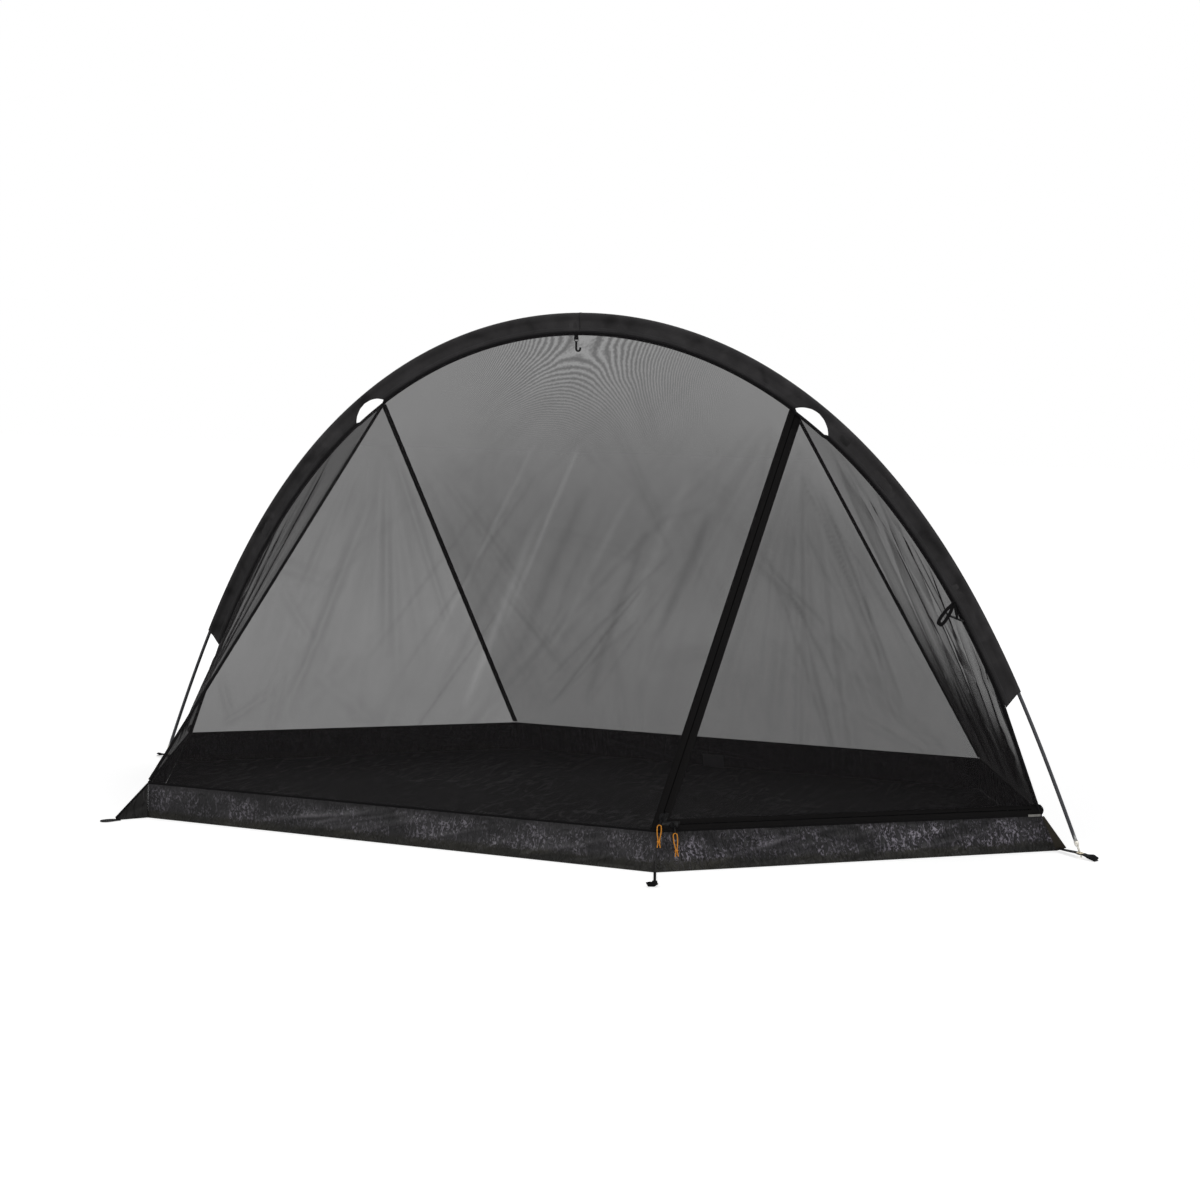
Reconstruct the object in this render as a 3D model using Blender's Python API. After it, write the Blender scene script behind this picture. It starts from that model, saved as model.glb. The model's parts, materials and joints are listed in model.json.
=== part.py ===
"""One-hoop mesh inner tent: a diagonal shock-corded pole over a six-cornered bathtub floor.

The floor and the netting are the same after half a turn about Z. +X runs along the hoop,
-Y is the door side, +Z is up, and the origin is on the ground under the hoop's top.
Lengths are in metres.
"""
import math

import bmesh
import bpy
import numpy as np
from mathutils import Vector

# Hoop and pole
HOOP_OUTLINE_HEIGHT = 1.190
HOOP_HALF_SPAN = 1.222
SECTION_COUNT = 9
STEPS_PER_SECTION = 8
POLE_RADIUS = 0.00425
POLE_WALL = 0.0005
POLE_SIDES = 8
FERRULE_REACH = 0.055
FERRULE_WALL = 0.0007
TIP_STEM_LENGTH = 0.020
TIP_COLLAR_LENGTH = 0.008
TIP_COLLAR_LIP = 0.0008
TIP_CONE_LENGTH = 0.005
TIP_PIN_RADIUS = 0.0023
TIP_PIN_LENGTH = 0.026
TIP_POINT_SHARE = 0.6
SHOCK_CORD_RADIUS = 0.00125
SHOCK_CORD_SIDES = 6

# Sleeve and the binding along its lower edge
SLEEVE_SLACK = 0.0008
SLEEVE_WALL = 0.0010
SLEEVE_DEPTH = 0.0425
SLEEVE_WEB_HALF = 0.0015
SLEEVE_WEB_TOP = -0.016
SLEEVE_HEM = 0.002
SLEEVE_NECK_SHARE = 0.45
SLEEVE_NECK_HALF_SHARE = 0.86
SLEEVE_CROWN_TURNS = (-95.0, -63.0, -32.0, 0.0, 32.0, 63.0, 95.0)
SLEEVE_BORE_TURNS = (130.0, 163.0, 197.0, 230.0)
SLEEVE_END_HEIGHT = 0.3575
VENT_LENGTH = 0.104
VENT_HEIGHT = 0.024
VENT_OFFSET = 0.044
VENT_STEPS = 10
STATION_ROOM = 0.004
VENT_STATION_ROOM = 0.0005
BINDING_DEPTH = 0.0092
BINDING_VENT_DEPTH = 0.0040
BINDING_THICKNESS = 0.0034
BINDING_EASE = 0.012
BINDING_STATION_ROOM = 0.003
BINDING_FOOT_SHARE = 0.25
RIDGE_PARTING = 0.0009

# Cloth, seams and gaps between touching pieces
FIT = 0.0003
CLOTH = 0.0010
CLOTH_GAP = 0.0006
SEAM_THICKNESS = 0.0024
THIN_SEAM_WIDTH = 0.005
WIDE_SEAM_WIDTH = 0.009
SEAM_ROOM = 0.0007
SEAM_TOP_SHARE = 0.9
SEAM_LOW_SHARE = 0.8
APEX_HALF_X = 0.540

# Bathtub floor: three of its six corners, the others are these after half a turn
TUB_HEIGHT = 0.081
FOOT_INSET = 0.062
FOOT_TOP_INSET = 0.097
FOOT_CORNER = Vector((HOOP_HALF_SPAN - FOOT_INSET, 0.038, 0.0))
FOOT_CORNER_TOP = Vector((HOOP_HALF_SPAN - FOOT_TOP_INSET, 0.027, TUB_HEIGHT))
DOOR_CORNER = Vector((0.417, -0.519, 0.0))
DOOR_CORNER_TOP = Vector((0.408, -0.482, TUB_HEIGHT))
END_CORNER = Vector((-0.853, -0.576, 0.0))
END_CORNER_TOP = Vector((-0.861, -0.562, TUB_HEIGHT))
FLOOR_THICKNESS = 0.0015
TUB_LIFT = 0.0005
FLOOR_ROOM = 0.0004

# Door zip
ZIP_SLOT = 0.0018
ZIP_TAPE_WIDTH = 0.0155
ZIP_TAPE_THICKNESS = 0.0016
ZIP_TAPE_EDGE = 0.0100
ZIP_LOW_TAPE_WIDTH = 0.0110
ZIP_CORNER_NOTCH = 0.043
ZIP_CORNER_LAP = 0.0015
ZIP_CORNER_BAND = 0.0042
ZIP_LOW_NOTCH = 0.022
ZIP_END_CLEARANCE = 0.038
ZIP_LOW_END = 0.024
ZIP_DOOR_LOW_CLEARANCE = 0.068
SLIDER_LENGTH = 0.018
SLIDER_WIDTH = 0.0125
SLIDER_PLATE = 0.0014
SLIDER_UPPER_START = 0.030
SLIDER_LOWER_START = 0.036
SLIDER_POST_LENGTH = 0.007
SLIDER_CUT_SHARE = 0.45
BAIL_LENGTH = 0.009
BAIL_WIDTH = 0.0034
BAIL_BAR = 0.0013
BAIL_TUNNEL = 0.0036
TAB_LENGTH = 0.022
TAB_WIDTH = 0.0068
TAB_WIRE = 0.0012
TAB_BLADE = 0.0052
TAB_ROOM = 0.0012
TAB_LAP_SHARE = 0.3
TAB_NECK_SHARE = 0.35
TAB_EYE_PLAY = 0.0004
PULL_CORD_RADIUS = 0.0012
PULL_LOOP_LENGTH = 0.036
PULL_LOOP_HALF_WIDTH = 0.0042
PULL_TAIL_LENGTH = 0.014
PULL_STRAND_GAP = 0.0006
PULL_TAIL_SPREADS = (0.9, 0.7)
UPPER_PULL_LEAN = math.radians(6.0)
UPPER_CORD_SWAY = math.radians(16.0)

# Door leaf: the fold line's place on the door cloth
FOLD_END_SHARE = 0.85
FOLD_POWER = 2.3
FOLD_COLUMNS = 15
FOLD_GAP = 0.0018
HINGE_LOW_SHARE = 0.80
HINGE_MIDDLE_SHARE = 0.59
HINGE_HIGH_SHARE = 0.20
HINGE_LIFT = 0.0015

# Loose folds in the two end panels
END_FOLD_COUNT = 5
RIGHT_FOLD_HEIGHT = 0.012
LEFT_FOLD_HEIGHT = 0.007

# Corner anchors
STRAP_WIDTH = 0.018
STRAP_THICKNESS = 0.0015
STRAP_ROOT_HEIGHT = 0.0060
STRAP_RING_HEIGHT = 0.0095
STRAP_ROOT_REACH = 0.0025
STRAP_FLAT_REACH = 0.012
STRAP_WIDTH_SHARES = (0.7, 1.0, 1.0, 0.85)
GROMMET_HOLE_RADIUS = 0.0042
GROMMET_RADIUS = 0.0080
GROMMET_BARREL = 0.0007
GROMMET_FLANGE = 0.0009
GROMMET_SIDES = 16
DRILL_REACH = 0.01
STRAP_TAIL_REACH = 0.035
STRAP_TAIL = Vector((HOOP_HALF_SPAN + STRAP_TAIL_REACH, -0.018, 0.0012))
FIN_TIP = Vector((-0.905, -0.630, 0.0))
FIN_THICKNESS = 0.0012
FIN_TOP_DROP = 0.002
FIN_TIP_HEIGHT = 0.006
LOOP_LENGTH = 0.046
LOOP_WIDTH = 0.026
LOOP_BAND = 0.0055
LOOP_THICKNESS = 0.0024
LOOP_OUTER = ((0.0, 0.35), (0.55, 1.0), (0.9, 1.0), (1.0, 0.6))
LOOP_INNER = ((0.34, 0.0, 1.0, 1.35), (0.58, 0.0, 1.0, 1.0), (0.84, 0.0, 1.0, 1.0),
              (1.0, 1.0, 0.6, 0.35))
LOOP_LIFT = 0.0002
FIN_LOOP_LAP = 0.008
PEG_LOOP_LAP = 0.006
PEG_WEBBING_SHARE = 0.8
PEG_WEBBING_AIM = Vector((0.378, -0.926, 0.0)).normalized()
PEG_WEBBING_LENGTH = 0.075
PEG_WEBBING_WIDTH = 0.006

# Lantern hook on its tape
HOOK_X = -0.011
HOOK_TAPE_WIDTH = 0.0076
HOOK_TAPE_DROP = 0.0115
HOOK_TAPE_NECK = 0.0040
HOOK_TAPE_HALF = 0.0026
HOOK_TAPE_WALL = 0.0010
HOOK_TAPE_CREST = 0.3
HOOK_TAPE_SHOULDER = 0.4
HOOK_TAPE_DIP = 0.1
HOOK_TAPE_TAPER = 0.8
HOOK_EYE_WALL = 0.0015
HOOK_EYE_PLAY = 0.0005
HOOK_EYE_CREST = 0.0006
HOOK_EYE_CREST_SHARE = 0.3
HOOK_BAR_ROOM = 0.0003
HOOK_SWING_ROOM = 0.0012
HOOK_BODY_LENGTH = 0.015
HOOK_ROD = 0.0042
HOOK_BOWL_RADIUS = 0.0052
HOOK_DROP = 0.024
HOOK_SHANK_SHARE = 0.8
HOOK_POINT_SHARE = 0.6

# Door tie-back: an elastic loop and a toggle's tape, sewn to the binding at one place
TIE_ROOT_HEIGHT = 0.548
TIE_TAPE_WIDTH = 0.0050
TIE_TAPE_THICKNESS = 0.0014
TIE_LOOP_LENGTH = 0.063
TIE_LOOP_HALF = 0.0100
TIE_ROOT_SHARE = 0.8
TIE_LOOP_OUTER = ((0.85, 0.35), (1.0, 0.8), (0.6, 1.0))
TIE_LOOP_INNER = ((0.85, -1.0, 0.37), (1.0, -1.0, 0.78))
TIE_LOOP_NEAR = 0.14
TIE_LOOP_NEAR_HALF = 0.06
TIE_LOOP_END = (0.5, -0.3)
TIE_LOOP_LEAN = Vector((-0.57, 0.0, -0.82))
TOGGLE_NECK_LENGTH = 0.037
TOGGLE_NECK_THICKNESS = 0.0010
TOGGLE_NECK_LEAN = Vector((0.16, 0.0, -0.99))
TOGGLE_NECK_LIFT = 0.07
TOGGLE_LENGTH = 0.033
TOGGLE_RADIUS = 0.0025
TOGGLE_WAIST_RADIUS = 0.0014
TOGGLE_RING_WALL = 0.0009
TOGGLE_NECK_SHARE = 0.45
TOGGLE_ROUND_SHARE = 0.6
TOGGLE_SHOULDER_SHARE = 0.3
TOGGLE_DIRECTION = Vector((0.97, 0.0, -0.24))

UP = Vector((0.0, 0.0, 1.0))
SIDE = Vector((0.0, 1.0, 0.0))


def clear_scene():
    """Remove the objects that a new file starts with."""
    for item in list(bpy.data.objects):
        bpy.data.objects.remove(item, do_unlink=True)


def material(name, colour, roughness, metallic=0.0):
    """A Principled material in one colour."""
    finish = bpy.data.materials.new(name)
    finish.use_nodes = True
    shader = finish.node_tree.nodes["Principled BSDF"]
    shader.inputs["Base Color"].default_value = (*colour, 1.0)
    shader.inputs["Roughness"].default_value = roughness
    shader.inputs["Metallic"].default_value = metallic
    return finish


NETTING = (0.030, 0.030, 0.032)
SLEEVE_GREY = (0.026, 0.026, 0.028)
TAPE_BLACK = (0.010, 0.009, 0.010)
TUB_GREY = (0.032, 0.032, 0.034)
POLE_GREY = (0.090, 0.092, 0.098)
BARE_METAL = (0.620, 0.600, 0.560)
ZIP_BLACK = (0.014, 0.014, 0.015)
CORD_ORANGE = (0.730, 0.300, 0.020)


def add_object(name, mesh, colour, roughness=0.8, metallic=0.0, smooth=True):
    """Put a mesh in the scene as one sub-part with its own material."""
    if smooth:
        mesh.shade_smooth()
        mesh.set_sharp_from_angle(angle=math.radians(35.0))
    mesh.materials.append(material(name + "_finish", colour, roughness, metallic))
    part = bpy.data.objects.new(name, mesh)
    bpy.context.scene.collection.objects.link(part)
    return part


def to_mesh(name, bm):
    """Turn a closed bmesh into a mesh whose faces point out."""
    bmesh.ops.recalc_face_normals(bm, faces=bm.faces)
    mesh = bpy.data.meshes.new(name)
    bm.to_mesh(mesh)
    bm.free()
    return mesh


def set_origin(part, point):
    """Move an object's origin to a point and leave its shape where it is."""
    for vertex in part.data.vertices:
        vertex.co -= point
    part.location = point


def join_cut(part, tool, operation):
    """Union a tool mesh with a part, or cut it away, and remove the tool."""
    change = part.modifiers.new(operation.lower(), "BOOLEAN")
    change.operation = operation
    change.solver = "EXACT"
    change.object = tool
    bpy.context.view_layer.update()
    mesh = bpy.data.meshes.new_from_object(
        part.evaluated_get(bpy.context.evaluated_depsgraph_get()))
    part.modifiers.clear()
    part.data = mesh
    bpy.data.objects.remove(tool, do_unlink=True)


# The hoop's curve: a springy rod pinned at both feet, whose bend grows with its height


def rod_shape(foot_angle, samples=600):
    """Arc length, x, z and slope of a pinned rod from its top to its foot, unscaled."""
    modulus = math.sin(foot_angle / 2.0)
    turn = np.linspace(0.0, math.pi / 2.0, samples)
    slope = 2.0 * np.arcsin(modulus * np.sin(turn))
    speed = 1.0 / np.sqrt(1.0 - (modulus * np.sin(turn)) ** 2)
    step = turn[1] - turn[0]
    arc = np.concatenate(([0.0], np.cumsum((speed[1:] + speed[:-1]) * step / 2.0)))
    run = speed * np.cos(slope)
    x = np.concatenate(([0.0], np.cumsum((run[1:] + run[:-1]) * step / 2.0)))
    z = 2.0 * modulus * np.cos(turn)
    return arc, x, z, slope


class Hoop:
    """The pole's centre line, as a chain of straight steps shared by all that follows it."""

    def __init__(self, height, half_span):
        low, high = math.radians(20.0), math.radians(120.0)
        for _ in range(60):
            middle = (low + high) / 2.0
            arc, x, z, slope = rod_shape(middle)
            if x[-1] / z[0] > half_span / height:
                low = middle
            else:
                high = middle
        scale = height / z[0]
        self.half_length = arc[-1] * scale
        count = SECTION_COUNT * STEPS_PER_SECTION
        self.stations = np.linspace(-self.half_length, self.half_length, count + 1)
        reach = np.abs(self.stations) / scale
        self.x = np.sign(self.stations) * np.interp(reach, arc, x) * scale
        self.z = np.interp(reach, arc, z) * scale
        self.slope = np.sign(self.stations) * np.interp(reach, arc, slope)

    def frame(self, s):
        """Point, direction towards +X and outward normal at arc length s from the top."""
        x = np.interp(s, self.stations, self.x)
        z = np.interp(s, self.stations, self.z)
        slope = np.interp(s, self.stations, self.slope)
        along = Vector((math.cos(slope), 0.0, -math.sin(slope)))
        out = Vector((math.sin(slope), 0.0, math.cos(slope)))
        return Vector((x, 0.0, z)), along, out

    def offset(self, s, out_distance, side=0.0):
        """A point beside the pole, out from its centre line and along Y."""
        point, _, out = self.frame(s)
        return point + out * out_distance + SIDE * side

    def between(self, start, end):
        """The two ends and every shared station between them."""
        inner = [s for s in self.stations if start + 1e-4 < s < end - 1e-4]
        return [start] + inner + [end]

    def find(self, test):
        """Arc length on the +X half where test(point) turns from positive to negative."""
        low, high = 0.0, self.half_length
        for _ in range(50):
            middle = (low + high) / 2.0
            if test(middle) > 0.0:
                low = middle
            else:
                high = middle
        return low


SLEEVE_BORE = POLE_RADIUS + SLEEVE_SLACK
SLEEVE_RADIUS = SLEEVE_BORE + SLEEVE_WALL
HOOP = Hoop(HOOP_OUTLINE_HEIGHT - SLEEVE_RADIUS, HOOP_HALF_SPAN)
WEB_BOTTOM = SLEEVE_RADIUS - SLEEVE_DEPTH
BINDING_TOP = WEB_BOTTOM - FIT
BINDING_BOTTOM = BINDING_TOP - BINDING_DEPTH
RIDGE = BINDING_BOTTOM - CLOTH_GAP
RIDGE_SIDE = CLOTH / 2.0 + RIDGE_PARTING
FOOT_SIDE = (BINDING_THICKNESS + CLOTH) / 2.0 + CLOTH_GAP
APEX_S = HOOP.find(lambda s: APEX_HALF_X - HOOP.offset(s, RIDGE).x)
SLEEVE_END_S = HOOP.find(lambda s: HOOP.frame(s)[0].z - SLEEVE_END_HEIGHT)
VENT_S = APEX_S + VENT_OFFSET
SECTION_LENGTH = 2.0 * HOOP.half_length / SECTION_COUNT


def unit(start, end):
    """The direction from one point to another."""
    return (end - start).normalized()


def foot_end(edge):
    """Where a panel on the right foot's side ends beside the binding, along the tub's top."""
    clear = BINDING_THICKNESS / 2.0 + CLOTH + 2.0 * CLOTH_GAP
    return FOOT_CORNER_TOP + edge * (clear / abs(edge.y))


def half_turn(point):
    """The same point after half a turn about Z."""
    return Vector((-point.x, -point.y, point.z))


def ring_body(name, rings, closed_ends=True):
    """A closed body through rings of points, each ring with as many points as the next."""
    bm = bmesh.new()
    loops = [[bm.verts.new(point) for point in ring] for ring in rings]
    count = len(loops[0])
    for first, second in zip(loops, loops[1:]):
        for i in range(count):
            j = (i + 1) % count
            bm.faces.new((first[i], first[j], second[j], second[i]))
    if closed_ends:
        bm.faces.new(loops[0])
        bm.faces.new(loops[-1])
    else:
        for i in range(count):
            j = (i + 1) % count
            bm.faces.new((loops[-1][i], loops[-1][j], loops[0][j], loops[0][i]))
    return to_mesh(name, bm)


def tube_body(name, outer, inner):
    """A closed body between an outer and an inner chain of rings, open right through."""
    return ring_body(name, outer + inner[::-1], closed_ends=False)


def hoop_ring(s, radius, sides):
    """A circle of points round the pole's centre line."""
    point, _, out = HOOP.frame(s)
    turns = [math.tau * (i + 0.5) / sides for i in range(sides)]
    return [point + out * (radius * math.cos(a)) + SIDE * (radius * math.sin(a)) for a in turns]


def path_frames(points, hint):
    """Direction, and two square vectors carried without twist, at each point of a path."""
    frames = []
    previous = hint
    for i, point in enumerate(points):
        ahead = points[min(i + 1, len(points) - 1)]
        behind = points[max(i - 1, 0)]
        along = (ahead - behind).normalized()
        first = (previous - along * previous.dot(along)).normalized()
        frames.append((point, first, along.cross(first)))
        previous = first
    return frames


def round_rings(points, radius, sides, hint):
    """Circles of points round a path."""
    turns = [math.tau * i / sides for i in range(sides)]
    return [[point + first * (radius * math.cos(a)) + second * (radius * math.sin(a))
             for a in turns] for point, first, second in path_frames(points, hint)]


def rod_along(name, points, radius, sides, hint):
    """A solid round rod along a path."""
    return ring_body(name, round_rings(points, radius, sides, hint))


def smooth_path(knots, steps):
    """Points on a smooth curve through the knots, with steps between neighbours."""
    ends = [knots[0] * 2.0 - knots[1]] + list(knots) + [knots[-1] * 2.0 - knots[-2]]
    points = []
    for i in range(1, len(ends) - 2):
        before, start, stop, after = ends[i - 1], ends[i], ends[i + 1], ends[i + 2]
        for k in range(steps):
            t = k / steps
            points.append(0.5 * ((2.0 * start) + (stop - before) * t
                                 + (2.0 * before - 5.0 * start + 4.0 * stop - after) * t * t
                                 + (3.0 * start - before - 3.0 * stop + after) * t ** 3))
    points.append(knots[-1].copy())
    return points


def slab(name, origin, first, second, outline, thickness, centre=0.0):
    """A flat piece: an outline in the plane of two vectors, with its thickness across it."""
    normal = first.cross(second).normalized()
    low = normal * (centre - thickness / 2.0)
    high = normal * (centre + thickness / 2.0)
    base = [origin + first * a + second * b for a, b in outline]
    return ring_body(name, [[p + low for p in base], [p + high for p in base]])


def frame_slab(name, origin, first, second, outer, inner, thickness, centre=0.0):
    """A flat ring between two outlines with as many points, such as a loop of webbing."""
    normal = first.cross(second).normalized()
    rings = []
    for outline, level in ((outer, -0.5), (outer, 0.5), (inner, 0.5), (inner, -0.5)):
        shift = normal * (centre + level * thickness)
        rings.append([origin + first * a + second * b + shift for a, b in outline])
    return ring_body(name, rings, closed_ends=False)


def box_outline(low_a, high_a, low_b, high_b):
    """The four corners of a rectangle."""
    return [(low_a, low_b), (high_a, low_b), (high_a, high_b), (low_a, high_b)]


def arc_outline(centre_a, centre_b, radius, start, end, steps):
    """Points on a round stretch of an outline, with angles in degrees."""
    angles = [math.radians(start + (end - start) * i / steps) for i in range(steps + 1)]
    return [(centre_a + radius * math.cos(t), centre_b + radius * math.sin(t)) for t in angles]


# Pole: tube sections, the ferrules that join them, the shock cord inside and the two tips


def build_pole():
    """Nine hollow sections butt together over ferrules, with tips at both feet."""
    tip_reach = TIP_PIN_LENGTH + TIP_CONE_LENGTH + TIP_COLLAR_LENGTH
    bore = POLE_RADIUS - POLE_WALL
    for i in range(SECTION_COUNT):
        start = -HOOP.half_length + i * SECTION_LENGTH + FIT / 2.0
        end = start + SECTION_LENGTH - FIT
        if i == 0:
            start = -HOOP.half_length + tip_reach + FIT
        if i == SECTION_COUNT - 1:
            end = HOOP.half_length - tip_reach - FIT
        stations = HOOP.between(start, end)
        outer = [hoop_ring(s, POLE_RADIUS, POLE_SIDES) for s in stations]
        inner = [hoop_ring(s, bore, POLE_SIDES) for s in stations]
        name = f"pole_section_{i + 1}"
        add_object(name, tube_body(name, outer, inner), POLE_GREY, 0.35, 0.9)
    for i in range(1, SECTION_COUNT):
        joint = -HOOP.half_length + i * SECTION_LENGTH
        stations = HOOP.between(joint - FERRULE_REACH, joint + FERRULE_REACH)
        radius = bore - FIT
        outer = [hoop_ring(s, radius, POLE_SIDES) for s in stations]
        inner = [hoop_ring(s, radius - FERRULE_WALL, POLE_SIDES) for s in stations]
        name = f"ferrule_{i}"
        add_object(name, tube_body(name, outer, inner), BARE_METAL, 0.3, 1.0)
    stem_end = HOOP.half_length - tip_reach - TIP_STEM_LENGTH
    reach = stem_end - FIT
    cord = [hoop_ring(s, SHOCK_CORD_RADIUS, SHOCK_CORD_SIDES)
            for s in HOOP.between(-reach, reach)]
    add_object("shock_cord", ring_body("shock_cord", cord), TAPE_BLACK, 0.9)
    for name, sign in (("pole_tip_right", 1.0), ("pole_tip_left", -1.0)):
        add_object(name, tip_mesh(name, sign, tip_reach), BARE_METAL, 0.28, 1.0)


def tip_mesh(name, sign, tip_reach):
    """A turned tip: stem inside the tube, collar against its end, cone and pin."""
    foot = HOOP.half_length
    slope = abs(HOOP.frame(foot)[2].z)
    pin_end = foot - (TIP_PIN_RADIUS * TIP_POINT_SHARE * slope + FIT) / HOOP.frame(foot)[2].x
    collar = foot - tip_reach
    cone = collar + TIP_COLLAR_LENGTH
    stem = POLE_RADIUS - POLE_WALL - FIT
    collar_radius = POLE_RADIUS + TIP_COLLAR_LIP
    profile = [
        (collar - TIP_STEM_LENGTH, stem), (collar, stem),
        (collar, collar_radius), (cone, collar_radius),
        (cone + TIP_CONE_LENGTH, TIP_PIN_RADIUS),
        (pin_end - TIP_PIN_RADIUS, TIP_PIN_RADIUS), (pin_end, TIP_PIN_RADIUS * TIP_POINT_SHARE),
    ]
    rings = [hoop_ring(sign * s, radius, POLE_SIDES) for s, radius in profile]
    return ring_body(name, rings)


# Sleeve: a channel round the pole and a flat web below it, with a half-moon vent each side


def web_edge(s):
    """Where the sleeve's web ends below the pole: at its hem, or at the vent's arc."""
    reach = VENT_LENGTH / 2.0
    away = abs(abs(s) - VENT_S)
    if away >= reach:
        return WEB_BOTTOM
    radius = (reach ** 2 + VENT_HEIGHT ** 2) / (2.0 * VENT_HEIGHT)
    return WEB_BOTTOM + math.sqrt(radius ** 2 - away ** 2) - (radius - VENT_HEIGHT)


def sleeve_rings(s):
    """Outer and inner points of the sleeve's section at one station."""
    edge = web_edge(s)
    neck = -SLEEVE_RADIUS * SLEEVE_NECK_SHARE
    neck_half = SLEEVE_RADIUS * SLEEVE_NECK_HALF_SHARE
    web = max(SLEEVE_WEB_TOP, edge + SLEEVE_HEM)
    web_half = np.interp(web, [SLEEVE_WEB_TOP, neck], [SLEEVE_WEB_HALF, neck_half])
    hem_half = min(SLEEVE_WEB_HALF, web_half)
    crown = [math.radians(a) for a in SLEEVE_CROWN_TURNS]
    outer = [(SLEEVE_RADIUS * math.cos(a), SLEEVE_RADIUS * math.sin(a)) for a in crown]
    outer += [(web, web_half), (edge, hem_half), (edge, -hem_half), (web, -web_half)]
    turns = crown + [math.radians(a) for a in SLEEVE_BORE_TURNS]
    inner = [(SLEEVE_BORE * math.cos(a), SLEEVE_BORE * math.sin(a)) for a in turns]
    return ([HOOP.offset(s, a, b) for a, b in outer], [HOOP.offset(s, a, b) for a, b in inner])


def build_sleeve():
    """Left and right halves, sewn together over the top."""
    reach = VENT_LENGTH / 2.0
    vent = even(VENT_STEPS, VENT_S - reach, VENT_S + reach)
    shared = HOOP.between(FIT / 2.0, SLEEVE_END_S)
    stations = sorted(vent + [s for s in shared if all(abs(s - v) > STATION_ROOM for v in vent)]
                      + [s for s in shared[1:-1] if vent[0] < s < vent[-1]
                         and all(abs(s - v) > VENT_STATION_ROOM for v in vent)])
    stations = sorted(set(round(s, 7) for s in stations))
    for name, sign in (("sleeve_right", 1.0), ("sleeve_left", -1.0)):
        rings = [sleeve_rings(sign * s) for s in stations]
        mesh = tube_body(name, [ring[0] for ring in rings], [ring[1] for ring in rings])
        add_object(name, mesh, SLEEVE_GREY, 0.75)


# Ridge binding: one tape from foot corner to foot corner, over the hoop


def binding_ring(base, out, top, bottom):
    """Four corners of the binding's section."""
    half = BINDING_THICKNESS / 2.0
    return [base + out * top + SIDE * half, base + out * top - SIDE * half,
            base + out * bottom - SIDE * half, base + out * bottom + SIDE * half]


def build_binding():
    """The tape narrows under the vents, and carries the lantern hook's tape at the top."""
    reach = VENT_LENGTH / 2.0
    stations = HOOP.between(-SLEEVE_END_S, SLEEVE_END_S)
    edges = [sign * (VENT_S + shift) for sign in (-1.0, 1.0)
             for shift in (-reach, -reach + BINDING_EASE, reach - BINDING_EASE, reach)]
    stations = sorted([s for s in stations
                       if all(abs(s - e) > BINDING_STATION_ROOM for e in edges)] + edges)
    rings = []
    for sign in (-1.0, 1.0):
        corner = FOOT_CORNER_TOP if sign > 0.0 else half_turn(FOOT_CORNER_TOP)
        _, _, out = HOOP.frame(sign * SLEEVE_END_S)
        lift = UP * (CLOTH_GAP + BINDING_DEPTH * BINDING_FOOT_SHARE)
        base = corner + lift - out * (BINDING_DEPTH / 2.0)
        rings.append(binding_ring(base, out, BINDING_DEPTH / 2.0, -BINDING_DEPTH / 2.0))
    body = []
    for s in stations:
        away = abs(abs(s) - VENT_S)
        depth = BINDING_DEPTH
        if away < reach - BINDING_EASE / 2.0:
            depth = BINDING_VENT_DEPTH
        point, _, out = HOOP.frame(s)
        body.append(binding_ring(point, out, BINDING_BOTTOM + depth, BINDING_BOTTOM))
    mesh = ring_body("ridge_binding", [rings[0]] + body + [rings[1]])
    binding = add_object("ridge_binding", mesh, TAPE_BLACK, 0.85)
    join_cut(binding, hook_tape(), "UNION")


def hook_tape():
    """The lantern hook's tape: a flat neck between the panels, then a small loop."""
    bottom = HOOP.offset(0.0, BINDING_BOTTOM).z
    top = bottom + BINDING_DEPTH / 2.0
    neck = bottom - HOOK_TAPE_NECK
    low = bottom - HOOK_TAPE_DROP
    thin = RIDGE_PARTING - FIT
    half, wall = HOOK_TAPE_HALF, HOOK_TAPE_WALL
    wide = neck - (half - thin)
    outer = [(-thin, top), (thin, top), (thin, neck), (half, wide), (half, low), (-half, low),
             (-half, wide), (-thin, neck)]
    crest = wide + wall * HOOK_TAPE_CREST
    dip, shoulder = crest - wall * HOOK_TAPE_DIP, wide - wall * HOOK_TAPE_SHOULDER
    narrow, broad = thin * HOOK_TAPE_TAPER / 2.0, thin * HOOK_TAPE_TAPER
    inner = [(-narrow, crest), (narrow, crest), (broad, dip), (half - wall, shoulder),
             (half - wall, low + wall), (-half + wall, low + wall), (-half + wall, shoulder),
             (-broad, dip)]
    loop = frame_slab("hook_tape", Vector((HOOK_X, 0.0, 0.0)), SIDE, UP, outer, inner,
                      HOOK_TAPE_WIDTH)
    return add_object("hook_tape", loop, TAPE_BLACK, 0.85, smooth=False)


# Netting: each panel is ruled between the hoop and the tub's top edge


class Cloth:
    """A taut cloth of straight threads between a top edge and a bottom edge."""

    def __init__(self, top, bottom):
        self.top = top
        self.bottom = bottom

    def point(self, u, v):
        """The point u across and v down, both from 0 to 1."""
        return self.top(u).lerp(self.bottom(u), v)

    def normal(self, u, v):
        """The cloth's normal there."""
        step = 0.01
        across = self.point(min(u + step, 1.0), v) - self.point(max(u - step, 0.0), v)
        down = self.point(u, 1.0) - self.point(u, 0.0)
        return across.cross(down).normalized()


def ridge_side(s):
    """How far beside the hoop's plane a panel hangs: further out towards the feet."""
    part_way = max(abs(s) - APEX_S, 0.0) / (SLEEVE_END_S - APEX_S)
    return RIDGE_SIDE + (FOOT_SIDE - RIDGE_SIDE) * part_way


def ridge_edge(start, end, side):
    """The top edge of a panel: the hoop's ridge from one arc length to another."""
    def edge(u):
        s = start + (end - start) * u
        return HOOP.offset(s, RIDGE, side * ridge_side(s))
    return edge


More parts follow.
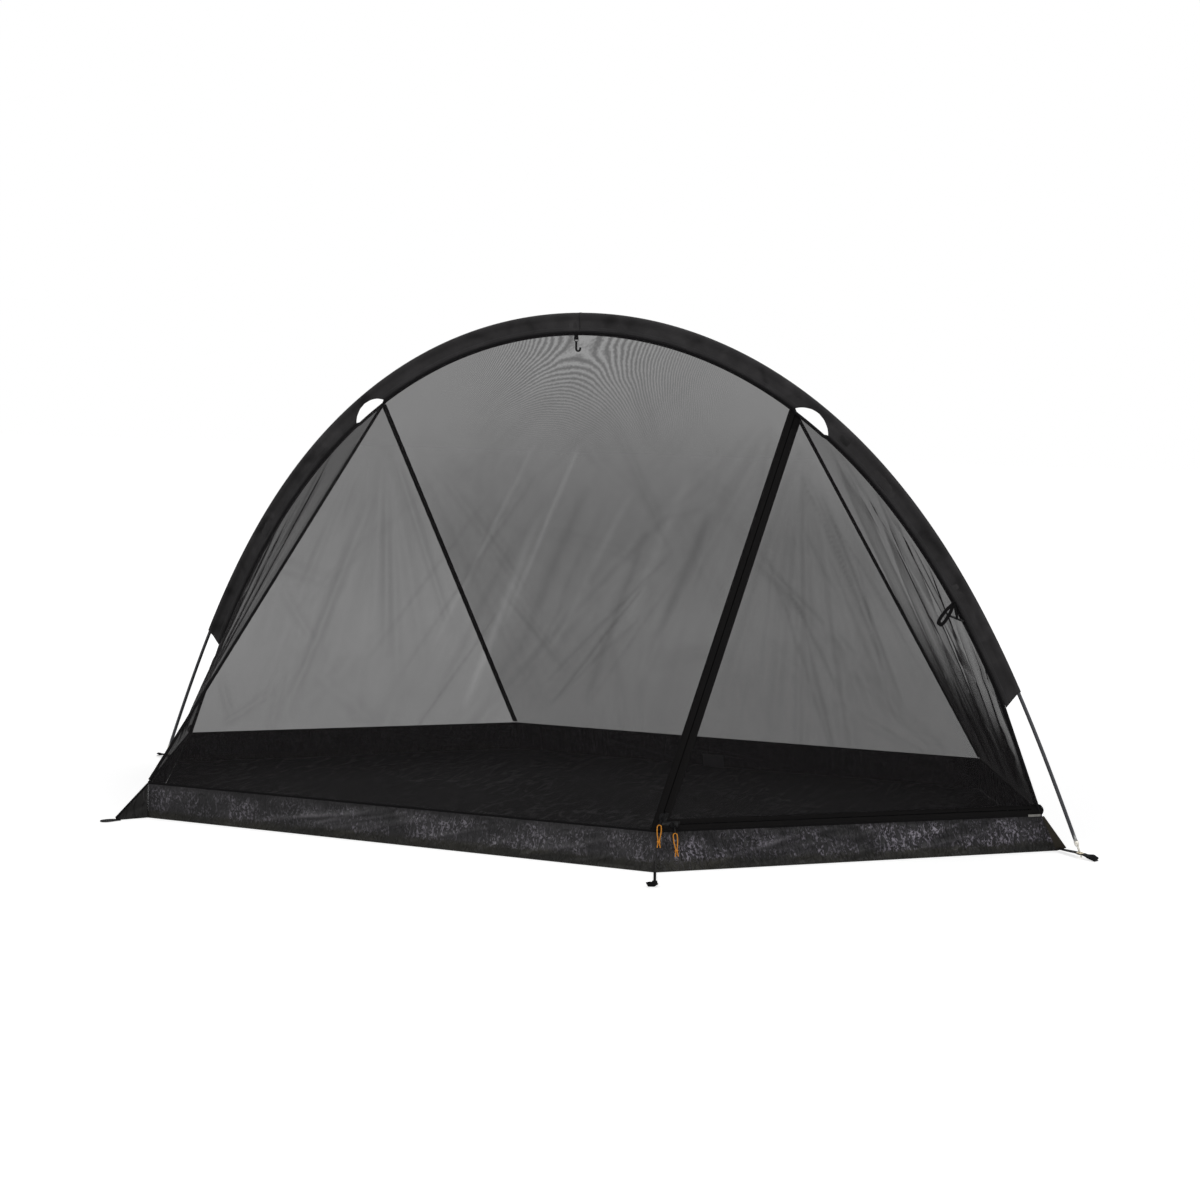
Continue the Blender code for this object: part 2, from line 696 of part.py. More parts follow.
def straight_edge(start, end):
    """A straight edge from one point to another."""
    return lambda u: start.lerp(end, u)


def seam_inset(width, along, seam):
    """How far along an edge a panel ends beside a seam that crosses it."""
    return (width / 2.0 + CLOTH_GAP) / along.normalized().cross(seam.normalized()).length


def cloth_panel(name, cloth, columns, rows, top_edge=None, bottom_edge=None, fold=None,
                colour=NETTING):
    """A sheet of netting over part of a cloth, triangulated and then given its thickness."""
    bm = bmesh.new()
    grid = []
    for u in columns:
        first = top_edge(u) if top_edge else 0.0
        last = bottom_edge(u) if bottom_edge else 1.0
        line = []
        for t in rows:
            v = first + (last - first) * t
            point = cloth.point(u, v)
            if fold:
                point = point + cloth.normal(u, v) * fold(u, v)
            line.append(bm.verts.new(point))
        grid.append(line)
    for left, right in zip(grid, grid[1:]):
        for i in range(len(rows) - 1):
            bm.faces.new((left[i], right[i], right[i + 1]))
            bm.faces.new((left[i], right[i + 1], left[i + 1]))
    mesh = bpy.data.meshes.new(name)
    bm.to_mesh(mesh)
    bm.free()
    panel = add_object(name, mesh, colour, 0.85)
    wall = panel.modifiers.new("thickness", "SOLIDIFY")
    wall.thickness = CLOTH
    wall.offset = 0.0
    return panel


def even(count, start=0.0, end=1.0):
    """Evenly spaced values from start to end."""
    return [start + (end - start) * i / count for i in range(count + 1)]


APEX_RIGHT = HOOP.offset(APEX_S, RIDGE)
APEX_LEFT = HOOP.offset(-APEX_S, RIDGE)
EDGE_RISE = UP * (CLOTH_GAP + CLOTH / 2.0)
ZIP_HALF = ZIP_SLOT / 2.0 + ZIP_TAPE_WIDTH
ZIP_LOW_RISE = 2.0 * ZIP_LOW_TAPE_WIDTH + ZIP_SLOT


FRONT_ALONG = unit(END_CORNER_TOP, DOOR_CORNER_TOP)
DOOR_ALONG = unit(DOOR_CORNER_TOP, FOOT_CORNER_TOP)
BISECTOR = (FRONT_ALONG + DOOR_ALONG).normalized()
INWARD = UP.cross(BISECTOR)
ZIP_BOTTOM = DOOR_CORNER_TOP + EDGE_RISE + INWARD * (ZIP_HALF * FRONT_ALONG.cross(BISECTOR).length)
ZIP_LINE = unit(APEX_RIGHT, ZIP_BOTTOM)
APEX_ALONG = HOOP.frame(APEX_S)[1]
ZIP_ACROSS = (APEX_ALONG - ZIP_LINE * APEX_ALONG.dot(ZIP_LINE)).normalized()
ZIP_OUT = ZIP_LINE.cross(ZIP_ACROSS)
FOOT_RISE = unit(FOOT_CORNER_TOP, HOOP.offset(SLEEVE_END_S, RIDGE))
LOW_UP = -(ZIP_LINE - DOOR_ALONG * ZIP_LINE.dot(DOOR_ALONG)).normalized()
LOW_OUT = DOOR_ALONG.cross(LOW_UP)
ZIP_REACH = ZIP_HALF + CLOTH_GAP + CLOTH / 2.0
ZIP_FOOT = ZIP_BOTTOM + BISECTOR * (ZIP_REACH / BISECTOR.dot(ZIP_ACROSS))


def zip_point(along, across):
    """A point in the plane of the slanted zip, measured from its lower end."""
    return ZIP_BOTTOM - ZIP_LINE * along + ZIP_ACROSS * across


def low_point(along, rise):
    """A point in the plane of the lower zip, measured from the door corner."""
    return DOOR_CORNER_TOP + EDGE_RISE + DOOR_ALONG * along + LOW_UP * rise


def zip_level(rise, across):
    """How far up the slanted zip a height above the tub's top lies, given as lower-zip rise."""
    return (rise * LOW_UP.z - across * ZIP_ACROSS.z) / -ZIP_LINE.z


def zip_corner(rise):
    """How far along the lower zip's plane the slanted tape's outer edge lies."""
    foot = (ZIP_FOOT - DOOR_CORNER_TOP).dot(DOOR_ALONG)
    return foot + rise * ZIP_LINE.dot(DOOR_ALONG) / ZIP_LINE.dot(LOW_UP)


def door_cloth():
    """The door: from the ridge beyond the slanted zip down to the lower zip."""
    ridge_shift = (ZIP_REACH + RIDGE_SIDE * ZIP_ACROSS.y) / APEX_ALONG.dot(ZIP_ACROSS)
    rise = ZIP_LOW_RISE + CLOTH_GAP + CLOTH / 2.0
    left = ZIP_FOOT + ZIP_LINE * (rise / ZIP_LINE.dot(LOW_UP))
    right = foot_end(-DOOR_ALONG) + EDGE_RISE + FOOT_RISE * (rise / FOOT_RISE.dot(LOW_UP))
    return Cloth(ridge_edge(APEX_S + ridge_shift, SLEEVE_END_S, -1.0), straight_edge(left, right))


def fold_line(u):
    """How far down the door its fold line lies."""
    return min(u / FOLD_END_SHARE, 1.0) ** FOLD_POWER


def build_panels():
    """Six panels of netting; the door is a swinging leaf beside a sewn edge strip."""
    rise = EDGE_RISE
    end_s = SLEEVE_END_S
    seam_left = unit(APEX_LEFT, END_CORNER_TOP)
    left_along = -HOOP.frame(-APEX_S)[1]
    thin_top = seam_inset(THIN_SEAM_WIDTH, left_along, seam_left)
    thin_low = seam_inset(THIN_SEAM_WIDTH, FRONT_ALONG, seam_left)
    zip_top = ZIP_REACH / APEX_ALONG.dot(ZIP_ACROSS)
    zip_low = ZIP_REACH / BISECTOR.dot(ZIP_ACROSS)
    front = Cloth(
        ridge_edge(-APEX_S + thin_top, APEX_S - zip_top, -1.0),
        straight_edge(END_CORNER_TOP + FRONT_ALONG * thin_low + rise,
                      ZIP_BOTTOM - BISECTOR * zip_low))
    cloth_panel("front_panel", front, even(16), even(8))

    back_corner = half_turn(DOOR_CORNER_TOP)
    back_seam = unit(APEX_LEFT, back_corner)
    wide_top = seam_inset(WIDE_SEAM_WIDTH, left_along, back_seam)
    wide_low = seam_inset(WIDE_SEAM_WIDTH, FRONT_ALONG, back_seam)
    wide_far = seam_inset(WIDE_SEAM_WIDTH, DOOR_ALONG, back_seam)
    back = Cloth(
        ridge_edge(APEX_S - thin_top, -APEX_S + wide_top, 1.0),
        straight_edge(half_turn(END_CORNER_TOP) - FRONT_ALONG * thin_low + rise,
                      back_corner + FRONT_ALONG * wide_low + rise))
    cloth_panel("back_panel", back, even(16), even(8))

    back_left = Cloth(
        ridge_edge(-APEX_S - wide_top, -end_s, 1.0),
        straight_edge(back_corner - DOOR_ALONG * wide_far + rise,
                      half_turn(foot_end(-DOOR_ALONG)) + rise))
    cloth_panel("back_left_panel", back_left, even(12), even(8))

    end_corner = half_turn(END_CORNER_TOP)
    end_along = unit(end_corner, FOOT_CORNER_TOP)
    thin_end = seam_inset(THIN_SEAM_WIDTH, end_along, unit(APEX_RIGHT, end_corner))
    for name, sign, height in (("right_end_panel", 1.0, RIGHT_FOLD_HEIGHT),
                               ("left_end_panel", -1.0, LEFT_FOLD_HEIGHT)):
        low = end_corner + end_along * thin_end
        foot = foot_end(-end_along)
        if sign < 0.0:
            low, foot = half_turn(low), half_turn(foot)
        end = Cloth(ridge_edge(sign * (APEX_S + thin_top), sign * end_s, sign),
                    straight_edge(low + rise, foot + rise))
        cloth_panel(name, end, even(30), even(8), fold=end_fold(height))

    door = door_cloth()
    columns = even(FOLD_COLUMNS, 0.0, FOLD_END_SHARE)
    cloth_panel("door_edge_panel", door, columns[1:] + [1.0], even(3), bottom_edge=fold_line)
    leaf = cloth_panel("door_leaf", door, columns[:-1], even(8),
                       top_edge=lambda u: fold_line(u)
                       + FOLD_GAP / (door.bottom(u) - door.top(u)).length)
    set_origin(leaf, door_hinge()[0])


def door_hinge():
    """A point on the straight line the door swings about, and its direction upwards."""
    door = door_cloth()
    low, middle, high = (door.point(u, fold_line(u))
                         for u in (HINGE_LOW_SHARE, HINGE_MIDDLE_SHARE, HINGE_HIGH_SHARE))
    return middle + ZIP_OUT * HINGE_LIFT, unit(low, high)


def end_fold(height):
    """Long loose folds that die out at the edges of an end panel."""
    def shape(u, v):
        fade = math.sin(math.pi * u) ** 0.5 * math.sin(math.pi * min(max(v, 0.0), 1.0))
        return height * fade * math.sin(math.tau * END_FOLD_COUNT * u)
    return shape


def build_seams():
    """Bound seams between the panels, as straight tapes from the ridge to the tub."""
    seams = (
        ("seam_left_front", APEX_LEFT, END_CORNER_TOP, THIN_SEAM_WIDTH, -1.0, FRONT_ALONG),
        ("seam_right_back", APEX_RIGHT, half_turn(END_CORNER_TOP), THIN_SEAM_WIDTH, 1.0,
         -FRONT_ALONG),
        ("seam_left_back", APEX_LEFT, half_turn(DOOR_CORNER_TOP), WIDE_SEAM_WIDTH, 1.0,
         FRONT_ALONG),
    )
    for name, top, bottom, width, side, along in seams:
        start = top + SIDE * (side * (SEAM_THICKNESS / 2.0 + SEAM_ROOM))
        end = bottom + EDGE_RISE
        line = unit(start, end)
        across = (along - line * along.dot(line)).normalized()
        out = line.cross(across)
        half, deep = width / 2.0, SEAM_THICKNESS / 2.0
        start = start + line * (half * SEAM_TOP_SHARE)
        end = end - line * (deep * SEAM_LOW_SHARE)
        section = [(half, deep), (-half, deep), (-half, -deep), (half, -deep)]
        rings = [[end_point + across * a + out * b for a, b in section]
                 for end_point in (start, end)]
        add_object(name, ring_body(name, rings), TAPE_BLACK, 0.85)


# Zip: tent-side and door-side tapes, two sliders with pull tabs and cord pulls


def zip_length():
    """The slanted zip's length from the ridge to the door corner."""
    return (APEX_RIGHT - ZIP_BOTTOM).length


def low_zip_length():
    """The lower zip's length along the tub's top."""
    return (FOOT_CORNER_TOP - DOOR_CORNER_TOP).dot(DOOR_ALONG)


def build_zip_tapes():
    """Each side of the zip is one tape that turns the door's corner."""
    inner = ZIP_SLOT / 2.0
    outer = inner + ZIP_TAPE_WIDTH
    lap = outer + ZIP_CORNER_LAP
    top_tilt = APEX_ALONG.dot(-ZIP_LINE) / APEX_ALONG.dot(ZIP_ACROSS)
    top = zip_length() - CLOTH_GAP * 3.0
    shelf = ZIP_LOW_TAPE_WIDTH
    outline = [(-outer, zip_level(0.0, -outer)), (lap, zip_level(0.0, lap)),
               (lap, zip_level(shelf, lap)), (-inner, zip_level(shelf, -inner)),
               (-inner, top - inner * top_tilt), (-outer, top - outer * top_tilt)]
    tent = slab("zip_tape_tent", zip_point(0.0, 0.0), ZIP_ACROSS, -ZIP_LINE, outline,
                ZIP_TAPE_THICKNESS)
    tent = add_object("zip_tape_tent", tent, ZIP_BLACK, 0.7, smooth=False)
    start = zip_corner(0.0) - ZIP_CORNER_LAP
    start_top = zip_corner(shelf) - ZIP_CORNER_LAP
    end = low_zip_length() - ZIP_LOW_END
    low = slab("zip_low", low_point(0.0, 0.0), DOOR_ALONG, LOW_UP,
               [(start, 0.0), (end, 0.0), (end, shelf), (start_top, shelf)], ZIP_TAPE_THICKNESS)
    join_cut(tent, add_object("zip_low", low, ZIP_BLACK, 0.7, smooth=False), "UNION")

    edge = inner + ZIP_TAPE_EDGE
    rise = shelf + ZIP_SLOT
    high = rise + shelf
    step = high - ZIP_CORNER_BAND
    end = zip_length() - ZIP_END_CLEARANCE
    outline = [(edge, zip_level(step, edge)), (lap, zip_level(step, lap)),
               (lap, zip_level(high, lap)), (outer, zip_level(high, outer)), (outer, end),
               (inner, end), (inner, ZIP_CORNER_NOTCH), (edge, ZIP_CORNER_NOTCH)]
    door = slab("zip_tape_door", zip_point(0.0, 0.0), ZIP_ACROSS, -ZIP_LINE, outline,
                ZIP_TAPE_THICKNESS)
    door = add_object("zip_tape_door", door, ZIP_BLACK, 0.7, smooth=False)
    notch = zip_corner(high) + ZIP_LOW_NOTCH
    end = low_zip_length() * FOLD_END_SHARE - ZIP_DOOR_LOW_CLEARANCE
    low = slab("zip_low", low_point(0.0, 0.0), DOOR_ALONG, LOW_UP,
               [(zip_corner(step) - ZIP_CORNER_LAP, step), (notch, step), (notch, rise),
                (end, rise), (end, high), (zip_corner(high) - ZIP_CORNER_LAP, high)],
               ZIP_TAPE_THICKNESS)
    join_cut(door, add_object("zip_low", low, ZIP_BLACK, 0.7, smooth=False), "UNION")
    set_origin(door, door_hinge()[0])


def slider_mesh(name, origin, along, across, tunnel_across):
    """Two plates joined by a post in the zip's slot, with a bail on the outer plate."""
    out = along.cross(across)
    half_length, half_width = SLIDER_LENGTH / 2.0, SLIDER_WIDTH / 2.0
    level = ZIP_TAPE_THICKNESS / 2.0 + FIT + SLIDER_PLATE / 2.0
    cut = half_width * SLIDER_CUT_SHARE
    outline = [(-half_length, -half_width + cut), (-half_length + cut, -half_width),
               (half_length - cut, -half_width), (half_length, -half_width + cut),
               (half_length, half_width - cut), (half_length - cut, half_width),
               (-half_length + cut, half_width), (-half_length, half_width - cut)]
    plate = slab(name, origin, along, across, outline, SLIDER_PLATE, level)
    slider = add_object(name, plate, ZIP_BLACK, 0.35, 0.6, smooth=False)
    under = slab("under", origin, along, across, outline, SLIDER_PLATE, -level)
    post_half = ZIP_SLOT / 2.0 - FIT
    post = slab("post", origin, along, across,
                box_outline(-SLIDER_POST_LENGTH / 2.0, SLIDER_POST_LENGTH / 2.0,
                            -post_half, post_half), 2.0 * level)
    join_cut(slider, add_object("post", post, ZIP_BLACK, smooth=False), "UNION")
    join_cut(slider, add_object("under", under, ZIP_BLACK, smooth=False), "UNION")
    first, second = (along, across) if tunnel_across else (across, -along)
    floor = level + SLIDER_PLATE / 2.0
    reach = BAIL_LENGTH / 2.0
    outer = box_outline(-reach, reach, floor - SLIDER_PLATE / 2.0,
                        floor + BAIL_TUNNEL + BAIL_BAR)
    inner = box_outline(-reach + BAIL_BAR, reach - BAIL_BAR, floor + FIT, floor + BAIL_TUNNEL)
    bail = frame_slab("bail", origin, first, out, outer, inner, BAIL_WIDTH)
    join_cut(slider, add_object("bail", bail, ZIP_BLACK, smooth=False), "UNION")
    return slider, origin + out * (floor + BAIL_TUNNEL / 2.0), second


def build_pull(side, hinge, axis, down, sway=0.0):
    """A pull tab hung in a slider's bail, and the knotted cord looped through its end.

    The cord can fall at an angle to the tab, away from the way the hinge points.
    """
    out = axis.cross(down)
    half = TAB_WIDTH / 2.0
    wire = TAB_WIRE
    reach = BAIL_LENGTH / 2.0 + TAB_ROOM
    outer = box_outline(-half, half, -wire / 2.0, reach + wire)
    inner = box_outline(-half + wire, half - wire, wire / 2.0, reach)
    name = f"pull_tab_{side}"
    tab = frame_slab(name, hinge, axis, down, outer, inner, wire)
    tab = add_object(name, tab, ZIP_BLACK, 0.35, 0.7, smooth=False)
    blade = TAB_BLADE / 2.0
    eye = PULL_CORD_RADIUS + TAB_EYE_PLAY
    centre = TAB_LENGTH - blade
    lap, neck = reach + wire * TAB_LAP_SHARE, blade * TAB_NECK_SHARE
    outer = [(lap, -neck), (centre - blade, -blade)]
    outer += arc_outline(centre, 0.0, blade, -60.0, 60.0, 3)
    outer += [(centre - blade, blade), (lap, neck)]
    inner = arc_outline(centre, 0.0, eye, -157.5, 157.5, 7)
    stem = frame_slab("stem", hinge, down, out, outer, inner, wire)
    join_cut(tab, add_object("stem", stem, ZIP_BLACK, smooth=False), "UNION")
    set_origin(tab, hinge)

    top = hinge + down * centre
    bend = PULL_LOOP_HALF_WIDTH
    close = PULL_CORD_RADIUS + PULL_STRAND_GAP / 2.0
    length = PULL_LOOP_LENGTH
    short, wide = PULL_TAIL_SPREADS
    shape = [(-bend * short, length + PULL_TAIL_LENGTH), (-close, length), (-bend, length * 0.5)]
    shape += [(-bend * math.cos(a), bend - bend * math.sin(a))
              for a in (math.pi * i / 6.0 for i in range(7))]
    shape += [(bend, length * 0.5), (close, length), (bend * wide, length + PULL_TAIL_LENGTH)]
    fall = down * math.cos(sway) - axis * math.sin(sway)
    level = axis * math.cos(sway) + down * math.sin(sway)
    path = smooth_path([top + level * a + fall * b for a, b in shape], 3)
    name = f"pull_cord_{side}"
    cord = rod_along(name, path, PULL_CORD_RADIUS, 8, out)
    set_origin(add_object(name, cord, CORD_ORANGE, 0.8), hinge)


def build_sliders():
    """An upper and a lower slider, parked side by side at the door's corner."""
    origin = zip_point(SLIDER_UPPER_START, 0.0)
    slider, hinge, axis = slider_mesh("zip_slider_upper", origin, ZIP_LINE, ZIP_ACROSS, True)
    set_origin(slider, origin)
    hang = ZIP_LINE * math.cos(UPPER_PULL_LEAN) + ZIP_OUT * math.sin(UPPER_PULL_LEAN)
    build_pull("upper", hinge, -axis, hang, UPPER_CORD_SWAY)
    origin = low_point(SLIDER_LOWER_START, ZIP_LOW_TAPE_WIDTH + ZIP_SLOT / 2.0)
    slider, hinge, axis = slider_mesh("zip_slider_lower", origin, DOOR_ALONG, LOW_UP, False)
    set_origin(slider, origin)
    wall_down = unit(DOOR_CORNER_TOP, DOOR_CORNER)
    down = (wall_down - DOOR_ALONG * wall_down.dot(DOOR_ALONG)).normalized()
    build_pull("lower", hinge, DOOR_ALONG, down)


# Lantern hook and the door's tie-back


def build_hook():
    """A hook with an eye that hangs in the binding's tape and swings fore and aft."""
    low = HOOP.offset(0.0, BINDING_BOTTOM).z - HOOK_TAPE_DROP
    bar = HOOK_EYE_WALL
    pivot = Vector((HOOK_X, 0.0, low + HOOK_TAPE_WALL + FIT + HOOK_BAR_ROOM + bar / 2.0))
    half = HOOK_TAPE_WIDTH / 2.0 + HOOK_EYE_PLAY + bar
    drop = HOOK_TAPE_WALL + FIT + HOOK_BAR_ROOM + HOOK_SWING_ROOM + bar / 2.0
    outer = [(-half, -bar / 2.0), (half, -bar / 2.0), (half, drop + bar),
             (HOOK_ROD / 2.0, HOOK_BODY_LENGTH), (-HOOK_ROD / 2.0, HOOK_BODY_LENGTH),
             (-half, drop + bar)]
    crest = half * HOOK_EYE_CREST_SHARE
    inner = [(-half + bar, bar / 2.0), (half - bar, bar / 2.0), (half - bar, drop),
             (crest, drop + HOOK_EYE_CREST), (-crest, drop + HOOK_EYE_CREST), (-half + bar, drop)]
    eye = frame_slab("lantern_hook", pivot, Vector((1.0, 0.0, 0.0)), -UP, outer, inner, bar)
    hook = add_object("lantern_hook", eye, ZIP_BLACK, 0.5, smooth=False)
    bowl = HOOK_BOWL_RADIUS
    shape = [(0.0, HOOK_BODY_LENGTH * HOOK_SHANK_SHARE), (0.0, HOOK_DROP)]
    shape += [(bowl - bowl * math.cos(a), HOOK_DROP + bowl * math.sin(a))
              for a in (math.pi * i / 8.0 for i in range(1, 9))]
    shape.append((2.0 * bowl, HOOK_DROP - HOOK_ROD * HOOK_POINT_SHARE))
    path = [pivot + Vector((a, 0.0, -b)) for a, b in shape]
    rod = rod_along("rod", path, HOOK_ROD / 2.0, 8, SIDE)
    join_cut(hook, add_object("rod", rod, ZIP_BLACK, smooth=False), "UNION")
    set_origin(hook, pivot)


def build_tie_back():
    """An elastic loop and a toggle on a short tape, outside the door's fixed edge."""
    door = door_cloth()
    root_s = HOOP.find(lambda s: HOOP.offset(s, RIDGE).z - TIE_ROOT_HEIGHT)
    u = (root_s - APEX_S) / (SLEEVE_END_S - APEX_S)
    out = door.normal(u, 0.1)
    if out.y > 0.0:
        out = -out
    face = BINDING_THICKNESS / 2.0 + FIT
    root = HOOP.offset(root_s, (BINDING_TOP + BINDING_BOTTOM) / 2.0, -face)
    down = (TIE_LOOP_LEAN - out * TIE_LOOP_LEAN.dot(out)).normalized()
    half, length, width = TIE_LOOP_HALF, TIE_LOOP_LENGTH, TIE_TAPE_WIDTH
    root = root + out * (TIE_TAPE_THICKNESS / 2.0)
    root = root - SIDE * (abs(out.cross(down).y) * width * TIE_ROOT_SHARE)
    right = [(width * TIE_ROOT_SHARE, 0.0)]
    right += [(half * a, length * b) for a, b in TIE_LOOP_OUTER]
    outer = [(-right[0][0], 0.0)] + right + [(-a, b) for a, b in right[:0:-1]]
    right = [(width * TIE_LOOP_NEAR_HALF, length * TIE_LOOP_NEAR)]
    right += [(half * a + width * b, length * c) for a, b, c in TIE_LOOP_INNER]
    right.append((half * TIE_LOOP_END[0] + width * TIE_LOOP_END[1], length - width))
    inner = [(-right[0][0], right[0][1])] + right + [(-a, b) for a, b in right[:0:-1]]
    loop = frame_slab("tie_back_loop", root, out.cross(down), down, outer, inner,
                      TIE_TAPE_THICKNESS)
    tie = add_object("tie_back_loop", loop, TAPE_BLACK, 0.9, smooth=False)

    drop = (TOGGLE_NECK_LEAN - out * TOGGLE_NECK_LEAN.dot(out)).normalized()
    drop = (drop + out * TOGGLE_NECK_LIFT).normalized()
    across = out.cross(drop).normalized()
    bar = (across * TOGGLE_DIRECTION.dot(across) + drop * TOGGLE_DIRECTION.dot(drop)).normalized()
    square = bar.cross(across.cross(drop))
    if square.dot(drop) < 0.0:
        square = -square
    centre = root + drop * TOGGLE_NECK_LENGTH
    bore = TOGGLE_WAIST_RADIUS + FIT
    ends = [centre - square * (bore + TOGGLE_RING_WALL / 2.0) + bar * (sign * width * TOGGLE_NECK_SHARE)
            for sign in (1.0, -1.0)]
    outline = [(-width / 2.0, 0.0), (width / 2.0, 0.0)]
    outline += sorted([((p - root).dot(across), (p - root).dot(drop)) for p in ends],
                      reverse=True)
    neck = slab("neck", root, across, drop, outline, TOGGLE_NECK_THICKNESS)
    join_cut(tie, add_object("neck", neck, TAPE_BLACK, smooth=False), "UNION")
    spin = [centre + bar * (sign * width / 2.0) for sign in (-1.0, 1.0)]
    rings = [round_rings(spin, radius, 8, square) for radius in (bore + TOGGLE_RING_WALL, bore)]
    ring = tube_body("ring", rings[0], rings[1])
    join_cut(tie, add_object("ring", ring, TAPE_BLACK, smooth=False), "UNION")

    waist = width / 2.0 + FIT
    reach = TOGGLE_LENGTH / 2.0
    end, shoulder = TOGGLE_RADIUS * TOGGLE_ROUND_SHARE, TOGGLE_RADIUS * TOGGLE_SHOULDER_SHARE
    profile = [(reach, end), (reach - end, TOGGLE_RADIUS),
               (waist + shoulder, TOGGLE_RADIUS), (waist, TOGGLE_WAIST_RADIUS)]
    profile = [(-a, r) for a, r in profile] + profile[::-1]
    rings = [round_rings([centre + bar * a, centre + bar * (a + 0.001)], r, 8, square)[0]
             for a, r in profile]
    toggle = ring_body("tie_back_toggle", rings)
    set_origin(add_object("tie_back_toggle", toggle, ZIP_BLACK, 0.5), centre)


# Bathtub floor


def build_tub():
    """A flat floor and six leaning walls that meet at the corners."""
    corners = [
        (FOOT_CORNER, FOOT_CORNER_TOP), (DOOR_CORNER, DOOR_CORNER_TOP),
        (END_CORNER, END_CORNER_TOP),
        (half_turn(FOOT_CORNER), half_turn(FOOT_CORNER_TOP)),
        (half_turn(DOOR_CORNER), half_turn(DOOR_CORNER_TOP)),
        (half_turn(END_CORNER), half_turn(END_CORNER_TOP)),
    ]
    names = ("tub_wall_door", "tub_wall_front", "tub_wall_left_end", "tub_wall_back_left",
             "tub_wall_back", "tub_wall_right_end")
    for i, name in enumerate(names):
        low_a, top_a = corners[i]
        low_b, top_b = corners[(i + 1) % 6]
        trim = CLOTH / 2.0 + FIT
        along = unit(low_a, low_b) * trim
        edge = Cloth(straight_edge(top_a + along, top_b - along),
                     straight_edge(low_a + along + UP * TUB_LIFT, low_b - along + UP * TUB_LIFT))
        cloth_panel(name, edge, even(6), even(2), colour=TUB_GREY)
    inset = CLOTH / 2.0 + CLOTH_GAP + FLOOR_ROOM
    outline = []
    for i in range(6):
        before, here, after = corners[i - 1][0], corners[i][0], corners[(i + 1) % 6][0]
        first, second = unit(before, here), unit(here, after)
        inward = (second - first).normalized()
        outline.append(here + inward * (inset / abs(inward.cross(first).length)))
    rings = [outline, [p + UP * FLOOR_THICKNESS for p in outline]]
    add_object("tub_floor", ring_body("tub_floor", rings), TUB_GREY, 0.6, smooth=False)


# Corner anchors: straps with grommets under the pole tips, fins and peg loops


def build_straps():
    """Webbing from each foot corner, through which the pole tip's pin stands."""
    point, along, _ = HOOP.frame(HOOP.half_length)
    rise = STRAP_RING_HEIGHT
    ring = Vector((point.x - rise * along.x / -along.z, 0.0, rise))
    for suffix, turn in (("right", False), ("left", True)):
        root = FOOT_CORNER + UP * STRAP_ROOT_HEIGHT
        start = root + unit(FOOT_CORNER, Vector((ring.x, 0.0, 0.0))) * STRAP_ROOT_REACH
        centre = ring
        run = STRAP_TAIL - start
        flow = Vector((run.x, run.y, 0.0)).normalized()
        across = UP.cross(flow)
        half, deep = STRAP_WIDTH / 2.0, STRAP_THICKNESS / 2.0
        path = [start, centre - flow * STRAP_FLAT_REACH, centre + flow * STRAP_FLAT_REACH,
                STRAP_TAIL]
        rings = []
        for spot, share in zip(path, STRAP_WIDTH_SHARES):
            wide = half * share
            rings.append([spot + across * wide + UP * deep, spot - across * wide + UP * deep,
                          spot - across * wide - UP * deep, spot + across * wide - UP * deep])
        if turn:
            rings = [[half_turn(p) for p in ring_points] for ring_points in rings]
            centre = half_turn(centre)
        name = f"corner_strap_{suffix}"
        strap = add_object(name, ring_body(name, rings), TAPE_BLACK, 0.85, smooth=False)
        hole = [centre + Vector((math.cos(a), math.sin(a), 0.0))
                * (GROMMET_HOLE_RADIUS + GROMMET_BARREL + FIT)
                for a in (math.tau * i / GROMMET_SIDES for i in range(GROMMET_SIDES))]
        drill = ring_body("drill", [[p + UP * z for p in hole] for z in (-DRILL_REACH, DRILL_REACH)])
        join_cut(strap, add_object("drill", drill, TAPE_BLACK, smooth=False), "DIFFERENCE")
        grommet(f"grommet_{suffix}", centre)


def grommet(name, centre):
    """A turned eyelet: a barrel through the webbing and a flange on each side."""
    hole, barrel = GROMMET_HOLE_RADIUS, GROMMET_HOLE_RADIUS + GROMMET_BARREL
    inner = STRAP_THICKNESS / 2.0 + FIT
    outer = inner + GROMMET_FLANGE
    profile = [(hole, -outer), (GROMMET_RADIUS, -outer), (GROMMET_RADIUS, -inner),
               (barrel, -inner), (barrel, inner), (GROMMET_RADIUS, inner),
               (GROMMET_RADIUS, outer), (hole, outer)]
    rings = [[centre + Vector((r * math.cos(a), r * math.sin(a), z)) for r, z in profile]
             for a in (math.tau * i / GROMMET_SIDES for i in range(GROMMET_SIDES))]
    add_object(name, ring_body(name, rings, closed_ends=False), BARE_METAL, 0.3, 1.0)


def loop_outlines(length, width, band):
    """Outer and inner outline of a peg loop, a long ring with a narrow root."""
    half = width / 2.0
    outer = [(length * a, half * b) for a, b in LOOP_OUTER]
    inner = [(length * a - band * b, half * c - band * d) for a, b, c, d in LOOP_INNER]
    return tuple([(a, -b) for a, b in side] + side[::-1] for side in (outer, inner))


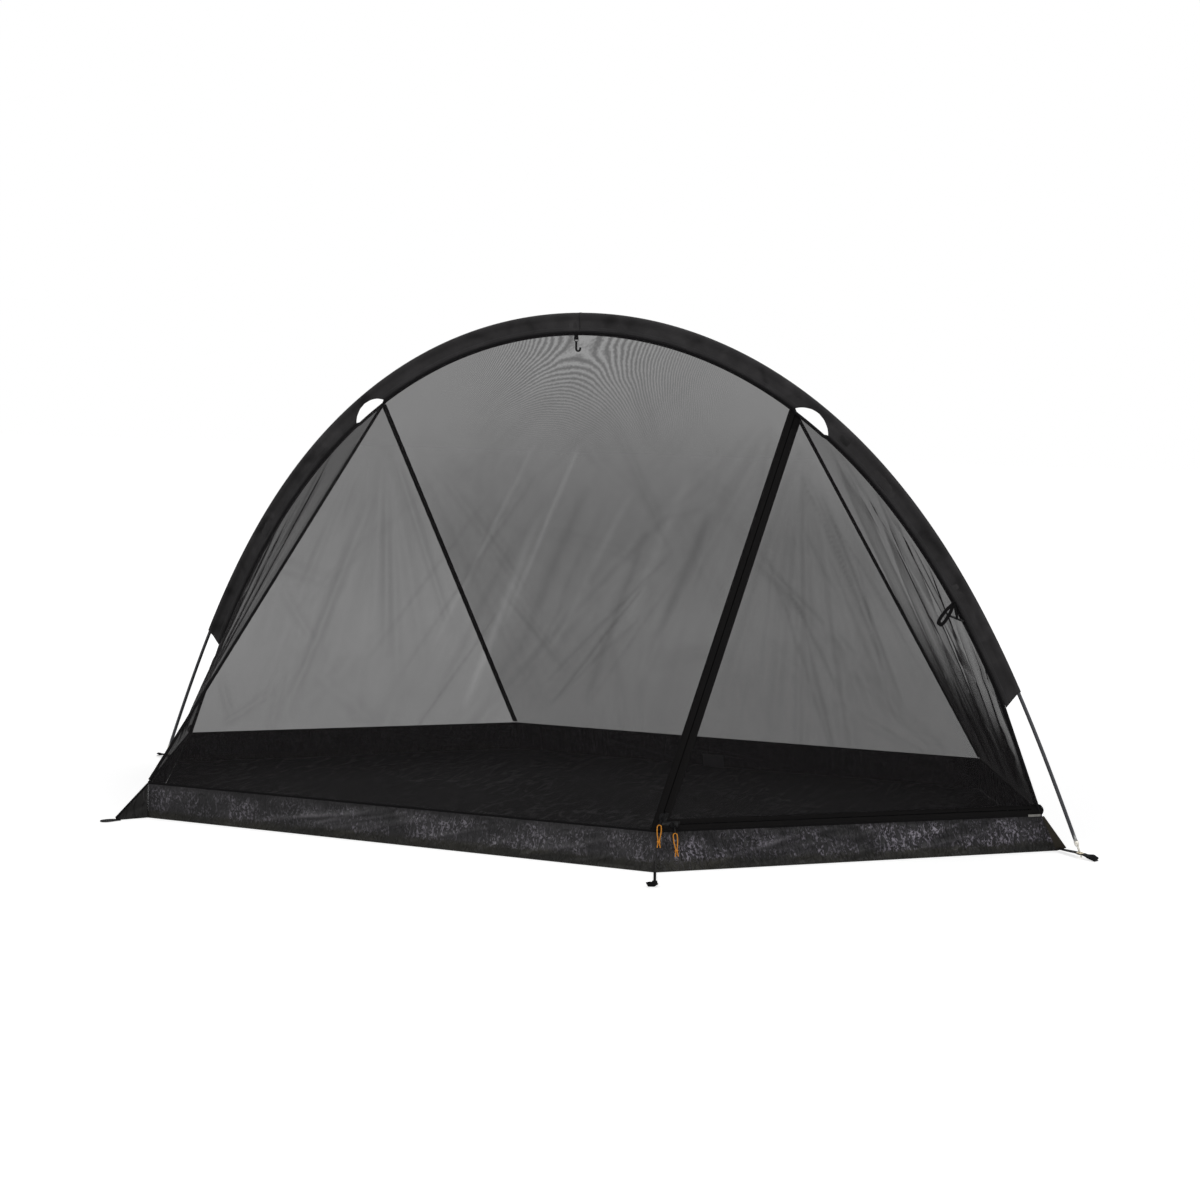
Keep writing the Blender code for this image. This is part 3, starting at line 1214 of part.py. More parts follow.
def build_anchors():
    """Fins with a peg loop at two corners, and webbing peg loops at the other two."""
    outer, inner = loop_outlines(LOOP_LENGTH, LOOP_WIDTH, LOOP_BAND)
    for suffix, turn in (("front_left", False), ("back_right", True)):
        top, low, tip = END_CORNER_TOP.copy(), END_CORNER.copy(), FIN_TIP.copy()
        if turn:
            top, low, tip = half_turn(top), half_turn(low), half_turn(tip)
        flow = unit(low, tip)
        across = UP.cross(flow)
        base = UP * TUB_LIFT
        outline = [low + flow * (FIT / 2.0) + base, tip + base, tip + UP * FIN_TIP_HEIGHT,
                   top + flow * (CLOTH_GAP + FIT) - UP * FIN_TOP_DROP]
        half = across * (FIN_THICKNESS / 2.0)
        name = f"corner_fin_{suffix}"
        fin = ring_body(name, [[p - half for p in outline], [p + half for p in outline]])
        fin = add_object(name, fin, TUB_GREY, 0.6, smooth=False)
        origin = tip - flow * FIN_LOOP_LAP + UP * (TUB_LIFT + LOOP_THICKNESS / 2.0 + LOOP_LIFT)
        loop = frame_slab("loop", origin, flow, across, outer, inner, LOOP_THICKNESS)
        join_cut(fin, add_object("loop", loop, TAPE_BLACK, smooth=False), "UNION")
    for suffix, turn in (("front", False), ("back", True)):
        low, flow = DOOR_CORNER.copy(), PEG_WEBBING_AIM.copy()
        if turn:
            low, flow = half_turn(low), half_turn(flow)
        across = UP.cross(flow)
        origin = low + flow * (CLOTH / 2.0 + FIT) + UP * (LOOP_THICKNESS / 2.0 + FIT)
        reach = PEG_WEBBING_LENGTH
        half = PEG_WEBBING_WIDTH / 2.0
        name = f"peg_loop_{suffix}"
        strip = slab(name, origin, flow, across, box_outline(0.0, reach, -half, half),
                     LOOP_THICKNESS * PEG_WEBBING_SHARE)
        strip = add_object(name, strip, TAPE_BLACK, 0.85, smooth=False)
        loop = frame_slab("loop", origin + flow * (reach - PEG_LOOP_LAP), flow, across, outer, inner,
                          LOOP_THICKNESS)
        join_cut(strip, add_object("loop", loop, TAPE_BLACK, smooth=False), "UNION")


def main():
    """Build every sub-part."""
    clear_scene()
    build_pole()
    build_sleeve()
    build_binding()
    build_panels()
    build_seams()
    build_zip_tapes()
    build_sliders()
    build_hook()
    build_tie_back()
    build_tub()
    build_straps()
    build_anchors()


main()
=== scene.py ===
"""Looks of a one-hoop netting inner tent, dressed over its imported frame.

+X runs along the hoop, -Y is the door side and +Z is up. Lengths are in metres.
"""
import json
import logging
import math
from collections.abc import Callable, Iterator, Sequence
from contextlib import contextmanager
from dataclasses import dataclass, field
from enum import Enum

import bmesh
import bpy
import numpy as np
from mathutils import Matrix, Vector


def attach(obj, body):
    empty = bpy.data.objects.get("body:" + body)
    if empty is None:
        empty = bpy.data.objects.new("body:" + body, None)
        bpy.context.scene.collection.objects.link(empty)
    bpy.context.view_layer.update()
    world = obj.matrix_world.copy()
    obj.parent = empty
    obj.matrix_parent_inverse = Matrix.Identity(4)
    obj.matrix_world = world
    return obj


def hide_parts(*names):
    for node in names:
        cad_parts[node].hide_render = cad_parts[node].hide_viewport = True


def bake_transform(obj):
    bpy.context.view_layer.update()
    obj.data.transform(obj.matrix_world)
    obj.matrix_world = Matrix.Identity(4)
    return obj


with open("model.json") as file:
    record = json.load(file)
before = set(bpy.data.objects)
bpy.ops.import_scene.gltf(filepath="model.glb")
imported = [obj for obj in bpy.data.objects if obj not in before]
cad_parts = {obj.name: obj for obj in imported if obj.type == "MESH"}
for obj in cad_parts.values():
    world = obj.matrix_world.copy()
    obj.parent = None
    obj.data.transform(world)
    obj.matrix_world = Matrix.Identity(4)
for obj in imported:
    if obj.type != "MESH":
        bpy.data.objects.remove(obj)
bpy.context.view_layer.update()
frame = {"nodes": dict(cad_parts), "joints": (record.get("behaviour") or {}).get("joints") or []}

LOG = logging.getLogger("tent")
UP = Vector((0.0, 0.0, 1.0))
SIDE = Vector((0.0, 1.0, 0.0))
ALONG = Vector((1.0, 0.0, 0.0))
WELD = 1e-6
SOFT_EDGE = 32.0
SMOOTH_EDGE = 40.0
CLOTH_MAP = "cloth"
# The "shade" mark: extra density on netting, and painted shade and painted highlights along folds
# on solid cloth.
DENSITY_AND_SHADE = "shade"
WALLS = ("door", "front", "left_end", "back_left", "back", "right_end")
WORN = "end"
Pair = tuple[float, float]
Colour = tuple[float, float, float]


class Body(Enum):
    """The bodies that a piece can ride on."""

    TENT = "tent"
    DOOR = "door"
    SLIDER_UPPER = "slider_upper"
    SLIDER_LOWER = "slider_lower"
    TAB_UPPER = "tab_upper"
    TAB_LOWER = "tab_lower"
    HOOK = "hook"
    TOGGLE = "toggle"


class Slot(Enum):
    """The record's material slots."""

    POLE = "pole_tube"
    METAL = "bare_metal"
    ELASTIC = "elastic"
    SLEEVE = "sleeve_cloth"
    BINDING = "binding_tape"
    NETTING = "netting"
    TUB = "tub_cloth"
    ZIP_TAPE = "zip_tape"
    ZIP_METAL = "zip_metal"
    CORD = "pull_cord"
    PLASTIC = "black_plastic"


class Turn(Enum):
    """Whether a piece stands where it was drawn or after half a turn about Z."""

    NONE = 1.0
    HALF = -1.0


def unit(start: Vector, end: Vector) -> Vector:
    """The direction from one point to another."""
    return (end - start).normalized()


def turned_half(point: Vector, turn: Turn = Turn.HALF) -> Vector:
    """The point where the turn puts it."""
    return Vector((point.x * turn.value, point.y * turn.value, point.z))


def smooth(values: np.ndarray | float) -> np.ndarray:
    """The values clipped to 0 and 1 and eased at both ends."""
    t = np.clip(values, 0.0, 1.0)
    return t * t * (3.0 - 2.0 * t)


def clipped(share: float) -> float:
    """A share kept from 0 to 1."""
    return float(min(max(share, 0.0), 1.0))


def coin(rng: np.random.Generator, bar_at: float = 0.5) -> float:
    """1 or -1 at the toss of a coin."""
    return 1.0 if rng.uniform() > bar_at else -1.0


def circle(radius: float, sides: int) -> list[Pair]:
    """The corners of a round section."""
    turns = (math.tau * k / sides for k in range(sides))
    return [(radius * math.cos(t), radius * math.sin(t)) for t in turns]


def laid(origin: Vector, first: Vector, second: Vector, shape: Sequence[Pair]) -> list[Vector]:
    """A flat shape's points, laid out from an origin along two directions."""
    return [origin + first * a + second * b for a, b in shape]


def straight(start: Vector, end: Vector, steps: int, last: int = 1) -> list[Vector]:
    """Evenly spaced points between two places, with the end itself unless last is 0."""
    return [start.lerp(end, k / steps) for k in range(steps + last)]


def travelled(points: Sequence[Vector]) -> np.ndarray:
    """How far along a path each of its points lies."""
    return np.cumsum([0.0] + [(b - a).length for a, b in zip(points, points[1:])])


# Modelling bench


def link(name: str, mesh: bpy.types.Mesh) -> bpy.types.Object:
    """Put a mesh in the scene under a name, with nothing else selected.

    Args:
        name: the piece's name.
        mesh: its mesh, already in place.

    Returns:
        The new object.
    """
    piece = bpy.data.objects.new(name, mesh)
    bpy.context.scene.collection.objects.link(piece)
    return pick(piece)


def pick(piece: bpy.types.Object) -> bpy.types.Object:
    """Select this object alone and make it the active one."""
    bpy.ops.object.select_all(action="DESELECT")
    piece.select_set(True)
    bpy.context.view_layer.objects.active = piece
    return piece


def drawn(name: str, add: Callable[..., object], **settings: object) -> bpy.types.Object:
    """Add one of the stock meshes under a name.

    Args:
        name: the piece's name.
        add: the operator that adds it.
        settings: the operator's settings.

    Returns:
        The new object, selected alone.
    """
    bpy.ops.object.select_all(action="DESELECT")
    add(**settings)
    piece = bpy.context.active_object
    piece.name = name
    return piece


def sized(piece: bpy.types.Object, *size: float) -> bpy.types.Object:
    """Stretch a stock mesh and write its place, turn and size into its corners."""
    piece.scale = size or (1.0, 1.0, 1.0)
    bpy.ops.object.transform_apply(location=True, rotation=True, scale=True)
    return piece


def shaded(piece: bpy.types.Object, sharpest: float = SMOOTH_EDGE) -> bpy.types.Object:
    """Shade a piece smooth, except over edges sharper than an angle in degrees."""
    pick(piece)
    bpy.ops.object.shade_smooth_by_angle(angle=math.radians(sharpest))
    return piece


def spots(piece: bpy.types.Object) -> np.ndarray:
    """The places of a mesh's corners, one to a row."""
    return np.array([v.co for v in piece.data.vertices]).reshape(-1, 3)


@contextmanager
def shaping(piece: bpy.types.Object) -> Iterator[bmesh.types.BMesh]:
    """Edit mode on one piece, with nothing selected at the start."""
    pick(piece)
    bpy.ops.object.mode_set(mode="EDIT")
    bpy.ops.mesh.select_all(action="DESELECT")
    yield bmesh.from_edit_mesh(piece.data)
    bpy.ops.object.mode_set(mode="OBJECT")


def choose(bm: bmesh.types.BMesh, test: Callable[[Vector], bool], kind: str = "faces") -> None:
    """Select the faces, edges or corners whose middle passes a test, and nothing else.

    Args:
        bm: the mesh in edit mode.
        test: says whether a middle point is wanted.
        kind: "faces", "edges" or "verts".
    """
    bpy.ops.mesh.select_all(action="DESELECT")
    bpy.ops.mesh.select_mode(type={"faces": "FACE", "edges": "EDGE", "verts": "VERT"}[kind])
    for item in getattr(bm, kind):
        if kind == "faces":
            middle = item.calc_center_median()
        elif kind == "edges":
            middle = (item.verts[0].co + item.verts[1].co) / 2.0
        else:
            middle = item.co
        item.select_set(test(middle))
    bm.select_flush_mode()
    bmesh.update_edit_mesh(bpy.context.active_object.data)


def finish_with(piece: bpy.types.Object, kind: str, **settings: object) -> bpy.types.Object:
    """Add a modifier with its settings and apply it.

    Args:
        piece: the object.
        kind: the modifier's type.
        settings: the modifier's properties.

    Returns:
        The same object.
    """
    pick(piece)
    change = piece.modifiers.new(kind.lower(), kind)
    for name, value in settings.items():
        setattr(change, name, value)
    bpy.ops.object.modifier_apply(modifier=change.name)
    return piece


def soften(piece: bpy.types.Object, width: float, segments: int = 2) -> bpy.types.Object:
    """Round a piece's edges and shade it.

    Args:
        piece: the object.
        width: the rounding's width.
        segments: faces across the rounding.

    Returns:
        The same object.
    """
    finish_with(piece, "BEVEL", width=width, segments=segments, limit_method="ANGLE",
                angle_limit=math.radians(SOFT_EDGE), harden_normals=False)
    return shaded(piece)


def put(piece: bpy.types.Object, matrix: Matrix) -> bpy.types.Object:
    """Move a piece's mesh into place and leave its object at the origin."""
    piece.data.transform(matrix)
    piece.data.update()
    return piece


def frame_of(origin: Vector, x_axis: Vector, z_axis: Vector) -> Matrix:
    """A matrix with its origin, x and z as given and y square to both.

    Args:
        origin: where the local origin goes.
        x_axis: where local x points.
        z_axis: roughly where local z points.

    Returns:
        The matrix.
    """
    x = x_axis.normalized()
    y = z_axis.cross(x).normalized()
    z = x.cross(y)
    return Matrix.Translation(origin) @ Matrix((x, y, z)).transposed().to_4x4()


def merged(name: str, pieces: Sequence[bpy.types.Object]) -> bpy.types.Object:
    """Join several objects into one piece.

    Args:
        name: the piece's name.
        pieces: the objects, of which the first stays.

    Returns:
        The joined object.
    """
    bpy.ops.object.select_all(action="DESELECT")
    for piece in pieces:
        piece.select_set(True)
    bpy.context.view_layer.objects.active = pieces[0]
    if len(pieces) > 1:
        bpy.ops.object.join()
    pieces[0].name = name
    return pieces[0]


def turned(name: str, profile: Sequence[Pair], sides: int = 32) -> bpy.types.Object:
    """A solid turned about local Z, pulled up step by step from a disc.

    Args:
        name: the piece's name.
        profile: height and radius at each step, from the bottom to the top.
        sides: faces round it.

    Returns:
        The closed object.
    """
    height, radius = profile[0]
    piece = drawn(name, bpy.ops.mesh.primitive_circle_add, vertices=sides, radius=radius,
                  fill_type="NGON")
    with shaping(piece) as bm:
        bpy.ops.mesh.select_all(action="SELECT")
        bpy.ops.transform.translate(value=(0.0, 0.0, height))
        for (low, before), (high, after) in zip(profile, profile[1:]):
            bpy.ops.mesh.extrude_region_move(
                TRANSFORM_OT_translate={"value": (0.0, 0.0, high - low)})
            share = after / before
            bpy.ops.transform.resize(value=(share, share, 1.0), center_override=(0.0, 0.0, high))
        bm.faces.ensure_lookup_table()
        bpy.ops.mesh.select_all(action="SELECT")
        bpy.ops.mesh.normals_make_consistent(inside=False)
    return piece


def bar(name: str, points: Sequence[Vector], radius: float, sides: int = 16,
        closed: bool = False) -> bpy.types.Object:
    """A round bar along a path, drawn as a curve and made a mesh.

    Args:
        name: the piece's name.
        points: the path.
        radius: the bar's radius.
        sides: faces round it.
        closed: whether the path is a ring.

    Returns:
        The object, with capped ends.
    """
    curve = bpy.data.curves.new(name, "CURVE")
    curve.dimensions = "3D"
    spline = curve.splines.new("POLY")
    spline.points.add(len(points) - 1)
    spline.points.foreach_set("co", [c for p in points for c in (*p, 1.0)])
    spline.use_cyclic_u = closed
    curve.bevel_depth = radius
    curve.bevel_resolution = max(sides // 4 - 1, 0)
    curve.use_fill_caps = not closed
    piece = bpy.data.objects.new(name, curve)
    bpy.context.scene.collection.objects.link(piece)
    pick(piece)
    bpy.ops.object.convert(target="MESH")
    with shaping(piece):
        bpy.ops.mesh.select_all(action="SELECT")
        bpy.ops.mesh.remove_doubles(threshold=WELD)
        bpy.ops.mesh.normals_make_consistent(inside=False)
    return shaded(piece)


def smooth_path(knots: Sequence[Vector], steps: int) -> list[Vector]:
    """Points on a smooth curve through the knots.

    Args:
        knots: the points to pass through.
        steps: steps between two knots.

    Returns:
        The curve's points.
    """
    ends = [knots[0] * 2.0 - knots[1], *knots, knots[-1] * 2.0 - knots[-2]]
    points = []
    for before, start, stop, after in zip(ends, ends[1:], ends[2:], ends[3:]):
        for k in range(steps):
            t = k / steps
            points.append(0.5 * (2.0 * start + (stop - before) * t
                                 + (2.0 * before - 5.0 * start + 4.0 * stop - after) * t * t
                                 + (3.0 * start - before - 3.0 * stop + after) * t ** 3))
    return points + [knots[-1].copy()]


def path_frames(points: Sequence[Vector], hint: Vector,
                closed: bool = False) -> list[tuple[Vector, Vector]]:
    """Two square vectors carried without twist along a path.

    Args:
        points: the path.
        hint: where the first vector roughly points at the start.
        closed: whether the path is a flat ring.

    Returns:
        One pair of vectors for each point.
    """
    frames, previous, last = [], hint, len(points) - 1
    for i in range(len(points)):
        if closed:
            along = unit(points[i - 1], points[(i + 1) % len(points)])
        else:
            along = unit(points[max(i - 1, 0)], points[min(i + 1, last)])
        first = (previous - along * previous.dot(along)).normalized()
        frames.append((first, along.cross(first)))
        previous = first
    return frames


def swept(name: str, points: Sequence[Vector], section: Callable[[float], Sequence[Pair]],
          hint: Vector, closed: bool = False) -> bpy.types.Object:
    """A soft piece with a given section along a path, with its surface laid out in metres.

    Args:
        name: the piece's name.
        points: the path.
        section: the closed section's corners at a share of the path's length.
        hint: where the section's first axis roughly points at the start.
        closed: whether the path is a flat ring, which has no ends to cap.

    Returns:
        The object.
    """
    frames = path_frames(points, hint, closed)
    travel = travelled([*points, points[0]] if closed else points)
    bm = bmesh.new()
    rings, rounds = [], []
    for point, (first, second), far in zip(points, frames, travel):
        corners = section(far / travel[-1])
        rings.append([bm.verts.new(point + first * a + second * b) for a, b in corners])
        loop = [0.0]
        for (a, b), (c, d) in zip(corners, [*corners[1:], corners[0]]):
            loop.append(loop[-1] + math.hypot(c - a, d - b))
        rounds.append(loop)
    layer = bm.loops.layers.uv.new(CLOTH_MAP)
    count = len(rings[0])
    if closed:
        rings.append(rings[0])
        rounds.append(rounds[0])
    for i in range(len(rings) - 1):
        for k in range(count):
            j = (k + 1) % count
            face = bm.faces.new((rings[i][k], rings[i][j], rings[i + 1][j], rings[i + 1][k]))
            grid = ((i, k), (i, k + 1), (i + 1, k + 1), (i + 1, k))
            for corner, (row, column) in zip(face.loops, grid):
                corner[layer].uv = (rounds[row][column], travel[row])
    if not closed:
        bm.faces.new(rings[0])
        bm.faces.new(rings[-1])
    bmesh.ops.recalc_face_normals(bm, faces=bm.faces)
    mesh = bpy.data.meshes.new(name)
    bm.to_mesh(mesh)
    bm.free()
    mesh.shade_smooth()
    mesh.set_sharp_from_angle(angle=math.radians(50.0))
    return link(name, mesh)


def spun(name: str, profile: Sequence[Pair], sides: int = 40) -> bpy.types.Object:
    """A ring whose closed profile is spun about local Z.

    Args:
        name: the piece's name.
        profile: the closed profile's radius and height at each corner.
        sides: steps of the spin.

    Returns:
        The closed object.
    """
    piece = drawn(name, bpy.ops.mesh.primitive_circle_add, vertices=len(profile),
                  radius=profile[0][0])
    with shaping(piece) as bm:
        for corner, (radius, height) in zip(bm.verts, profile):
            corner.co = (radius, 0.0, height)
        bmesh.update_edit_mesh(piece.data)
        bpy.ops.mesh.select_all(action="SELECT")
        bpy.ops.mesh.spin(steps=sides, angle=math.tau, center=(0.0, 0.0, 0.0),
                          axis=(0.0, 0.0, 1.0))
        bpy.ops.mesh.select_all(action="SELECT")
        bpy.ops.mesh.remove_doubles(threshold=WELD)
        bpy.ops.mesh.normals_make_consistent(inside=False)
    return shaded(piece, 35.0)


def swell(t: float, *waves: Pair) -> float:
    """A factor about 1 that waves along a piece, from each wave's height and turns."""
    return sum((height * math.sin(t * turns) for height, turns in waves), 1.0)


def oval(width: float, depth: float, sides: int = 12) -> list[Pair]:
    """The corners of a rounded flat section, such as a tape's."""
    turns = [math.tau * (k + 0.5) / sides for k in range(sides)]
    squash = [(abs(math.cos(t)) ** 0.5 * math.copysign(1.0, math.cos(t)),
               abs(math.sin(t)) ** 0.5 * math.copysign(1.0, math.sin(t))) for t in turns]
    return [(width / 2.0 * a, depth / 2.0 * b) for a, b in squash]


# Cloth


@dataclass
class Sheet:
    """A cloth as a grid of points, with its flat cut, its folds, and its density or painted shade.
    """

    points: np.ndarray
    flat: np.ndarray
    folds: np.ndarray = field(init=False)
    shade: np.ndarray = field(init=False)
    crease_share: float = 0.55
    least_fill: float = 0.301

    def __post_init__(self) -> None:
        """Start with no folds."""
        self.folds = np.zeros(self.points.shape[:2])
        self.shade = np.zeros(self.points.shape[:2])

    @classmethod
    def ruled(cls, top: np.ndarray, bottom: np.ndarray, rows: int) -> "Sheet":
        """A taut cloth of straight threads between two edges.

        Args:
            top: the points along the top edge.
            bottom: as many points along the bottom edge.
            rows: steps from top to bottom.

        Returns:
            The sheet.
        """
        share = np.linspace(0.0, 1.0, rows + 1)[None, :, None]
        points = top[:, None, :] * (1.0 - share) + bottom[:, None, :] * share

        def run(edge: np.ndarray) -> np.ndarray:
            """Length along an edge, from its middle."""
            steps = np.linalg.norm(np.diff(edge, axis=0), axis=1)
            travel = np.concatenate(([0.0], np.cumsum(steps)))
            return travel - travel[-1] / 2.0

        across = run(top)[:, None] * (1.0 - share[..., 0]) + run(bottom)[:, None] * share[..., 0]
        down = np.linalg.norm(bottom - top, axis=1)[:, None] * share[..., 0]
        return cls(points, np.stack([across, down], axis=-1))

    def normals(self) -> np.ndarray:
        """The cloth's normals, pointing away from the tent's middle."""
        across, down = np.gradient(self.points, axis=0), np.gradient(self.points, axis=1)
        normals = np.cross(across, down)
        normals /= np.maximum(np.linalg.norm(normals, axis=-1, keepdims=True), 1e-12)
        away = self.points - np.array([0.0, 0.0, 0.25])
        return normals * (1.0 if (normals * away).sum() > 0.0 else -1.0)

    def spot(self, u: float, v: float) -> np.ndarray:
        """The flat cut's coordinates at a share across and down."""
        columns, rows = self.flat.shape[:2]
        return self.flat[int(round(u * (columns - 1))), int(round(v * (rows - 1)))]

    def rim(self, width: float) -> np.ndarray:
        """0 on the cloth's edges, rising to 1 a given distance in."""
        columns, rows = self.flat.shape[:2]
        span = np.ptp(self.flat[..., 0], axis=0)[None, :]
        drop = self.flat[:, -1, 1][:, None]
        i = np.linspace(0.0, 1.0, columns)[:, None]
        j = np.linspace(0.0, 1.0, rows)[None, :]
        near = np.minimum(np.minimum(i, 1.0 - i) * span, np.minimum(j, 1.0 - j) * drop)
        return smooth(near / width)

    def fold(self, start: Pair, end: Pair, width: float, depth: float,
             crease: float = 0.0) -> None:
        """Lay one long fold between two places given as shares across and down.

        Args:
            start: where it starts.
            end: where it dies out.
            width: half its width.
            depth: how far it stands out, or in where negative.
            crease: how dense the cloth is along its middle; on solid cloth, how much painted shade
                or painted highlight lies along it.
        """
        a, b = self.spot(*start), self.spot(*end)
        line = b - a
        length = max(float(line @ line), 1e-9)
        t = ((self.flat - a) @ line) / length
        foot = a + np.clip(t, 0.0, 1.0)[..., None] * line
        away = np.linalg.norm(self.flat - foot, axis=-1)
        fade = np.sqrt(np.clip(4.0 * t * (1.0 - t), 0.0, 1.0))
        self.folds += depth * np.exp(-((away / width) ** 2)) * fade
        self.shade += crease * np.exp(-((away / (width * self.crease_share)) ** 2)) * fade

    def fan(self, rng: np.random.Generator, corner: Pair, aims: Sequence[Pair], count: int,
            width: Pair, depth: Pair) -> None:
        """Lay folds that spread from a corner where the cloth is pulled.

        Args:
            rng: the seeded generator.
            corner: where they start, as shares across and down.
            aims: two places between which they end.
            count: how many.
            width: least and greatest half width.
            depth: least and greatest height.
        """
        first, last = np.array(aims[0]), np.array(aims[1])
        for k in range(count):
            share = (k + rng.uniform(0.1, 0.9)) / count
            aim = first + (last - first) * share
            away = np.array(corner) + (aim - np.array(corner)) * rng.uniform(0.02, 0.18)
            reach = np.array(corner) + (aim - np.array(corner)) * rng.uniform(0.55, 1.0)
            away, reach = np.clip(away, 0.0, 1.0), np.clip(reach, 0.0, 1.0)
            sign = coin(rng)
            self.fold(tuple(away), tuple(reach), rng.uniform(*width), sign * rng.uniform(*depth))

    def loose(self, rng: np.random.Generator, count: int, size: Pair, width: Pair,
              depth: Pair) -> None:
        """Scatter short loose folds over the cloth.

        Args:
            rng: the seeded generator.
            count: how many.
            size: least and greatest reach, as a share of the cloth.
            width: least and greatest half width.
            depth: least and greatest height.
        """
        for _ in range(count):
            middle = rng.uniform(0.05, 0.95, 2)
            turn = rng.normal(math.pi / 2.0, 0.55)
            half = rng.uniform(*size) / 2.0 * np.array([math.cos(turn) * 0.7, math.sin(turn)])
            start = np.clip(middle - half, 0.0, 1.0)
            end = np.clip(middle + half, 0.0, 1.0)
            sign = coin(rng)
            self.fold(tuple(start), tuple(end), rng.uniform(*width), sign * rng.uniform(*depth))

    def build(self, name: str, thickness: float = 0.0) -> bpy.types.Object:
        """Make the cloth's mesh, with its flat cut as a UV map and its density or painted shade as
        "shade".

        Args:
            name: the piece's name.
            thickness: the cloth's thickness, or 0 for a single layer.

        Returns:
            The object.
        """
        columns, rows = self.points.shape[:2]
        normals = self.normals()
        places = self.points + normals * self.folds[..., None]
        index = np.arange(columns * rows).reshape(columns, rows)
        faces = np.stack([index[:-1, :-1], index[1:, :-1], index[1:, 1:], index[:-1, 1:]],
                         axis=-1).reshape(-1, 4)
        across, down = self.points[1, 0] - self.points[0, 0], self.points[0, 1] - self.points[0, 0]
        if np.cross(across, down) @ normals[0, 0] < 0.0:
            faces = faces[:, ::-1]
        mesh = bpy.data.meshes.new(name)
        mesh.from_pydata(places.reshape(-1, 3).tolist(), [], faces.tolist())
        layer = mesh.uv_layers.new(name=CLOTH_MAP)
        corners = np.zeros(len(mesh.loops), np.int32)
        mesh.loops.foreach_get("vertex_index", corners)
        layer.data.foreach_set("uv", self.flat.reshape(-1, 2)[corners].astype(np.float32).ravel())
        shade = mesh.attributes.new(DENSITY_AND_SHADE, "FLOAT", "POINT")
        shade.data.foreach_set("value", self.shade.astype(np.float32).ravel())
        mesh.shade_smooth()
        piece = link(name, mesh)
        if thickness:
            finish_with(piece, "SOLIDIFY", thickness=thickness, offset=0.0)
        return piece

    def cut(self) -> tuple[Pair, float]:
        """The flat cut's width, length and area."""
        width = float(np.ptp(self.flat[..., 0]))
        length = float(np.ptp(self.flat[..., 1]))
        near, right = self.points[:-1, :-1], self.points[1:, :-1]
        below, far = self.points[:-1, 1:], self.points[1:, 1:]
        area = (np.linalg.norm(np.cross(right - near, below - near), axis=-1).sum()
                + np.linalg.norm(np.cross(right - far, below - far), axis=-1).sum()) / 2.0
        box = width * length
        return (width, length), min(max(float(area), self.least_fill * box), box)


# Shader graphs


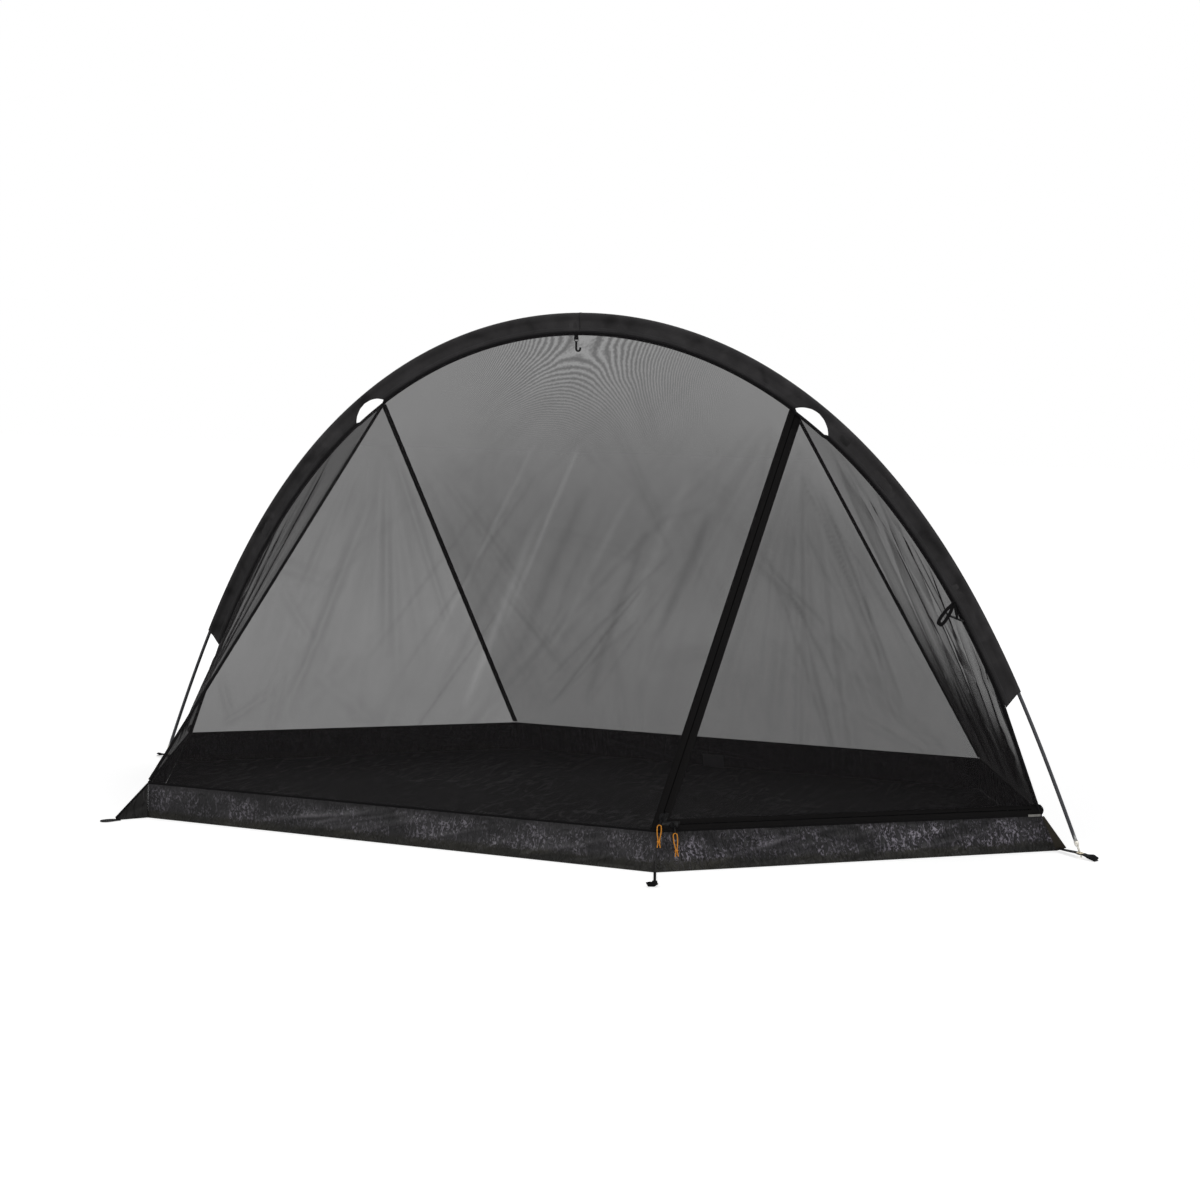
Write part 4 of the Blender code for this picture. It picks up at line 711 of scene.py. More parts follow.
@dataclass
class Graph:
    """A node tree and the few ways in which nodes are added to it."""

    tree: bpy.types.NodeTree

    def add(self, kind: str, **values: object) -> bpy.types.Node:
        """Add a node and set its named inputs or properties.

        Args:
            kind: the node's type.
            values: inputs by name, with spaces as underscores, or properties.

        Returns:
            The node.
        """
        node = self.tree.nodes.new(kind)
        inputs = {name: value for name, value in values.items() if not hasattr(node, name)}
        for name in values.keys() - inputs.keys():
            setattr(node, name, values[name])
        return self.fill(node, **inputs)

    def fill(self, node: bpy.types.Node, **values: object) -> bpy.types.Node:
        """Feed a node's inputs by name, with spaces written as underscores."""
        for name, value in values.items():
            self.feed(node.inputs[name.replace("_", " ")], value)
        return node

    def feed(self, socket: bpy.types.NodeSocket, value: object) -> None:
        """Link a socket to an output, or set its value."""
        if isinstance(value, bpy.types.NodeSocket):
            self.tree.links.new(value, socket)
        else:
            socket.default_value = value

    def math(self, operation: str, a: object, b: object = 0.0, c: object = 0.0,
             clamp: bool = False) -> bpy.types.NodeSocket:
        """The result of a sum on numbers or outputs.

        Args:
            operation: the Math node's operation.
            a: the first value.
            b: the second value.
            c: the third value, where the operation has one.
            clamp: whether the result stays from 0 to 1.

        Returns:
            The output.
        """
        node = self.tree.nodes.new("ShaderNodeMath")
        node.operation, node.use_clamp = operation, clamp
        for socket, value in zip(node.inputs, (a, b, c)):
            self.feed(socket, value)
        return node.outputs[0]

    def ramp(self, value: object, low: float, high: float, out_low: float = 0.0,
             out_high: float = 1.0) -> bpy.types.NodeSocket:
        """Map a value smoothly from one span to another."""
        node = self.add("ShaderNodeMapRange", interpolation_type="SMOOTHSTEP")
        for name, number in (("Value", value), ("From Min", low), ("From Max", high),
                             ("To Min", out_low), ("To Max", out_high)):
            self.feed(node.inputs[name], number)
        return node.outputs["Result"]

    def tint(self, colour: object, factor: object) -> bpy.types.NodeSocket:
        """A colour made lighter or darker by a factor."""
        node = self.add("ShaderNodeVectorMath", operation="SCALE")
        self.feed(node.inputs[0], colour)
        self.feed(node.inputs["Scale"], factor)
        return node.outputs[0]

    def blend(self, factor: object, a: object, b: object) -> bpy.types.NodeSocket:
        """A mix of two colours."""
        node = self.add("ShaderNodeMix", data_type="RGBA")
        self.feed(node.inputs[0], factor)
        self.feed(node.inputs[6], a)
        self.feed(node.inputs[7], b)
        return node.outputs[2]

    def place(self, tree: bpy.types.NodeTree, **values: object) -> bpy.types.Node:
        """Add a shared group with its inputs."""
        node = self.tree.nodes.new("ShaderNodeGroup")
        node.node_tree = tree
        return self.fill(node, **values)

    def times(self, a: object, b: object) -> bpy.types.NodeSocket:
        """One value times another."""
        return self.math("MULTIPLY", a, b)

    def line(self, value: object, factor: object, start: object, clamp: bool = False
             ) -> bpy.types.NodeSocket:
        """A value times a factor, plus a start."""
        return self.math("MULTIPLY_ADD", value, factor, start, clamp)

    def noise(self, place: object, scale: object, detail: float, **values: object
              ) -> bpy.types.NodeSocket:
        """Smooth noise about 0.5 at a place."""
        return self.add("ShaderNodeTexNoise", Vector=place, Scale=scale, Detail=detail,
                        **values).outputs[0]

    def split(self, place: object) -> tuple[bpy.types.NodeSocket, bpy.types.NodeSocket]:
        """A place's first two coordinates."""
        parts = self.add("ShaderNodeSeparateXYZ", Vector=place)
        return parts.outputs["X"], parts.outputs["Y"]

    def cloth(self) -> bpy.types.NodeSocket:
        """The piece's flat cut."""
        return self.add("ShaderNodeUVMap", uv_map=CLOTH_MAP).outputs[0]

    def mark(self, name: str) -> bpy.types.NodeSocket:
        """A number marked on the mesh's corners."""
        return self.add("ShaderNodeAttribute", attribute_name=name).outputs["Fac"]


def shared_group(name: str, inputs: dict[str, float | None], outputs: Sequence[str]
                 ) -> tuple[Graph, bpy.types.Node, bpy.types.Node]:
    """Start a shader group that several finishes use.

    Args:
        name: the group's name.
        inputs: input names with a default number, or None for a vector.
        outputs: the names of its number outputs.

    Returns:
        The graph, its input node and its output node.
    """
    tree = bpy.data.node_groups.new(name, "ShaderNodeTree")
    for label, value in inputs.items():
        kind = "NodeSocketVector" if value is None else "NodeSocketFloat"
        socket = tree.interface.new_socket(name=label, in_out="INPUT", socket_type=kind)
        if value is not None:
            socket.default_value = value
    for label in outputs:
        tree.interface.new_socket(name=label, in_out="OUTPUT", socket_type="NodeSocketFloat")
    return Graph(tree), tree.nodes.new("NodeGroupInput"), tree.nodes.new("NodeGroupOutput")


class Effects:
    """The shader groups that the finishes share, each built once."""

    def __init__(self) -> None:
        """Build every group."""
        self.threads = self._threads()
        self.tone = self._tone()
        self.crumple = self._crumple()
        self.stitches = self._stitches()

    @staticmethod
    def _threads() -> bpy.types.NodeTree:
        """Crossing threads at a pitch: the height of each thread and the net's cover."""
        graph, given, out = shared_group("crossing_threads", {"Vector": None, "Pitch": 0.001},
                                         ("Height", "Cover"))
        across, down = graph.split(given.outputs["Vector"])
        turn = graph.math("DIVIDE", math.tau, given.outputs["Pitch"])
        warp = graph.math("COSINE", graph.times(across, turn))
        weft = graph.math("COSINE", graph.times(down, turn))
        graph.fill(out, Height=graph.line(graph.times(warp, weft), 0.5, 0.5),
                   Cover=graph.times(graph.math("ADD", warp, weft), 0.5))
        return graph.tree

    @staticmethod
    def _tone() -> bpy.types.NodeTree:
        """Slow changes in tone: a factor about 1."""
        graph, given, out = shared_group(
            "slow_tone", {"Vector": None, "Scale": 8.0, "Amount": 0.2}, ("Tone",))
        noise = graph.noise(given.outputs["Vector"], given.outputs["Scale"], 4.0, Roughness=0.6)
        swing = graph.line(noise, 2.0, -1.0)
        graph.fill(out, Tone=graph.line(swing, given.outputs["Amount"], 1.0))
        return graph.tree

    @staticmethod
    def _crumple() -> bpy.types.NodeTree:
        """Sharp small creases of a coated cloth: their height, and their crests, where a highlight
        is painted and the coat is thicker.
        """
        graph, given, out = shared_group("crumpled_coat", {"Vector": None, "Scale": 40.0},
                                         ("Height", "Ridge"))
        place, scale = given.outputs["Vector"], given.outputs["Scale"]
        warp = graph.add("ShaderNodeTexNoise", Vector=place, Detail=2.0,
                         Scale=graph.times(scale, 0.5))
        bent = graph.add("ShaderNodeVectorMath", operation="MULTIPLY_ADD")
        for socket, value in zip(bent.inputs, (warp.outputs["Color"], (0.020,) * 3, place)):
            graph.feed(socket, value)
        crests = []
        for share, lean, thin in ((1.0, 0.0, 6.0), (1.5, 0.55, 10.0), (2.1, -0.75, 10.0)):
            turned_place = graph.add("ShaderNodeMapping", Vector=bent.outputs[0],
                                     Rotation=(0.0, 0.0, lean), Scale=(1.0, 0.24, 1.0))
            noise = graph.noise(turned_place.outputs[0], graph.times(scale, share), 1.0)
            off = graph.math("ABSOLUTE", graph.line(noise, 2.0, -1.0))
            crests.append(graph.line(off, -thin, 1.0, clamp=True))
        height = graph.line(crests[2], 0.5, graph.line(crests[1], 0.6, crests[0]))
        ends = graph.noise(place, graph.times(scale, 2.6), 1.0)
        zones = graph.noise(place, graph.times(scale, 0.22), 2.0)
        mask = graph.times(graph.ramp(zones, 0.34, 0.62), graph.ramp(ends, 0.36, 0.60))
        sharp = graph.math("MAXIMUM", crests[1], crests[2])
        graph.fill(out, Height=height, Ridge=graph.times(sharp, mask))
        return graph.tree

    @staticmethod
    def _stitches() -> bpy.types.NodeTree:
        """One row of stitches at a distance across: where the thread shows."""
        graph, given, out = shared_group(
            "stitch_row", {"Vector": None, "Across": 0.0, "Pitch": 0.0034, "Width": 0.0007},
            ("Thread",))
        across, down = graph.split(given.outputs["Vector"])
        away = graph.math("ABSOLUTE", graph.math("SUBTRACT", across, given.outputs["Across"]))
        row = graph.math("LESS_THAN", away, given.outputs["Width"])
        step = graph.math("FRACT", graph.math("DIVIDE", down, given.outputs["Pitch"]))
        graph.fill(out, Thread=graph.times(row, graph.math("LESS_THAN", step, 0.72)))
        return graph.tree


EFFECTS = Effects()


def new_material(name: str) -> tuple[bpy.types.Material, Graph, bpy.types.Node]:
    """A material with its graph and its Principled shader."""
    made = bpy.data.materials.new(name)
    made.use_nodes = True
    return made, Graph(made.node_tree), made.node_tree.nodes["Principled BSDF"]


def bumped(graph: Graph, height: object, distance: float) -> bpy.types.NodeSocket:
    """The normals of a surface raised by a height map, whose 1 is a distance in metres."""
    return graph.add("ShaderNodeBump", Strength=1.0, Distance=distance,
                     Height=height).outputs["Normal"]


def sewn(graph: Graph, cloth: object, rows: Sequence[float], thread: Colour, proud: float,
         surface: tuple[object, object]) -> tuple[object, object]:
    """Sew rows of stitches into a surface.

    Args:
        graph: the material's graph.
        cloth: the flat cut's coordinates.
        rows: how far across the cloth each row runs.
        thread: the thread's colour.
        proud: how high the thread stands.
        surface: the cloth's colour and height.

    Returns:
        The sewn cloth's colour and height.
    """
    colour, height = surface
    for across in rows:
        row = graph.place(EFFECTS.stitches, Vector=cloth, Across=across).outputs[0]
        colour = graph.blend(row, colour, (*thread, 1.0))
        height = graph.line(row, proud, height)
    return colour, height


@dataclass(frozen=True)
class Netting:
    """Fine black netting that lets light through."""

    name: str = "fine_netting"
    colour: Colour = (0.0150, 0.0138, 0.0146)
    cover: float = 0.585
    ripple: float = 0.10
    pitch: float = 0.0013
    bands: float = 0.0
    band_turns: Pair = (1900.0, 2550.0)
    band_centre: Pair = (0.024, 0.024)
    band_reach: Pair = (0.30, 0.20)

    def build(self) -> bpy.types.Material:
        """Make the netting's material."""
        made, graph, shader = new_material(self.name)
        cloth = graph.cloth()
        net = graph.place(EFFECTS.threads, Vector=cloth, Pitch=self.pitch)
        tone = graph.place(EFFECTS.tone, Vector=cloth, Scale=5.0, Amount=0.05).outputs[0]
        cover = graph.times(graph.line(net.outputs["Cover"], self.ripple, self.cover), tone)
        if self.bands:
            cover = graph.math("ADD", cover, self._bands(graph, cloth))
        graph.fill(shader, Alpha=graph.math("ADD", graph.mark(DENSITY_AND_SHADE), cover, clamp=True),
                   Base_Color=graph.tint(self.colour, tone), Roughness=0.8,
                   Specular_IOR_Level=0.1)
        return made

    def _bands(self, graph: Graph, cloth: bpy.types.NodeSocket) -> bpy.types.NodeSocket:
        """Rippled bands where this netting's threads and those behind it run almost alike.

        Args:
            graph: the material's graph.
            cloth: the flat cut's coordinates.

        Returns:
            What the bands add to the netting's cover.
        """
        across, down = (graph.math("SUBTRACT", part, middle)
                        for part, middle in zip(graph.split(cloth), self.band_centre))
        phase = graph.times(graph.times(across, across), self.band_turns[0])
        phase = graph.line(graph.times(down, down), -self.band_turns[1], phase)
        for scale, share in ((150.0, 3.2), (14.0, 9.0)):
            phase = graph.line(graph.noise(cloth, scale, 1.0), share, phase)
        side = graph.math("DIVIDE", across, self.band_reach[0])
        low = graph.math("DIVIDE", down, self.band_reach[1])
        far = graph.math("ADD", graph.times(side, side), graph.times(low, low))
        near = graph.math("EXPONENT", graph.times(far, -1.0))
        return graph.times(graph.math("SINE", phase), graph.times(near, self.bands))


@dataclass(frozen=True)
class WovenCloth:
    """A woven cloth: its threads, slow changes in tone, rows of stitches, and painted shade and
    highlights along folds.
    """

    name: str
    colour: Colour
    pitch: float = 0.0009
    roughness: float = 0.7
    sheen: float = 0.25
    grain: float = 0.00012
    uneven: float = 0.18
    rows: tuple[float, ...] = ()
    thread: Colour = (0.05, 0.05, 0.052)
    gloss: float = 0.12

    def build(self) -> bpy.types.Material:
        """Make the cloth's material."""
        made, graph, shader = new_material(self.name)
        cloth = graph.cloth()
        weave = graph.place(EFFECTS.threads, Vector=cloth, Pitch=self.pitch).outputs["Height"]
        tone = graph.place(EFFECTS.tone, Vector=cloth, Scale=14.0, Amount=self.uneven)
        # Painted shade between threads: the colour darkens where the weave is low.
        factor = graph.times(tone.outputs[0], graph.line(weave, 0.35, 0.82))
        # Painted shade and highlights: the "shade" mark darkens or lightens the colour along folds.
        colour = graph.tint(self.colour, graph.line(graph.mark(DENSITY_AND_SHADE), 0.5, factor))
        colour, height = sewn(graph, cloth, self.rows, self.thread, 2.5, (colour, weave))
        graph.fill(shader, Base_Color=colour, Specular_IOR_Level=self.gloss,
                   Roughness=graph.line(weave, -0.12, self.roughness), Sheen_Weight=self.sheen,
                   Normal=bumped(graph, height, self.grain))
        return made


@dataclass(frozen=True)
class CoatedCloth:
    """A coated, crumpled cloth with a thicker coat and painted highlights on its creases."""

    name: str
    colour: Colour = (0.0125, 0.0125, 0.0120)
    pitch: float = 0.0011
    crumple: float = 26.0
    depth: float = 0.0022
    roughness: float = 0.50
    coat: float = 0.10
    creased: float = 7.0
    gloss: float = 0.25
    band: tuple[float, float] | None = None
    glint: Colour = (1.0, 0.97, 1.04)
    low: Colour = (0.0112, 0.0104, 0.0078)
    broad: float = 0.0

    def build(self) -> bpy.types.Material:
        """Make the coated cloth's material."""
        made, graph, shader = new_material(self.name)
        cloth = graph.cloth()
        weave = graph.place(EFFECTS.threads, Vector=cloth, Pitch=self.pitch).outputs["Height"]
        tone = graph.place(EFFECTS.tone, Vector=cloth, Scale=9.0, Amount=0.30).outputs[0]
        crease = graph.place(EFFECTS.crumple, Vector=cloth, Scale=self.crumple)
        ridge = crease.outputs["Ridge"]
        base: object = self.colour
        if self.band:
            down = graph.split(cloth)[1]
            middle, half = self.band
            away = graph.math("ABSOLUTE", graph.math("SUBTRACT", down, middle))
            ridge = graph.times(ridge, graph.ramp(away, half * 0.6, half, 1.0, 0.12))
            base = graph.blend(graph.ramp(down, middle + half * 0.5, middle + half),
                               (*self.colour, 1.0), (*self.low, 1.0))
        # Painted highlights along long folds: the "shade" mark lifts the colour.
        lifted = graph.math("ADD", tone, graph.times(graph.mark(DENSITY_AND_SHADE), 2.2))
        # Painted light: broad lighter and darker zones drawn out along the cloth.
        if self.broad:
            drawn_out = graph.add("ShaderNodeMapping", Vector=cloth, Rotation=(0.0, 0.0, 0.22),
                                  Scale=(0.42, 1.0, 1.0))
            lit = graph.ramp(graph.noise(drawn_out.outputs[0], 15.0, 3.0), 0.36, 0.66,
                             1.0 - self.broad, 1.0 + self.broad)
            lifted, ridge = graph.times(lifted, lit), graph.times(ridge, lit)
        # Painted highlight: the creases' crests take a lighter, glint-tinted colour.
        light = graph.tint(tuple(c * g for c, g in zip(self.colour, self.glint)), self.creased)
        catch = graph.math("MINIMUM", ridge, 1.0)
        graph.fill(shader, Base_Color=graph.blend(catch, graph.tint(base, lifted), light),
                   Roughness=graph.line(tone, 0.16, self.roughness - 0.16),
                   Coat_Weight=graph.line(ridge, 0.3, self.coat, clamp=True),
                   Coat_Roughness=0.32, Specular_IOR_Level=self.gloss,
                   Normal=bumped(graph, graph.line(weave, 0.02, crease.outputs["Height"]),
                                 self.depth))
        return made


@dataclass(frozen=True)
class Webbing:
    """A ribbed tape: fine ribs across it, with rows of stitches along it."""

    name: str
    colour: Colour = (0.013, 0.012, 0.013)
    rib: float = 0.0011
    roughness: float = 0.62
    rows: tuple[float, ...] = ()
    thread: Colour = (0.034, 0.033, 0.034)

    def build(self) -> bpy.types.Material:
        """Make the webbing's material."""
        made, graph, shader = new_material(self.name)
        cloth = graph.cloth()
        ribs = graph.math("SINE", graph.times(graph.split(cloth)[1], math.tau / self.rib))
        weave = graph.place(EFFECTS.threads, Vector=cloth, Pitch=self.rib * 0.7)
        tone = graph.place(EFFECTS.tone, Vector=cloth, Scale=30.0, Amount=0.25)
        height = graph.line(ribs, 0.35, weave.outputs["Height"])
        # Painted shade: the colour darkens between the ribs and threads, where their height is low.
        factor = graph.times(tone.outputs[0], graph.line(height, 0.4, 0.7))
        colour = graph.tint(self.colour, factor)
        colour, height = sewn(graph, cloth, self.rows, self.thread, 1.5, (colour, height))
        graph.fill(shader, Base_Color=colour, Roughness=self.roughness, Specular_IOR_Level=0.06,
                   Normal=bumped(graph, height, 0.00015))
        return made


@dataclass(frozen=True)
class Metal:
    """Bare or anodised metal with fine scuffs, slow changes in tone and worn ends."""

    name: str
    colour: Colour
    roughness: float = 0.3
    metallic: float = 1.0
    worn: Colour | None = None

    def build(self) -> bpy.types.Material:
        """Make the metal's material."""
        made, graph, shader = new_material(self.name)
        place = graph.add("ShaderNodeTexCoord").outputs["Object"]
        scuff, drift = (graph.place(EFFECTS.tone, Vector=place, Scale=scale,
                                    Amount=amount).outputs[0]
                        for scale, amount in ((260.0, 0.25), (22.0, 0.12)))
        colour = graph.tint(self.colour, graph.times(scuff, drift))
        if self.worn:
            colour = graph.blend(graph.mark(WORN), colour, (*self.worn, 1.0))
        graph.fill(shader, Base_Color=colour, Roughness=graph.times(scuff, self.roughness),
                   Metallic=self.metallic, Normal=bumped(graph, scuff, 0.00004))
        return made


@dataclass(frozen=True)
class Plastic:
    """Moulded or painted black fittings with a fine grain and rubbed spots."""

    name: str
    colour: Colour = (0.012, 0.012, 0.013)
    roughness: float = 0.42
    metallic: float = 0.0
    gloss: float = 0.2

    def build(self) -> bpy.types.Material:
        """Make the fitting's material."""
        made, graph, shader = new_material(self.name)
        place = graph.add("ShaderNodeTexCoord").outputs["Object"]
        grain, rubbed = (graph.place(EFFECTS.tone, Vector=place, Scale=scale,
                                     Amount=amount).outputs[0]
                         for scale, amount in ((900.0, 0.5), (70.0, 0.6)))
        mask = graph.ramp(rubbed, 1.05, 1.45)
        graph.fill(shader, Base_Color=graph.tint(self.colour, graph.line(mask, 1.4, grain)),
                   Roughness=graph.line(mask, -0.14, self.roughness), Metallic=self.metallic,
                   Specular_IOR_Level=self.gloss, Normal=bumped(graph, grain, 0.00005))
        return made


@dataclass(frozen=True)
class BraidedCord:
    """A braided cord: two sets of strands wound against each other, with painted shade in the
    grooves between them.
    """

    name: str
    colour: Colour
    dark: Colour
    strand: float = 0.0011

    def build(self) -> bpy.types.Material:
        """Make the cord's material."""
        made, graph, shader = new_material(self.name)
        cloth = graph.cloth()
        across, down = graph.split(cloth)
        one, two = (graph.math("SINE", graph.times(math.tau / self.strand,
                                                   graph.math(way, across, down)))
                    for way in ("ADD", "SUBTRACT"))
        height = graph.line(graph.times(one, two), 0.5, 0.5)
        tone = graph.place(EFFECTS.tone, Vector=cloth, Scale=120.0, Amount=0.3)
        # Painted shade: the colour darkens where the strands' height is low.
        factor = graph.math("MULTIPLY", height, tone.outputs[0], clamp=True)
        graph.fill(shader, Base_Color=graph.blend(factor, (*self.dark, 1.0), (*self.colour, 1.0)),
                   Roughness=0.68, Sheen_Weight=0.2, Normal=bumped(graph, height, 0.0002))
        return made


@dataclass
class Wardrobe:
    """Every finish of the tent, made once."""

    made: dict[str, bpy.types.Material] = field(default_factory=dict)

    def __post_init__(self) -> None:
        """Make the finishes."""
        finishes = (
            Netting(),
            Netting("ridge_netting", cover=0.56, bands=0.17),
            Netting("back_netting", cover=0.52),
            Netting("end_netting", cover=0.66),
            Netting("left_netting", cover=0.80),
            WovenCloth("sleeve_cloth", (0.0380, 0.0362, 0.0374), roughness=0.72, sheen=0.04,
                       uneven=0.5, rows=(-0.0395, 0.0395)),
            WovenCloth("zip_tape_cloth", (0.0064, 0.0059, 0.0060), pitch=0.0008, uneven=0.25,
                       sheen=0.0, rows=(0.0022, 0.0128), thread=(0.011, 0.0105, 0.0105),
                       gloss=0.05),
            WovenCloth("blank_tag_cloth", (0.34, 0.33, 0.31), pitch=0.0007,
                       thread=(0.30, 0.30, 0.30)),
            WovenCloth("blank_patch_cloth", (0.0560, 0.0555, 0.0610), pitch=0.0009,
                       thread=(0.09, 0.09, 0.09)),
            WovenCloth("corner_edge_cloth", (0.040, 0.034, 0.025), pitch=0.0011, sheen=0.1,
                       thread=(0.02, 0.02, 0.02)),
            CoatedCloth("tub_wall_coat", colour=(0.0222, 0.0211, 0.0226), crumple=62.0,
                        coat=0.05, creased=7.5, gloss=0.16, band=(0.038, 0.034), broad=0.50),
            # Partly real gloss, mostly painted highlights on the creases.
            CoatedCloth("tub_wall_shiny_coat", colour=(0.0158, 0.0149, 0.0165), crumple=62.0,
                        depth=0.0030, roughness=0.42, coat=0.07, creased=18.0, gloss=0.16,
                        band=(0.036, 0.036), broad=0.62),
            CoatedCloth("tub_fin_coat", colour=(0.0145, 0.0138, 0.0134), crumple=34.0,
                        creased=2.5, gloss=0.12, coat=0.03),
            # Painted shade: darker copies of the tub's coat for the inner walls and the floor,
            # which lie in the tent's shade.
            CoatedCloth("tub_back_coat", colour=(0.0058, 0.0058, 0.0064), crumple=24.0,
                        creased=1.6, gloss=0.07, coat=0.0),
            CoatedCloth("tub_far_coat", colour=(0.0064, 0.0062, 0.0068), crumple=52.0,
                        creased=4.0, gloss=0.08, coat=0.02, band=(0.036, 0.036), broad=0.3),
            CoatedCloth("tub_floor_coat", colour=(0.0062, 0.0062, 0.0066), crumple=12.0,
                        depth=0.00035, roughness=0.62, coat=0.0, creased=1.05, gloss=0.06),
            Webbing("binding_webbing", colour=(0.0046, 0.0042, 0.0048), rows=(0.0022, 0.0146)),
            Webbing("seam_webbing", colour=(0.0052, 0.0048, 0.0052)),
            Webbing("light_seam_webbing", colour=(0.050, 0.048, 0.048)),
            Webbing("anchor_webbing", colour=(0.0070, 0.0070, 0.0074), rib=0.0014),
            Metal("pole_metal", (0.045, 0.046, 0.050), roughness=0.36, metallic=0.85,
                  worn=(0.42, 0.42, 0.41)),
            Metal("bare_tip_metal", (0.62, 0.60, 0.55), roughness=0.28),
            Metal("grommet_metal", (0.56, 0.50, 0.38), roughness=0.32),
            Plastic("zip_metal_black", colour=(0.0042, 0.0042, 0.0046), roughness=0.38, gloss=0.10),
            Plastic("coil_black", colour=(0.0036, 0.0036, 0.0038), roughness=0.9, gloss=0.0),
            Plastic("fitting_plastic", colour=(0.005, 0.005, 0.0054)),
            BraidedCord("orange_braid", (0.96, 0.40, 0.004), (0.66, 0.20, 0.001)),
            BraidedCord("elastic_braid", (0.014, 0.013, 0.014), (0.006, 0.006, 0.006)),
        )
        for finish in finishes:
            self.made[finish.name] = finish.build()

    def dress(self, piece: bpy.types.Object, finish: str) -> bpy.types.Object:
        """Give a piece one finish and nothing else."""
        piece.data.materials.clear()
        piece.data.materials.append(self.made[finish])
        return piece


@dataclass
class Roster:
    """Takes each finished piece: dresses it, puts it on what it rides on and hides what it stands
    for.
    """

    wardrobe: Wardrobe
    names: list[str] = field(default_factory=list)

    def take(self, piece: bpy.types.Object, finish: str, body: Body, slot: Slot,
             *nodes: str) -> bpy.types.Object:
        """Dress a piece and put it on its body.

        Args:
            piece: the finished object.
            finish: its material's name.
            body: what it moves with.
            slot: the record's slot for its finish; not used.
            nodes: the solids that it stands for.

        Returns:
            The same object.
        """
        self.wardrobe.dress(piece, finish)
        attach(piece, body.value)
        return self.note(piece, slot, *nodes)

    def note(self, piece: bpy.types.Object, slot: Slot, *nodes: str) -> bpy.types.Object:
        """Hide the solids that a placed piece stands for, and list and log the piece."""
        if nodes:
            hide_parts(*nodes)
        self.names.append(piece.name)
        LOG.info("%s: %d faces, for %s", piece.name, len(piece.data.polygons),
                 ", ".join(nodes) or "trim")
        return piece


# The tent's plan


@dataclass
class HoopLine:
    """The pole's centre line: a springy rod pinned at both feet."""

    height: float
    half_span: float
    samples: int = 900
    half_length: float = field(init=False)
    arc: np.ndarray = field(init=False)
    run: np.ndarray = field(init=False)
    rise: np.ndarray = field(init=False)
    slope: np.ndarray = field(init=False)

    def __post_init__(self) -> None:
        """Find the rod's shape for this height and span."""
        low, high = math.radians(20.0), math.radians(120.0)
        for _ in range(60):
            middle = (low + high) / 2.0
            arc, run, rise, slope = self._shape(middle)
            if run[-1] / rise[0] > self.half_span / self.height:
                low = middle
            else:
                high = middle
        scale = self.height / rise[0]
        self.arc, self.run, self.rise = arc * scale, run * scale, rise * scale
        self.slope = slope
        self.half_length = float(self.arc[-1])

    def _shape(self, foot_angle: float) -> tuple[np.ndarray, ...]:
        """Arc length, run, rise and slope of an unscaled rod, from its top to its foot."""
        modulus = math.sin(foot_angle / 2.0)
        turn = np.linspace(0.0, math.pi / 2.0, self.samples)
        slope = 2.0 * np.arcsin(modulus * np.sin(turn))
        speed = 1.0 / np.sqrt(1.0 - (modulus * np.sin(turn)) ** 2)
        step = turn[1] - turn[0]
        arc = np.concatenate(([0.0], np.cumsum((speed[1:] + speed[:-1]) * step / 2.0)))
        across = speed * np.cos(slope)
        run = np.concatenate(([0.0], np.cumsum((across[1:] + across[:-1]) * step / 2.0)))
        return arc, run, 2.0 * modulus * np.cos(turn), slope

    def at(self, s: object, out: object = 0.0, side: object = 0.0) -> np.ndarray:
        """Points beside the line.

        Args:
            s: arc lengths from the top.
            out: distances out from the line in its plane.
            side: distances along Y.

        Returns:
            One point for each arc length.
        """
        s = np.asarray(s, float)
        reach = np.abs(s)
        x = np.sign(s) * np.interp(reach, self.arc, self.run)
        z = np.interp(reach, self.arc, self.rise)
        slope = np.sign(s) * np.interp(reach, self.arc, self.slope)
        return np.stack([x + np.sin(slope) * out, np.zeros_like(x) + side,
                         z + np.cos(slope) * out], axis=-1)

    def point(self, s: float, out: float = 0.0, side: float = 0.0) -> Vector:
        """One point beside the line."""
        return Vector(self.at(s, out, side).tolist())

    def axes(self, s: float) -> tuple[Vector, Vector]:
        """The direction towards +X and the outward one at an arc length."""
        slope = math.copysign(1.0, s) * float(np.interp(abs(s), self.arc, self.slope))
        return (Vector((math.cos(slope), 0.0, -math.sin(slope))),
                Vector((math.sin(slope), 0.0, math.cos(slope))))

    def find(self, test: Callable[[float], float]) -> float:
        """The arc length on the +X half where a test turns from positive to negative."""
        low, high = 0.0, self.half_length
        for _ in range(50):
            middle = (low + high) / 2.0
            if test(middle) > 0.0:
                low = middle
            else:
                high = middle
        return low

    def length_at(self, x: np.ndarray) -> np.ndarray:
        """Arc lengths from the top at given places along X."""
        return np.sign(x) * np.interp(np.abs(x), self.run, self.arc)


